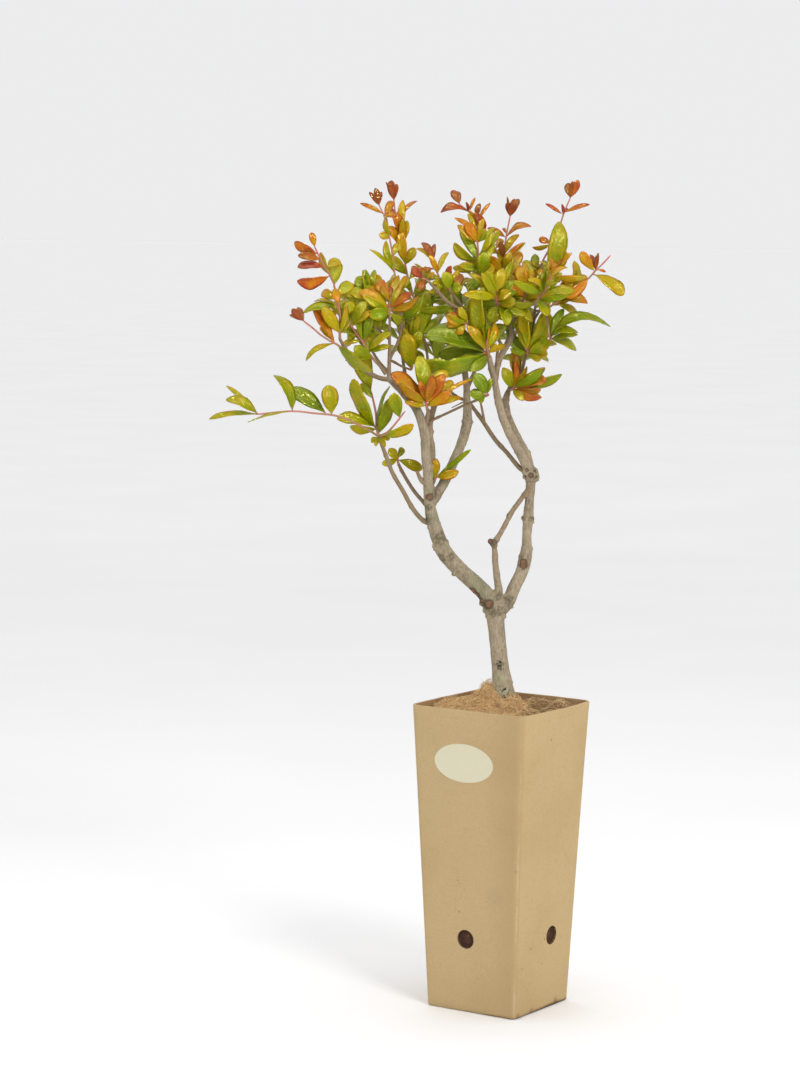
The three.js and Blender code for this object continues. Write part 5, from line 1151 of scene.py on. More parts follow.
def draws_from(seed: int) -> Iterator[float]:
    """Seeded draws, without end.

    Args:
        seed: Where they start.

    Yields:
        A number between 0 and 1.
    """
    top = 0xFFFFFFFF
    state = seed & top
    while True:
        state = (state + 0x6D2B79F5) & top
        mixed = ((state ^ (state >> 15)) * (state | 1)) & top
        mixed ^= (mixed + ((mixed ^ (mixed >> 7)) * (mixed | 61))) & top
        yield (mixed ^ (mixed >> 14)) / (top + 1)


def unit(vector: np.ndarray) -> np.ndarray:
    """The vector at length one."""
    return vector / np.linalg.norm(vector)


def turned(vectors: np.ndarray) -> np.ndarray:
    """Directions or points of the tree, turned about the pot's axis."""
    cos, sin = math.cos(TREE_TURN), math.sin(TREE_TURN)
    return np.asarray(vectors, float) @ np.array([[cos, sin, 0], [-sin, cos, 0], [0, 0, 1]])


def placed(points: np.ndarray) -> np.ndarray:
    """Points of the tree in millimetres, turned to stand in the pot, in metres."""
    return turned(points) * MM


def how_far(places: np.ndarray, row: Row) -> np.ndarray:
    """How far places in metres are from a row's x, y, z, as a share of the reach that it gives fourth."""
    return np.linalg.norm(places - placed(np.array(row[:3])), axis=1) / (row[3] * MM)


def square_to(tangent: np.ndarray, angle: float) -> np.ndarray:
    """A direction square to a limb, at an angle round it."""
    side = unit(AWAY - tangent * tangent[1])
    return side * math.cos(angle) + np.cross(tangent, side) * math.sin(angle)


def held(value: float, low: float = 0, high: float = 1) -> float:
    """A value held between two ends."""
    return min(max(value, low), high)


def band(first: int, second: int, count: int, over: bool = False) -> Faces:
    """Four-sided faces between two closed rings of points.

    Args:
        first: The place of the first ring's first point.
        second: The place of the second ring's first point.
        count: How many points a ring has.
        over: Whether the faces are turned over.

    Returns:
        The faces, each as its points' places.
    """
    sides = [(i, (i + 1) % count) for i in range(count)]
    if over:
        return [(first + i, second + i, second + j, first + j) for i, j in sides]
    return [(first + i, first + j, second + j, second + i) for i, j in sides]


class Route:
    """A smooth line through given points, each with the radius of the wood there, in millimetres."""

    def __init__(self, rows: Sequence[Row]) -> None:
        """Starts on rows of x, y, z and radius."""
        self.rows = np.array(rows, float)

    def at(self, share: float) -> np.ndarray:
        """Follows the line.

        Args:
            share: The share of the way, from 0 to 1.

        Returns:
            x, y, z and radius there.
        """
        rows, spans = self.rows, len(self.rows) - 1
        span = min(int(share * spans), spans - 1)
        w = share * spans - span
        here, there = rows[span], rows[span + 1]
        before = rows[span - 1] if span > 0 else 2 * here - there
        after = rows[span + 2] if span + 2 <= spans else 2 * there - here
        leaving, arriving = (there - before) / 2, (after - here) / 2
        cubic = (2 * here - 2 * there + leaving + arriving) * w**3
        return cubic + (3 * there - 3 * here - 2 * leaving - arriving) * w**2 + leaving * w + here

    def point(self, share: float) -> np.ndarray:
        """x, y, z at a share of the way."""
        return self.at(share)[:3]

    def tangent(self, share: float, reach: float) -> np.ndarray:
        """The line's direction at a share of the way, taken over a reach to both sides."""
        return unit(self.point(min(share + reach, 1)) - self.point(max(share - reach, 0)))

    def radius(self, share: float) -> float:
        """The radius at a share of the way, straight between the points."""
        along = share * (len(self.rows) - 1)
        return float(np.interp(along, range(len(self.rows)), self.rows[:, 3]))

    def length(self) -> float:
        """The way's whole length."""
        points = np.array([self.point(i / 60) for i in range(61)])
        return float(np.linalg.norm(np.diff(points, axis=0), axis=1).sum())

    def samples(self, step: float) -> np.ndarray:
        """Rows of x, y, z and radius a step apart."""
        count = max(int(self.length() / step), 2 * len(self.rows))
        return np.array([self.at(i / count) for i in range(count + 1)])


def new_object(name: str, points: Sequence, faces: Sequence = (), edges: Sequence = ()) -> Body:
    """A mesh object in the scene.

    Args:
        name: Its name.
        points: Its points, in metres.
        faces: Its faces, each as its points' places.
        edges: Its edges, in the same way.

    Returns:
        The object.
    """
    mesh = bpy.data.meshes.new(name)
    mesh.from_pydata([tuple(p) for p in np.asarray(points, float)], list(edges), list(faces))
    mesh.update()
    made = bpy.data.objects.new(name, mesh)
    bpy.context.scene.collection.objects.link(made)
    return made


def mark(mesh: bpy.types.Mesh, name: str, values: np.ndarray) -> None:
    """Stores a number or a vector at each point of a mesh.

    Args:
        mesh: The mesh.
        name: The stored layer's name.
        values: One number, or one row of three, for each point.
    """
    values = np.asarray(values, np.float32)
    kind, field = ("FLOAT_VECTOR", "vector") if values.ndim == 2 else ("FLOAT", "value")
    mesh.attributes.new(name, kind, "POINT").data.foreach_set(field, values.ravel())


def read(mesh: bpy.types.Mesh, field: str) -> np.ndarray:
    """Reads the points of a mesh.

    Args:
        mesh: The mesh.
        field: "co" for their places, "normal" for their normals.

    Returns:
        A row of x, y, z for each point.
    """
    values = np.empty(len(mesh.vertices) * 3)
    mesh.vertices.foreach_get(field, values)
    return values.reshape(-1, 3)


def settled(made: Body) -> Body:
    """Makes what an object's modifiers give into its plain mesh, and takes them off.

    Args:
        made: The object.

    Returns:
        The same object.
    """
    graph = bpy.context.evaluated_depsgraph_get()
    mesh = bpy.data.meshes.new_from_object(made.evaluated_get(graph), preserve_all_data_layers=True,
                                           depsgraph=graph)
    made.modifiers.clear()
    bare, made.data = made.data, mesh
    bpy.data.meshes.remove(bare)
    return made


def finish(made: Body, *materials: Material, sharp: float = 180) -> None:
    """Gives an object its materials and smooth shading.

    Args:
        made: The object.
        materials: Its materials in order, or none where it has them.
        sharp: The angle in degrees past which an edge stays sharp.
    """
    if materials:
        made.data.materials.clear()
    for material in materials:
        made.data.materials.append(material)
    made.data.shade_smooth()
    if sharp < 180:
        made.data.set_sharp_from_angle(angle=math.radians(sharp))


def hand_over(made: Body, slot: str, *nodes: str) -> None:
    """Lets a finished piece ride on the body.

    Args:
        made: The piece.
        slot: The record's slot that it belongs to; not used.
        nodes: The solids that it stands for.
    """
    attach(made, "root")
    if nodes:
        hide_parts(*nodes)
    made.data.calc_loop_triangles()
    log.info("%s: %d triangles", made.name, len(made.data.loop_triangles))


class Growth(Nodes):
    """A geometry tree with named inputs, which a modifier runs on an object."""

    KINDS = {"Object": "NodeSocketObject", "Material": "NodeSocketMaterial", "int": "NodeSocketInt",
             "float": "NodeSocketFloat"}

    def __init__(self, name: str, inputs: dict[str, object]) -> None:
        """Starts a tree.

        Args:
            name: The tree's name.
            inputs: Each named input with its starting value. An object or a material is given by its kind.
        """
        super().__init__(bpy.data.node_groups.new(name, "GeometryNodeTree"))
        sockets = self.tree.interface
        sockets.new_socket(name="Geometry", in_out="OUTPUT", socket_type="NodeSocketGeometry")
        sockets.new_socket(name="Geometry", in_out="INPUT", socket_type="NodeSocketGeometry")
        for label, value in inputs.items():
            kind = value if isinstance(value, str) else type(value).__name__
            made = sockets.new_socket(name=label, in_out="INPUT", socket_type=self.KINDS[kind])
            if not isinstance(value, str):
                made.default_value = value
        self.given = {s.name: Value(self, s) for s in self.add("NodeGroupInput").outputs if s.name}
        self.leave = self.add("NodeGroupOutput").inputs[0]

    def run(self, made: Body, **values: object) -> Body:
        """Runs the tree on an object and settles what it gives.

        Args:
            made: The object.
            values: The named inputs, with _ for each space.

        Returns:
            The same object.
        """
        modifier = made.modifiers.new(self.tree.name, "NODES")
        modifier.node_group = self.tree
        for item in self.tree.interface.items_tree:
            key = item.name.replace(" ", "_")
            if item.in_out == "INPUT" and key in values:
                modifier[item.identifier] = values[key]
        made.update_tag()
        return settled(made)

    def attribute(self, name: str, kind: str = "FLOAT") -> Value:
        """A number, or a vector, that the mesh carries at its points."""
        return self.put("GeometryNodeInputNamedAttribute", {"Name": name}, "Attribute", data_type=kind)

    def draw(self, seed: int, low: object, high: object) -> Value:
        """A draw for each point or instance.

        Args:
            seed: Where the draws start.
            low: The least: a number, or a vector.
            high: The most.

        Returns:
            The draw, of the same kind.
        """
        kind = "FunctionNodeRandomValue"
        if isinstance(low, tuple):
            return self.put(kind, {0: low, 1: high, "Seed": seed}, data_type="FLOAT_VECTOR")
        return self.put(kind, {2: low, 3: high, "Seed": seed}, 1)

    def sweep(self, wires: object, sides: object) -> Value:
        """Round wood along wires, as thick as their points say.

        Args:
            wires: The wires.
            sides: How many sides the wood has.

        Returns:
            The wood.
        """
        circle = self.put("GeometryNodeCurvePrimitiveCircle", {"Resolution": sides, "Radius": 1.0})
        curve = self.put("GeometryNodeMeshToCurve", {"Mesh": wires})
        inputs = {"Curve": curve, "Profile Curve": circle, "Scale": self.attribute("thickness"),
                  "Fill Caps": True}
        return self.put("GeometryNodeCurveToMesh", inputs)

    def copies(self, pattern: str, points: object, **inputs: object) -> Value:
        """A pattern's copies at points, from the input of that name."""
        shape = self.put("GeometryNodeObjectInfo", {"Object": self.given[pattern]}, "Geometry")
        return self.put("GeometryNodeInstanceOnPoints", {"Points": points, "Instance": shape} | inputs)

    def moved(self, start: object, *steps: tuple[object, object]) -> Value:
        """A place after some steps.

        Args:
            start: Where they start.
            steps: Each step's direction and how far it goes.

        Returns:
            Where they end.
        """
        for direction, reach in steps:
            start = self.vector("ADD", start, self.vector("SCALE", direction, reach))
        return start

    def finished(self, shape: object, material: str) -> Value:
        """Makes a shape's instances real, smooth and dressed.

        Args:
            shape: The shape.
            material: The name of the input that holds its finish.

        Returns:
            The finished shape.
        """
        real = self.put("GeometryNodeRealizeInstances", {0: shape})
        smooth = self.put("GeometryNodeSetShadeSmooth", {0: real})
        return self.put("GeometryNodeSetMaterial", {0: smooth, "Material": self.given[material]})


def wood_growth() -> Growth:
    """Round limbs along wires, with a faint waviness of the bark.

    Returns:
        The tree.
    """
    tree = Growth("swept_wood", {"Sides": 12, "Waviness": 0.0001, "Material": "Material"})
    place = tree.vector("MULTIPLY", tree.put("GeometryNodeInputPosition"), (1, 1, 0.5))
    wave = (tree.clouds(place, 420) - 0.5) * tree.given["Waviness"]
    push = tree.vector("SCALE", tree.put("GeometryNodeInputNormal"), wave)
    rods = tree.sweep(tree.given["Geometry"], tree.given["Sides"])
    moved = tree.put("GeometryNodeSetPosition", {"Geometry": rods, "Offset": push})
    tree.feed(tree.leave, tree.finished(moved, "Material"))
    return tree


def spray_growth() -> Growth:
    """A leafy spray: stems along its wires, and a blade shaped at each loose point that stands for a leaf.

    Returns:
        The tree.
    """
    tree = Growth("leafy_spray", {"Blade": "Object", "Stem sides": 8, "Blade thickness": 0.00045,
                                  "Leaf finish": "Material", "Stem finish": "Material"})
    is_leaf = tree.math("GREATER_THAN", tree.attribute("is_leaf"), 0.5)
    parts = tree.add("GeometryNodeSeparateGeometry", {0: tree.given["Geometry"], 1: is_leaf})
    roots, wires = tree.outputs(parts, 0, 1)
    blades = tree.put("GeometryNodeRealizeInstances", {0: tree.copies("Blade", roots)})
    u, v, side, length, slender = (tree.attribute(name) for name in (
        "blade_u", "blade_v", "blade_side", "length", "slender"))
    share = tree.attribute("share_broad") * (1.0 - slender) + tree.attribute("share_slender") * slender
    half = tree.math("MAXIMUM", share * tree.attribute("width") * 0.5, 0.00045)
    out = abs(v)
    lift = tree.attribute("arch") * length * (u * (1.0 - u) * 4.0)
    fold = half * out * tree.attribute("fold")
    phase = u * 11.0 + tree.attribute("phase")
    ripple = tree.math("SINE", phase + v) * (half * out * 0.11)
    curl = tree.math("MAXIMUM", u - 0.55, 0.0)**2.0 * tree.attribute("curl") * length
    round_off = 1.0 - out**2.0
    wall = side * round_off * tree.given["Blade thickness"]
    stalk = side * tree.ramp(u, 0.05, 0.16, 0.0004, 0) * round_off
    height = lift + fold + ripple - curl + wall + stalk
    root, forward, face = (tree.attribute(name, "FLOAT_VECTOR") for name in ("root", "forward", "face"))
    roll = (u - 0.4) * tree.attribute("twist")
    across = tree.vector("SCALE", tree.vector("CROSS_PRODUCT", forward, face), tree.math("COSINE", roll))
    rolled = tree.moved(across, (face, tree.math("SINE", roll)))
    ahead = u * length + (1.0 - u) * tree.attribute("sunk")
    shaped = tree.moved(root, (forward, ahead), (rolled, v * half), (face, height))
    leaves = tree.put("GeometryNodeSetPosition", {"Geometry": blades, "Position": shaped})
    both = tree.add("GeometryNodeJoinGeometry")
    tree.feed(both.inputs[0], tree.finished(leaves, "Leaf finish"))
    tree.feed(both.inputs[0], tree.finished(tree.sweep(wires, tree.given["Stem sides"]), "Stem finish"))
    tree.feed(tree.leave, tree.outputs(both, 0)[0])
    return tree


def strand_growth() -> Growth:
    """Loose strands of fibre lying on a surface.

    Returns:
        The tree.
    """
    tree = Growth("loose_strands", {"Density": 200000.0, "Strand length": 0.016, "Strand radius": 0.00016,
                                    "Seed": 3, "Material": "Material"})
    upward = tree.put("ShaderNodeSeparateXYZ", {0: tree.put("GeometryNodeInputNormal")}, 2)
    spread = tree.add("GeometryNodeDistributePointsOnFaces", {
        "Mesh": tree.given["Geometry"], "Selection": tree.math("GREATER_THAN", upward, 0.25),
        "Density": tree.given["Density"], "Seed": tree.given["Seed"]})
    points, lying = tree.outputs(spread, 0, "Rotation")
    shaded = tree.put("GeometryNodeStoreNamedAttribute",
                      {"Geometry": points, "Name": "shade", "Value": tree.draw(11, 0.0, 1.0)})
    length = tree.given["Strand length"]
    start, crown, end = (
        tree.put("ShaderNodeCombineXYZ", {0: length * x, 1: length * y, 2: z})
        for x, y, z in ((-0.5, 0, -0.0008), (0, 0.3, 0.0034), (0.5, 0, -0.0006)))
    bend = {"Resolution": 7, "Start": start, "Middle": crown, "End": end}
    arc = tree.put("GeometryNodeCurveQuadraticBezier", bend)
    spin = tree.draw(5, (-0.5, -0.25, -math.pi), (0.5, 0.45, math.pi))
    spun = tree.put("FunctionNodeRotateRotation", {0: lying, 1: spin}, rotation_space="LOCAL")
    strands = tree.put("GeometryNodeInstanceOnPoints", {
        "Points": shaded, "Instance": arc, "Rotation": spun, "Scale": tree.draw(7, 0.45, 1.5)})
    real = tree.put("GeometryNodeRealizeInstances", {0: strands})
    place = {"Vector": tree.put("GeometryNodeInputPosition"), "Scale": 130.0, "Detail": 2.0}
    drift = tree.vector("SUBTRACT", tree.put("ShaderNodeTexNoise", place, 1), (0.5, 0.5, 0.5))
    push = tree.vector("SCALE", drift, 0.007)
    bent = tree.put("GeometryNodeSetPosition", {"Geometry": real, "Offset": push})
    section = {"Resolution": 3, "Radius": tree.given["Strand radius"]}
    circle = tree.put("GeometryNodeCurvePrimitiveCircle", section)
    rods = tree.put("GeometryNodeCurveToMesh", {"Curve": bent, "Profile Curve": circle, "Fill Caps": True})
    tree.feed(tree.leave, tree.finished(rods, "Material"))
    return tree


def crumb_growth() -> Growth:
    """Uneven crumbs scattered on a surface.

    Returns:
        The tree.
    """
    tree = Growth("crumbs", {"Crumb": "Object", "Density": 200000.0, "Crumb size": 0.001, "Seed": 3,
                             "Material": "Material"})
    spread = tree.put("GeometryNodeDistributePointsOnFaces", {
        "Mesh": tree.given["Geometry"], "Density": tree.given["Density"], "Seed": tree.given["Seed"]})
    turn = tree.draw(5, (-3.0, -3.0, -3.0), (3.0, 3.0, 3.0))
    size = tree.vector("SCALE", tree.draw(7, (0.4, 0.4, 0.3), (1.3, 1.1, 0.9)), tree.given["Crumb size"])
    tree.feed(tree.leave, tree.finished(tree.copies("Crumb", spread, Rotation=turn, Scale=size), "Material"))
    return tree


def bud_growth() -> Growth:
    """A bud at each point, its tip along the heading that the point carries.

    Returns:
        The tree.
    """
    tree = Growth("buds", {"Bud": "Object", "Material": "Material"})
    heading = tree.attribute("heading", "FLOAT_VECTOR")
    turn = tree.put("FunctionNodeAlignRotationToVector", {"Vector": heading}, axis="Z")
    points = tree.put("GeometryNodeMeshToPoints", {0: tree.given["Geometry"]})
    buds = tree.copies("Bud", points, Rotation=turn, Scale=tree.attribute("size"))
    tree.feed(tree.leave, tree.finished(buds, "Material"))
    return tree


def rounded_lump(name: str, stretch: Row, roughness: float) -> Body:
    """A small uneven lump one unit across, a pattern for knots, crumbs and buds.

    Args:
        name: Its name.
        stretch: How it is drawn out along each axis.
        roughness: How uneven it is.

    Returns:
        The object.
    """
    golden = (1 + math.sqrt(5)) / 2
    pairs = [(a, b) for b in (golden, -golden) for a in (-1, 1)]
    corners = [(a, b, 0) for a, b in pairs] + [(0, a, b) for a, b in pairs] + [(b, 0, a) for a, b in pairs]
    faces = [(0, 11, 5), (0, 5, 1), (0, 1, 7), (0, 7, 10), (0, 10, 11), (1, 5, 9), (5, 11, 4), (11, 10, 2),
             (10, 7, 6), (7, 1, 8), (3, 9, 4), (3, 4, 2), (3, 2, 6), (3, 6, 8), (3, 8, 9), (4, 9, 5),
             (2, 4, 11), (6, 2, 10), (8, 6, 7), (9, 8, 1)]
    points = np.array(corners, float)
    points /= np.linalg.norm(points, axis=1)[:, None]
    for point in points:
        point *= 0.5 * (1 + roughness * noise.noise(Vector(point) * 3))
    return new_object(name, points * np.array(stretch), faces)


@dataclass
class Pot:
    """The tall square board pot, in millimetres: tapered, bowed at the rim, with four drain holes."""

    height: float = 305
    side_top: float = 131
    side_base: float = 104
    wall: float = 2.5
    floor: float = 3
    corner: float = 7
    bow_front: float = 1.5
    bow_right: float = 4
    bow_back: float = 3
    bow_left: float = 1.5
    bow_power: float = 3
    rim_wave: float = 0.55
    drain_radius: float = 9.5
    drain_height: float = 74
    drain_offsets: tuple[float, ...] = (-4, 11, 0, 3)
    drain_sides: int = 48
    drill_reach: float = 8
    corner_steps: int = 8
    wall_steps: int = 16
    levels: int = 26

    def side_at(self, z: float) -> float:
        """The width of the pot at a height."""
        return self.side_base + (self.side_top - self.side_base) * z / self.height

    def outline(self) -> np.ndarray:
        """A square one unit across with round corners.

        Returns:
            Its points as rows of x and y.
        """
        corner = self.corner / self.side_top
        reach = 0.5 - corner
        points = []
        for quarter in range(4):
            turn = quarter * math.pi / 2
            cos, sin = math.cos(turn), math.sin(turn)
            arc = [(reach + corner * math.sin(a), -reach - corner * math.cos(a))
                   for a in np.linspace(0, math.pi / 2, self.corner_steps + 1)]
            edge = [(0.5, y) for y in np.linspace(-reach, reach, self.wall_steps + 1)[1:-1]]
            points += [(x * cos - y * sin, x * sin + y * cos) for x, y in arc + edge]
        return np.array(points)

    def bowed(self, ring: np.ndarray, z: float) -> np.ndarray:
        """Leans a ring of wall points out as the board does towards its rim.

        Args:
            ring: The points as rows of x and y.
            z: Their height.

        Returns:
            The moved points.
        """
        half = self.side_at(z) / 2
        strength = (max(z, 0) / self.height) ** self.bow_power
        made = ring.copy()
        for point in made:
            x, y = point
            lean = strength * (1 - (min(abs(x), abs(y)) / half) ** 2)
            angle = math.atan2(y, x)
            wave = self.rim_wave * strength**2 * (math.sin(5 * angle + 1.2) + 0.6 * math.sin(11 * angle))
            if abs(x) > abs(y):
                point[0] += lean * (self.bow_right if x > 0 else -self.bow_left) + math.copysign(wave, x)
            else:
                point[1] += lean * (self.bow_back if y > 0 else -self.bow_front) + math.copysign(wave, y)
        return made

    def shell(self) -> Body:
        """The folded board, closed, with a soft rim and foot.

        Returns:
            The object, its inner side in the second material.
        """
        outside = [(1.2, 0.0), (0.35, 0.25), (0.0, 1.0)]
        outside += [(0.0, z) for z in np.linspace(8, self.height - 1.2, self.levels)]
        rim = [(0.12, self.height - 0.35), (0.5, self.height), (self.wall - 0.5, self.height),
               (self.wall - 0.12, self.height - 0.35)]
        inside = [(self.wall, z) for z in np.linspace(self.height - 1.2, self.floor + 3, self.levels)]
        profile = outside + rim + inside + [(self.wall, self.floor)]
        square = self.outline()
        count, points, faces = len(square), [], []
        for level, (inset, z) in enumerate(profile):
            ring = self.bowed(square * (self.side_at(z) - 2 * inset), z)
            points += [(x, y, z) for x, y in ring]
            if level:
                faces += band((level - 1) * count, level * count, count)
        faces += [tuple(reversed(range(count))), tuple(range(len(points) - count, len(points)))]
        board = new_object("pot_board", np.array(points) * MM, faces)
        kraft = KraftFinish()
        finish(board, kraft.outside(), kraft.lining(), kraft.cut_edge())
        lining_from, foot = (len(outside) + 2) * count, len(faces) - 2
        for index, face in enumerate(board.data.polygons):
            face.material_index = int(index >= lining_from and index != foot)
        return board

    def drain(self, face: int) -> tuple[Vector, Vector]:
        """The middle of a drain hole at the wall's outside and the way out, in millimetres."""
        spin, stand = Matrix.Rotation(face * math.pi / 2, 3, "Z"), self.side_at(self.drain_height) / 2
        return spin @ Vector((self.drain_offsets[face], -stand, self.drain_height)), spin @ Vector((0, -1, 0))

    def drain_ring(self, face: int, out_by: float, sides: int, share: float = 1) -> list[Vector]:
        """A ring of points about a drain hole's middle line.

        Args:
            face: The wall, counted from the front one.
            out_by: How far outside the wall the ring is.
            sides: How many points it has.
            share: Its radius as a share of the hole's.

        Returns:
            The points, in millimetres.
        """
        centre, out = self.drain(face)
        across, middle, radius = UPWARD.cross(out), centre + out * out_by, self.drain_radius * share
        turns = [i * 2 * math.pi / sides for i in range(sides)]
        return [middle + radius * (across * math.cos(a) + UPWARD * math.sin(a)) for a in turns]

    def drill(self, board: Body) -> None:
        """Cuts the drain holes and darkens their edges.

        Args:
            board: The board.
        """
        ends = self.drain_sides
        for face in range(len(self.drain_offsets)):
            rings = [self.drain_ring(face, far, ends) for far in (-self.drill_reach, self.drill_reach)]
            faces = band(0, ends, ends) + [tuple(reversed(range(ends))), tuple(range(ends, 2 * ends))]
            cutter = new_object("drain_cutter", np.array(rings[0] + rings[1]) * MM, faces)
            cut = board.modifiers.new("drain", "BOOLEAN")
            cut.operation, cut.solver, cut.object = "DIFFERENCE", "EXACT", cutter
            settled(board)
            bpy.data.objects.remove(cutter)
            centre, out = self.drain(face)
            for wall in board.data.polygons:
                off = wall.center / MM - centre
                flat = off - out * off.dot(out)
                across_wall = abs(wall.normal.dot(out)) < 0.5 and abs(off.dot(out)) < 2 * self.wall
                if across_wall and abs(flat.length - self.drain_radius) < 0.5:
                    wall.material_index = 2

    def build(self) -> None:
        """Builds the pot in place of its solid."""
        board = self.shell()
        self.drill(board)
        finish(board, sharp=40)
        hand_over(board, "kraft_board", "pot")


@dataclass
class Label:
    """The bare oval label, in millimetres, pasted on the front wall."""

    width: float = 68
    height: float = 38.6
    thickness: float = 0.35
    offset: float = -3
    centre: float = 252
    paste: float = 0.1
    loose_from: float = 0.8
    rings: int = 7
    sides: int = 72

    def stand(self, pot: Pot, share: float, turn: float) -> Row:
        """A place on the label's back, on the bowed wall.

        Args:
            pot: The pot.
            share: How far out from the label's middle it is, from 0 to 1.
            turn: The angle round the middle.

        Returns:
            x, y and z.
        """
        x = self.offset + share * self.width / 2 * math.cos(turn)
        z = self.centre + share * self.height / 2 * math.sin(turn)
        half = pot.side_at(z) / 2
        lean = pot.bow_front * (z / pot.height) ** pot.bow_power * (1 - (x / half) ** 2)
        lifted = 0.5 * max(share - self.loose_from, 0) * (1 + math.sin(2 * turn + 0.7))
        return x, -(half + lean + self.paste + lifted + 0.05 * math.sin(x * 0.5) * math.cos(z * 0.4)), z

    def build(self, pot: Pot) -> None:
        """Lays the paper on the pot.

        Args:
            pot: The pot.
        """
        count = self.sides
        backs = [self.stand(pot, 0, 0)]
        for ring in range(1, self.rings + 1):
            backs += [self.stand(pot, ring / self.rings, i * 2 * math.pi / count) for i in range(count)]
        fronts = [(x, y - self.thickness, z) for x, y, z in backs]
        size, rim = len(backs), 1 + (self.rings - 1) * count
        sides = [(1 + i, 1 + (i + 1) % count) for i in range(count)]
        faces = [(0, i, j) for i, j in sides] + [(size, size + j, size + i) for i, j in sides]
        for start in range(1, rim, count):
            faces += band(start, start + count, count, True) + band(size + start, size + start + count, count)
        faces += band(size + rim, rim, count)
        paper = new_object("label_paper", np.array(fronts + backs) * MM, faces)
        finish(paper, LabelFinish().material(), sharp=50)
        hand_over(paper, "label_paper", "label")


@dataclass
class Soil:
    """The root ball, seen only through the drain holes, with crumbs there."""

    crumb: float = 2.6
    density: float = 330000
    sink: float = 1.2
    sides: int = 24

    def build(self, pot: Pot) -> None:
        """Dresses the soil's solid and scatters crumbs behind each hole.

        Args:
            pot: The pot.
        """
        material = SoilFinish().material()
        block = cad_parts["soil"]
        block.data.materials.clear()
        block.data.materials.append(material)
        points, faces = [], []
        for face in range(len(pot.drain_offsets)):
            faces.append(tuple(range(len(points), len(points) + self.sides)))
            points += pot.drain_ring(face, -(pot.wall + self.sink), self.sides, 1.05)
        lump = rounded_lump("crumb_pattern", EVEN, 0.9)
        crumbs = new_object("soil_crumbs", np.array(points) * MM, faces)
        crumb_growth().run(crumbs, Crumb=lump, Density=self.density, Crumb_size=self.crumb * MM, Seed=4,
                           Material=material)
        bpy.data.objects.remove(lump)
        hand_over(crumbs, "soil")


@dataclass
class Coir:
    """Coconut fibre heaped round the trunk, in millimetres and in the tree's own directions."""

    half: float = 61.2
    squareness: float = 9
    floor: float = 284.6
    base: float = 291
    mounds: tuple[Row, ...] = ((-12, 2, 22, 9), (12, -8, 17, 12), (-18, -16, 9, 22), (-44, 10, 12, 22),
                               (62, 12, 11, 12), (36, 34, 11, 15))
    rings: int = 56
    sectors: int = 190
    strands: float = 235000
    strand_length: float = 13
    strand_radius: float = 0.15

    def height(self, x: float, y: float) -> float:
        """How high the fibre lies.

        Args:
            x: The place across the view.
            y: The place away from the viewer.

        Returns:
            The height of its top there.
        """
        top = self.base + 0.8 * (math.sin(0.31 * x + 0.4) * math.cos(0.27 * y) + math.sin(0.17 * (x - y)))
        for px, py, hill, width in self.mounds:
            top += hill * math.exp(-((x - px) ** 2 + (y - py) ** 2) / (2 * width**2))
        tufts = noise.fractal(Vector((x, y, 0)) * 0.16, 0.8, 2.1, 4)
        return top + 1.3 * tufts

    def build(self) -> None:
        """Builds the matted bed in place of its solid, and the loose strands on it."""
        points = [(0.0, 0.0, self.height(0, 0))]
        cos, sin = math.cos(-TREE_TURN), math.sin(-TREE_TURN)
        count, power = self.sectors, self.squareness
        for ring in range(1, self.rings + 1):
            for i in range(count):
                turn = i * 2 * math.pi / count
                x, y = math.cos(turn), math.sin(turn)
                stretch = 1 / (abs(x) ** power + abs(y) ** power) ** (1 / power)
                reach = self.half * stretch * ring / self.rings
                x, y = x * reach, y * reach
                points.append((x, y, self.height(x * cos - y * sin, x * sin + y * cos)))
        last, foot = 1 + (self.rings - 1) * count, len(points)
        faces = [(0, 1 + i, 1 + (i + 1) % count) for i in range(count)]
        for start in range(1, last, count):
            faces += band(start, start + count, count, True)
        points += [(x, y, self.floor) for x, y, _ in points[last:foot]]
        faces += [*band(last, foot, count, True), tuple(reversed(range(foot, foot + count)))]
        bed = new_object("coir_bed", np.array(points) * MM, faces)
        finish(bed, CoirFinish().bed())
        strands = new_object("coir_strands", np.array(points) * MM, faces)
        strand_growth().run(strands, Density=self.strands, Strand_length=self.strand_length * MM,
                            Strand_radius=self.strand_radius * MM, Seed=6, Material=CoirFinish().strand())
        hand_over(bed, "coir", "coir")
        hand_over(strands, "coir")


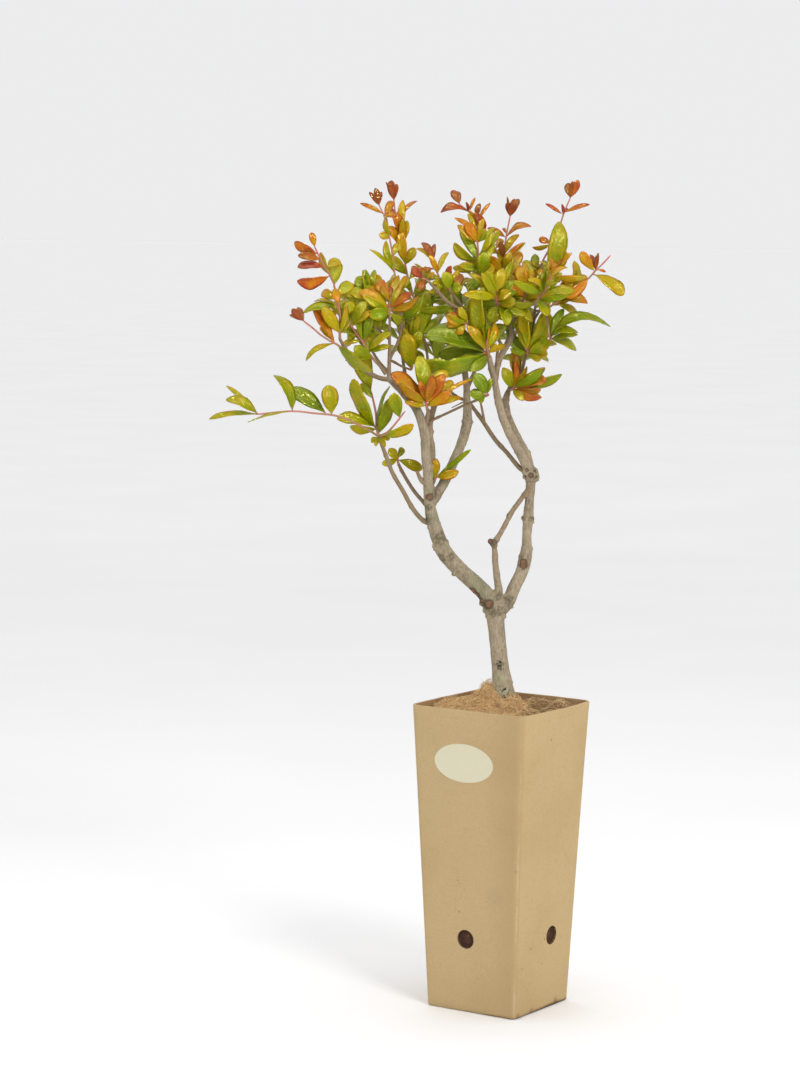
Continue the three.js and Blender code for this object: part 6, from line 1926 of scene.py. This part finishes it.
@dataclass
class Wood:
    """Trunk, limbs and twigs under bark, in millimetres."""

    voxel: float = 0.8
    limb_sides: int = 22
    twig_sides: int = 12
    twig_waviness: float = 0.5
    step: float = 2.2
    joint_gap: float = 26
    joint_swell: float = 0.16
    joint_reach: float = 1.8
    bud: float = 2.1
    grain_depth: float = 0.204
    lump_depth: float = 0.5

    def __post_init__(self) -> None:
        """Reads the limbs and twigs."""
        wood = LIMBS | TWIGS
        self.thick = [Route(wood[name]) for name in THICK_LIMBS]
        self.thin = [Route(rows) for name, rows in wood.items() if name not in THICK_LIMBS]

    def joints(self, route: Route, draw: Iterator[float]) -> list[float]:
        """Where along a route the leaves once stood, as shares."""
        count = max(int(route.length() / self.joint_gap), 1)
        return [(i + 0.35 + 0.4 * next(draw)) / count for i in range(count)]

    def wires(self, name: str, routes: Sequence[Route], swollen: bool) -> Body:
        """Lays the routes out as wires whose points carry the wood's thickness.

        Args:
            name: The object's name.
            routes: The routes.
            swollen: Whether the wood swells at its joints.

        Returns:
            The object.
        """
        draw = draws_from(17)
        points, edges, radii = [], [], []
        for route in routes:
            rows, length = route.samples(self.step), route.length()
            for share in self.joints(route, draw) if swollen else []:
                off = (np.linspace(0, 1, len(rows)) - share) * length
                rows[:, 3] *= 1 + self.joint_swell * np.exp(-((off / self.joint_reach) ** 2))
            edges += [(i, i + 1) for i in range(len(points), len(points) + len(rows) - 1)]
            points += list(placed(rows[:, :3]))
            radii += list(rows[:, 3] * MM)
        wires = new_object(name, points, edges=edges)
        mark(wires.data, "thickness", np.array(radii))
        return wires

    def knots(self) -> Body:
        """Knots and old leaf joints that swell the thick limbs.

        Returns:
            The object, of loose lumps.
        """
        ball = rounded_lump("knot_pattern", (2, 2, 2), 0.25)
        shape, turns = read(ball.data, "co"), [tuple(p.vertices) for p in ball.data.polygons]
        bpy.data.objects.remove(ball)
        spots = [(np.array(row[:3]), row[3]) for row in KNOBS + LUMPS]
        draw = draws_from(29)
        for route in self.thick:
            for share in self.joints(route, draw):
                here, angle = route.at(share), 2 * math.pi * next(draw)
                for half in (0, math.pi):
                    out = square_to(route.tangent(share, 0.02), angle + half)
                    size = 0.9 + 0.22 * here[3] + 0.5 * next(draw)
                    spots.append((here[:3] + out * (here[3] - 0.35 * size), size))
        points, faces = [], []
        for centre, radius in spots:
            faces += [tuple(i + len(points) for i in turn) for turn in turns]
            points += list(placed(centre + shape * radius))
        return new_object("knots", points, faces)

    def marked(self, mesh: bpy.types.Mesh) -> dict[str, np.ndarray]:
        """Stores on a mesh how scarred, stained and lichened each of its points is.

        Args:
            mesh: The mesh.

        Returns:
            The stored masks by name.
        """
        masks, places = {}, read(mesh, "co")
        for name, rows in BARK_MARKS.items():
            near = [np.clip(1.6 - 1.3 * how_far(places, row), 0, 1) for row in rows]
            masks[name] = np.max(near, axis=0)
            mark(mesh, name, masks[name])
        return masks

    def limbs(self, bark: Material, growth: Growth) -> Body:
        """The trunk and thick limbs, fused and weathered.

        Args:
            bark: Their finish.
            growth: What makes round wood of wires.

        Returns:
            The object.
        """
        fused = growth.run(self.wires("bark_limbs", self.thick, False), Sides=self.limb_sides, Waviness=0.0,
                           Material=bark)
        both = [fused, self.knots()]
        with bpy.context.temp_override(active_object=fused, object=fused, selected_objects=both,
                                       selected_editable_objects=both):
            bpy.ops.object.join()
        fused.data.attributes.remove(fused.data.attributes["thickness"])
        remesh = fused.modifiers.new("fuse", "REMESH")
        remesh.mode, remesh.voxel_size = "VOXEL", self.voxel * MM
        soften = fused.modifiers.new("soften", "SMOOTH")
        soften.factor, soften.iterations = 0.5, 5
        settled(fused)
        self.weather(fused.data)
        finish(fused, bark)
        return fused

    def weather(self, mesh: bpy.types.Mesh) -> None:
        """Roughens the fused wood, sinks its scars and stores its thickness.

        Args:
            mesh: The wood's mesh.
        """
        places = read(mesh, "co")
        rows = np.concatenate([route.samples(self.step) for route in self.thick])
        tree = kdtree.KDTree(len(rows))
        for i, point in enumerate(placed(rows[:, :3])):
            tree.insert(point, i)
        tree.balance()
        nearest = np.array([tree.find(point)[1] for point in places])
        mark(mesh, "thickness", rows[nearest, 3] * MM)
        masks = self.marked(mesh)
        push = np.empty(len(places))
        for i, (x, y, z) in enumerate(places / MM):
            ridges = noise.fractal(Vector((x * 0.55, y * 0.55, z * 0.16)), 0.7, 2.0, 3)
            lumps = noise.noise(Vector((x * 0.16, y * 0.16, z * 0.11 + 7)))
            push[i] = self.grain_depth * ridges + self.lump_depth * lumps
        scars = np.zeros(len(places))
        for row in BARK_MARKS["scar"]:
            off = how_far(places, row)
            scars += row[4] * (0.7 * np.exp(-((off - 0.95) * 3.2) ** 2) - np.exp(-((off * 1.7) ** 2)))
        push += scars + 0.5 * masks["moss"] * np.abs(push)
        moved = places + read(mesh, "normal") * (push * MM)[:, None]
        mesh.vertices.foreach_set("co", moved.ravel())
        mesh.update()

    def buds(self) -> Body:
        """Small buds in pairs along the twigs.

        Returns:
            The object.
        """
        draw = draws_from(17)
        places, headings, sizes = [], [], []
        for route in self.thin:
            for index, share in enumerate(self.joints(route, draw)):
                tangent, radius = route.tangent(share, 0.03), route.radius(share)
                for half in (0, math.pi):
                    out = square_to(tangent, index * math.pi / 2 + 0.6 + half)
                    places.append(route.point(share) + out * radius * 0.85)
                    headings.append(unit(out + tangent * 0.9))
                    sizes.append(self.bud * MM * (0.45 + 0.28 * radius))
        buds = new_object("buds", placed(np.array(places)))
        mark(buds.data, "heading", turned(np.array(headings)))
        mark(buds.data, "size", np.array(sizes))
        pattern = rounded_lump("bud_pattern", (0.7, 0.7, 1.3), 0.2)
        bud_growth().run(buds, Bud=pattern, Material=BudFinish().material())
        bpy.data.objects.remove(pattern)
        return buds

    def build(self) -> None:
        """Builds the wood in place of its solid."""
        bark, growth = BarkFinish().material(), wood_growth()
        hand_over(self.limbs(bark, growth), "bark", "trunk")
        twigs = growth.run(self.wires("bark_twigs", self.thin, True), Sides=self.twig_sides,
                           Waviness=self.twig_waviness * MM, Material=bark)
        self.marked(twigs.data)
        hand_over(twigs, "bark", "trunk")
        hand_over(self.buds(), "bark")


@dataclass
class Leaf:
    """One leaf: where it grows from and to, in millimetres and the tree's own directions."""

    root: np.ndarray
    tip: np.ndarray
    face: np.ndarray
    width: float
    arch: float
    age: float
    sunk: float

    def measured(self, draw: Iterator[float]) -> dict[str, object]:
        """What the leaf's point carries, in metres, with what makes each leaf a little different.

        Args:
            draw: The draws.

        Returns:
            The numbers and vectors by name.
        """
        root, tip = placed(self.root), placed(self.tip)
        length = float(np.linalg.norm(tip - root))
        narrow = held((0.46 - self.width * MM / length) / 0.2)
        return {"is_leaf": 1, "root": root, "forward": (tip - root) / length, "face": turned(self.face),
                "length": length, "width": self.width * MM, "sunk": self.sunk * MM, "arch": self.arch,
                "age": self.age, "slender": narrow * (0.55 + 0.45 * next(draw)),
                "fold": 0.05 + 0.6 * next(draw), "phase": 6.3 * next(draw), "curl": 1.2 * next(draw) - 0.2,
                "twist": 1.5 * (next(draw) - 0.5), "tone": next(draw)}


@dataclass
class Foliage:
    """All leafy sprays, in millimetres. A leaf on a listed place follows its row, the others a rule."""

    root_share: float = 0.4
    last_root: float = 0.8
    twig_gap: float = 0.35
    usual_arch: float = 0.06
    rule_radii: Row = (1.2, 0.8)
    stem_step: float = 2.5
    inside: float = 1.2
    filler_length: float = 36

    def shoot(self, route: Sequence[Row], radii: Row, first: bool) -> Route:
        """A shoot's route.

        Args:
            route: Its points.
            radii: Its radii at foot and tip.
            first: Whether it is the first of its spray, which starts just past the wood that carries it.

        Returns:
            The route with its radii.
        """
        places = np.array(route, float)
        if first:
            places[0] += unit(places[1] - places[0]) * self.twig_gap
        return Route(np.column_stack([places, np.linspace(*radii, len(places))]))

    def grown(self, shoot: Route, along: float, tip: np.ndarray, width: float, face: np.ndarray, arch: float,
              age: float) -> Leaf:
        """A leaf whose root sits in its shoot."""
        root = shoot.point(min(along, 1 - self.last_root / shoot.length()))
        return Leaf(root, tip, face, width, arch, age, self.root_share * shoot.radius(along))

    def shown(self, shoot: Route, row: Row) -> Leaf:
        """A leaf on its listed place. Its face looks at the viewer, and a positive turn lifts it.

        Args:
            shoot: The shoot that carries it.
            row: Its row.

        Returns:
            The leaf.
        """
        along, x, y, z, width, turn, age, *arch = row
        tip = np.array([x, y, z], float)
        forward = unit(tip - shoot.point(along))
        face = unit(VIEWER - VIEWER.dot(forward) * forward)
        sideways = np.cross(forward, face)
        roll = math.radians(turn) * (1 if sideways[2] >= 0 else -1)
        face = face * math.cos(roll) + sideways * math.sin(roll)
        return self.grown(shoot, along, tip, width, face, arch[0] if arch else self.usual_arch, age)

    def by_rule(self, shoot: Route, pairs: int, length: float, age: float, seed: int,
                bare: Sequence[int]) -> list[Leaf]:
        """Opposite pairs, each turned a quarter from the last, that lean less towards the tip.

        Args:
            shoot: The shoot that carries them.
            pairs: How many pairs, without the small one at the tip.
            length: The leaves' usual length.
            age: Their usual age.
            seed: Where the draws start.
            bare: Places that carry no leaf.

        Returns:
            The leaves.
        """
        draw = draws_from(seed)
        stands = []
        for pair in range(pairs):
            along = 0.1 + 0.82 * pair / (pairs - 1)
            tangent, tint = shoot.tangent(along, 0.02), age + 0.22 * (along - 0.5)
            roll = 90 * pair + 40 * (next(draw) - 0.5) + 30
            for half in (0, 180):
                azimuth = math.radians(roll + half + 24 * (next(draw) - 0.5))
                lean = math.radians(64 - 22 * along + 20 * (next(draw) - 0.5))
                reach = length * (0.72 + 0.45 * next(draw)) * (1 - 0.25 * along)
                share, arch = 0.36 + 0.1 * next(draw), 0.03 + 0.1 * next(draw)
                stands.append((along, tangent, azimuth, lean, reach, share, arch, tint))
        for half in (0, 180):
            azimuth, reach = math.radians(90 * pairs + 30 + half), length * (0.42 + 0.2 * next(draw))
            stands.append((0.97, shoot.tangent(1, 0.04), azimuth, 0.4, reach, 0.36, 0.05, age + 0.3))
        leaves = []
        for along, tangent, azimuth, lean, reach, share, arch, tint in stands:
            forward = tangent * math.cos(lean) + square_to(tangent, azimuth) * math.sin(lean)
            face = unit(tangent - forward * tangent.dot(forward))
            tip = shoot.point(along) + forward * reach
            leaves.append(self.grown(shoot, along, tip, reach * share, face, arch, held(tint)))
        return [leaf for index, leaf in enumerate(leaves) if index not in bare]

    def fuller(self, leaves: list[Leaf], share: float, seed: int) -> list[Leaf]:
        """More leaves from the same joints, fanned out beside the listed ones and behind them.

        Args:
            leaves: The spray's leaves.
            share: How many more, as a share of their number.
            seed: Where the draws start.

        Returns:
            All the leaves.
        """
        draw = draws_from(seed)
        added = []
        for index in range(round(len(leaves) * share)):
            model = leaves[index % len(leaves)]
            x, y, z = model.tip - model.root
            fan = (0.25 + 0.7 * next(draw)) * (1 if next(draw) < 0.5 else -1)
            cos, sin = math.cos(fan), math.sin(fan)
            way = np.array([x * cos - z * sin, y, x * sin + z * cos])
            reach = np.linalg.norm(way)
            way = unit(way + AWAY * reach * (0.8 * next(draw) - 0.15) + (0, 0, 0.3 * reach))
            length = (0.6 * self.filler_length + 0.4 * reach) * (0.62 + 0.6 * next(draw))
            side = unit(np.cross(way, VIEWER))
            face = np.cross(side, way) * (1 if np.cross(side, way)[1] < 0 else -1)
            lift = 1.2 * (next(draw) - 0.5)
            face = unit(face * math.cos(lift) + side * math.sin(lift))
            width = length * (0.21 + 0.12 * next(draw))
            age = held(model.age + 0.3 * (next(draw) - 0.6), 0.15, 0.58)
            tip, arch = model.root + way * length, 0.02 + 0.12 * next(draw)
            added.append(Leaf(model.root, tip, face, width, arch, age, model.sunk))
        return leaves + added

    def stem(self, shoot: Route, first: bool) -> np.ndarray:
        """A shoot's rows for its stem.

        Args:
            shoot: The shoot.
            first: Whether it is the first of its spray, whose foot is set into the wood.

        Returns:
            Rows of x, y, z and radius.
        """
        rows = shoot.samples(self.stem_step)
        if first:
            back = unit(rows[0, :3] - rows[1, :3])
            rows = np.vstack([np.append(rows[0, :3] + back * self.inside, rows[0, 3]), rows])
        rows[-1, 3] *= 0.6
        return rows

    def laid_out(self, name: str, leaves: list[Leaf], shoots: list[Route]) -> Body:
        """A spray's wires, and a point for each leaf, with all that its growing needs.

        Args:
            name: The object's name.
            leaves: Its leaves.
            shoots: Its shoots.

        Returns:
            The object.
        """
        draw = draws_from(sum(ord(letter) * (place + 3) for place, letter in enumerate(name)))
        points, edges, radii, youth = [], [], [], []
        for index, shoot in enumerate(shoots):
            rows = self.stem(shoot, index == 0)
            edges += [(i, i + 1) for i in range(len(points), len(points) + len(rows) - 1)]
            points += list(placed(rows[:, :3]))
            radii += list(rows[:, 3] * MM)
            youth += list(np.linspace(0, 1, len(rows)))
        wood, carried = len(points), [leaf.measured(draw) for leaf in leaves]
        spray = new_object(name, points + [given["root"] for given in carried], edges=edges)
        mark(spray.data, "thickness", np.array(radii + [0] * len(leaves)))
        mark(spray.data, "youth", np.array(youth + [0] * len(leaves)))
        for key in carried[0]:
            values = np.array([given[key] for given in carried], float)
            mark(spray.data, key, np.concatenate([np.zeros((wood, *values.shape[1:])), values]))
        return spray

    @staticmethod
    def tidy(spray: Body) -> None:
        """Takes off the numbers that only the growing needed.

        Args:
            spray: The spray.
        """
        kept = {"age", "tone", "youth", "blade_u", "blade_v", "blade_side", "sharp_face", "sharp_edge",
                "material_index"}
        layers = spray.data.attributes
        for name in [a.name for a in layers if not (a.is_internal or a.is_required) and a.name not in kept]:
            layers.remove(layers[name])

    def pattern(self) -> Body:
        """A flat closed blade whose points say where on a leaf they are, along, across and on which side.

        Returns:
            The object.
        """
        ring = [(-1.0, 0), (-0.55, 1), (0.0, 1), (0.55, 1), (1.0, 0), (0.55, -1), (0.0, -1), (-0.55, -1)]
        size, marks = len(ring), [(u, v, side, *shares) for u, *shares in BLADE_STATIONS for v, side in ring]
        last = len(marks) - size
        faces = [face for start in range(0, last, size) for face in band(start, start + size, size, True)]
        faces += [tuple(range(size)), tuple(reversed(range(last, last + size)))]
        blade = new_object("blade_pattern", [(u, v, side * 0.01) for u, v, side, *_ in marks], faces)
        keys = ("blade_u", "blade_v", "blade_side", "share_broad", "share_slender")
        for key, values in zip(keys, np.array(marks).T):
            mark(blade.data, key, values)
        return blade

    def sprays(self) -> Iterator[tuple[str, list[Leaf], list[Route]]]:
        """Every spray in turn.

        Yields:
            Its name, its leaves without the fuller ones, and its shoots.
        """
        by_name: dict[str, list] = {}
        for name, radii, route, rows in SHOOTS:
            first = name not in by_name
            by_name.setdefault(name, []).append((self.shoot(route, radii, first), rows))
        for name, given in by_name.items():
            leaves = [self.shown(shoot, row) for shoot, rows in given for row in rows]
            yield name, leaves, [shoot for shoot, _ in given]
        for name, (route, *rule) in RULE_SPRAYS.items():
            shoot = self.shoot(route, self.rule_radii, True)
            yield name, self.by_rule(shoot, *rule), [shoot]

    def build(self) -> None:
        """Builds every spray in place of its solid."""
        growth, pattern, stem_finish = spray_growth(), self.pattern(), StemFinish().material()
        finishes = {hue: LeafFinish(hue).material() for hue in LeafHue}
        hues = {name: hue for hue, names in SPRAY_HUES.items() for name in names}
        shares = {"spray_" + name: share for share, names in FULLER.items() for name in names}
        for name, leaves, shoots in self.sprays():
            leaves = self.fuller(leaves, shares.get(name, 0), len(leaves) + len(name))
            spray = self.laid_out("leaves_" + name.removeprefix("spray_"), leaves, shoots)
            hue = hues.get(name, LeafHue.YELLOW_GREEN)
            growth.run(spray, Blade=pattern, Leaf_finish=finishes[hue], Stem_finish=stem_finish)
            self.tidy(spray)
            hand_over(spray, hue.value, name)
        bpy.data.objects.remove(pattern)


@dataclass
class Studio:
    """Pale floor, soft light and the camera, in metres."""

    lens: float = 102.845
    sensor: float = 36
    far_end: float = 200
    camera_place: Row = (1.5897, -2.5616, 0.7717)
    camera_right: Row = (0.83055, 0.55685, 0.01006)
    camera_up: Row = (-0.06317, 0.07625, 0.99509)
    camera_back: Row = (0.55334, -0.82711, 0.0985)
    floor_reach: float = 150
    floor_level: float = -0.0003
    floor_fade: float = 6
    floor_lift: float = 0.0724
    backdrop: float = 0.85
    middle: Row = (0.0, 0.0, 0.5)
    lights: tuple[tuple[str, Row, float, float, Row], ...] = (
        ("key", (2.3, -1.2, 2.2), 0.9, 38, (1.0, 0.985, 0.96)),
        ("fill", (-1.7, -2.3, 1.7), 1.4, 4, (0.99, 0.99, 1.0)),
        ("top", (-0.3, 0.2, 2.6), 0.9, 10, EVEN),
    )
    sparks: tuple[Row, ...] = ((1.9, -2.0, 2.4), (0.4, -2.6, 1.7), (2.7, -1.3, 1.2), (1.2, -1.6, 3.0),
                               (-0.4, -1.9, 2.6))
    spark_size: float = 0.17
    spark_power: float = 50

    def floor(self) -> None:
        """A plain pale floor just under the pot."""
        corners = [(x * self.floor_reach, y * self.floor_reach, self.floor_level)
                   for x, y in ((-1, -1), (1, -1), (1, 1), (-1, 1))]
        ground = new_object("studio_floor", corners, [(0, 1, 2, 3)])
        shader = Shader("floor", 0.8, 0.1)
        pale = shader.ramp(shader.cloudy(2, 2), 0.3, 0.7, 0.9, 0.92)
        shader.colour = shader.put("ShaderNodeCombineColor", {0: pale, 1: pale, 2: pale})
        far = shader.ramp(shader.vector("LENGTH", shader.place), 1.5, self.floor_fade, 0, self.floor_lift)
        shader.feed(shader.surface["Emission Color"], (1.0, 1.0, 1.0, 1.0))
        shader.feed(shader.surface["Emission Strength"], far)
        ground.data.materials.append(shader.done())

    def stood(self, name: str, data: bpy.types.ID, place: Row) -> Body:
        """Stands a light or the camera in the scene.

        Args:
            name: Its name.
            data: What it is.
            place: Where it stands.

        Returns:
            The object, to be turned by a quaternion.
        """
        made = bpy.data.objects.new(name, data)
        made.location, made.rotation_mode = place, "QUATERNION"
        bpy.context.scene.collection.objects.link(made)
        return made

    def light(self, name: str, place: Row, size: float, power: float, colour: Row) -> Body:
        """A square soft light that looks at the tree's middle.

        Args:
            name: Its name.
            place: Where it stands.
            size: Its side.
            power: Its power in watts.
            colour: Its colour.

        Returns:
            The light.
        """
        lamp = bpy.data.lights.new(name, "AREA")
        lamp.shape, lamp.size, lamp.energy, lamp.color = "SQUARE", size, power, colour
        made = self.stood(name, lamp, place)
        made.rotation_quaternion = (Vector(self.middle) - Vector(place)).to_track_quat("-Z", "Y")
        return made

    def camera(self) -> None:
        """The camera at the viewing angle."""
        data = bpy.data.cameras.new("camera")
        data.sensor_fit, data.sensor_width, data.lens = "AUTO", self.sensor, self.lens
        data.clip_end = self.far_end
        made = self.stood("camera", data, self.camera_place)
        axes = Matrix([self.camera_right, self.camera_up, self.camera_back])
        made.rotation_quaternion = axes.transposed().to_quaternion()
        bpy.context.scene.camera = made

    def build(self) -> None:
        """Builds floor, lights and camera."""
        self.floor()
        for light in self.lights:
            self.light(*light)
        for index, place in enumerate(self.sparks):
            spark = self.light(f"spark_{index}", place, self.spark_size, self.spark_power, EVEN)
            spark.visible_diffuse = False
        world = bpy.data.worlds.new("studio")
        world.use_nodes = True
        colour, strength = world.node_tree.nodes["Background"].inputs[:2]
        colour.default_value, strength.default_value = (0.99, 0.99, 1.0, 1.0), self.backdrop
        bpy.context.scene.world = world
        bpy.context.scene.view_settings.view_transform = "Standard"
        self.camera()


def main() -> None:
    """Builds the bonsai piece by piece and keeps its sizes."""
    logging.basicConfig(level=logging.INFO, format="%(message)s")
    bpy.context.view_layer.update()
    pot = Pot()
    pot.build()
    Label().build(pot)
    Soil().build(pot)
    Coir().build()
    Wood().build()
    Foliage().build()
    Studio().build()
    bpy.context.view_layer.update()


if __name__ == "__main__":
    main()
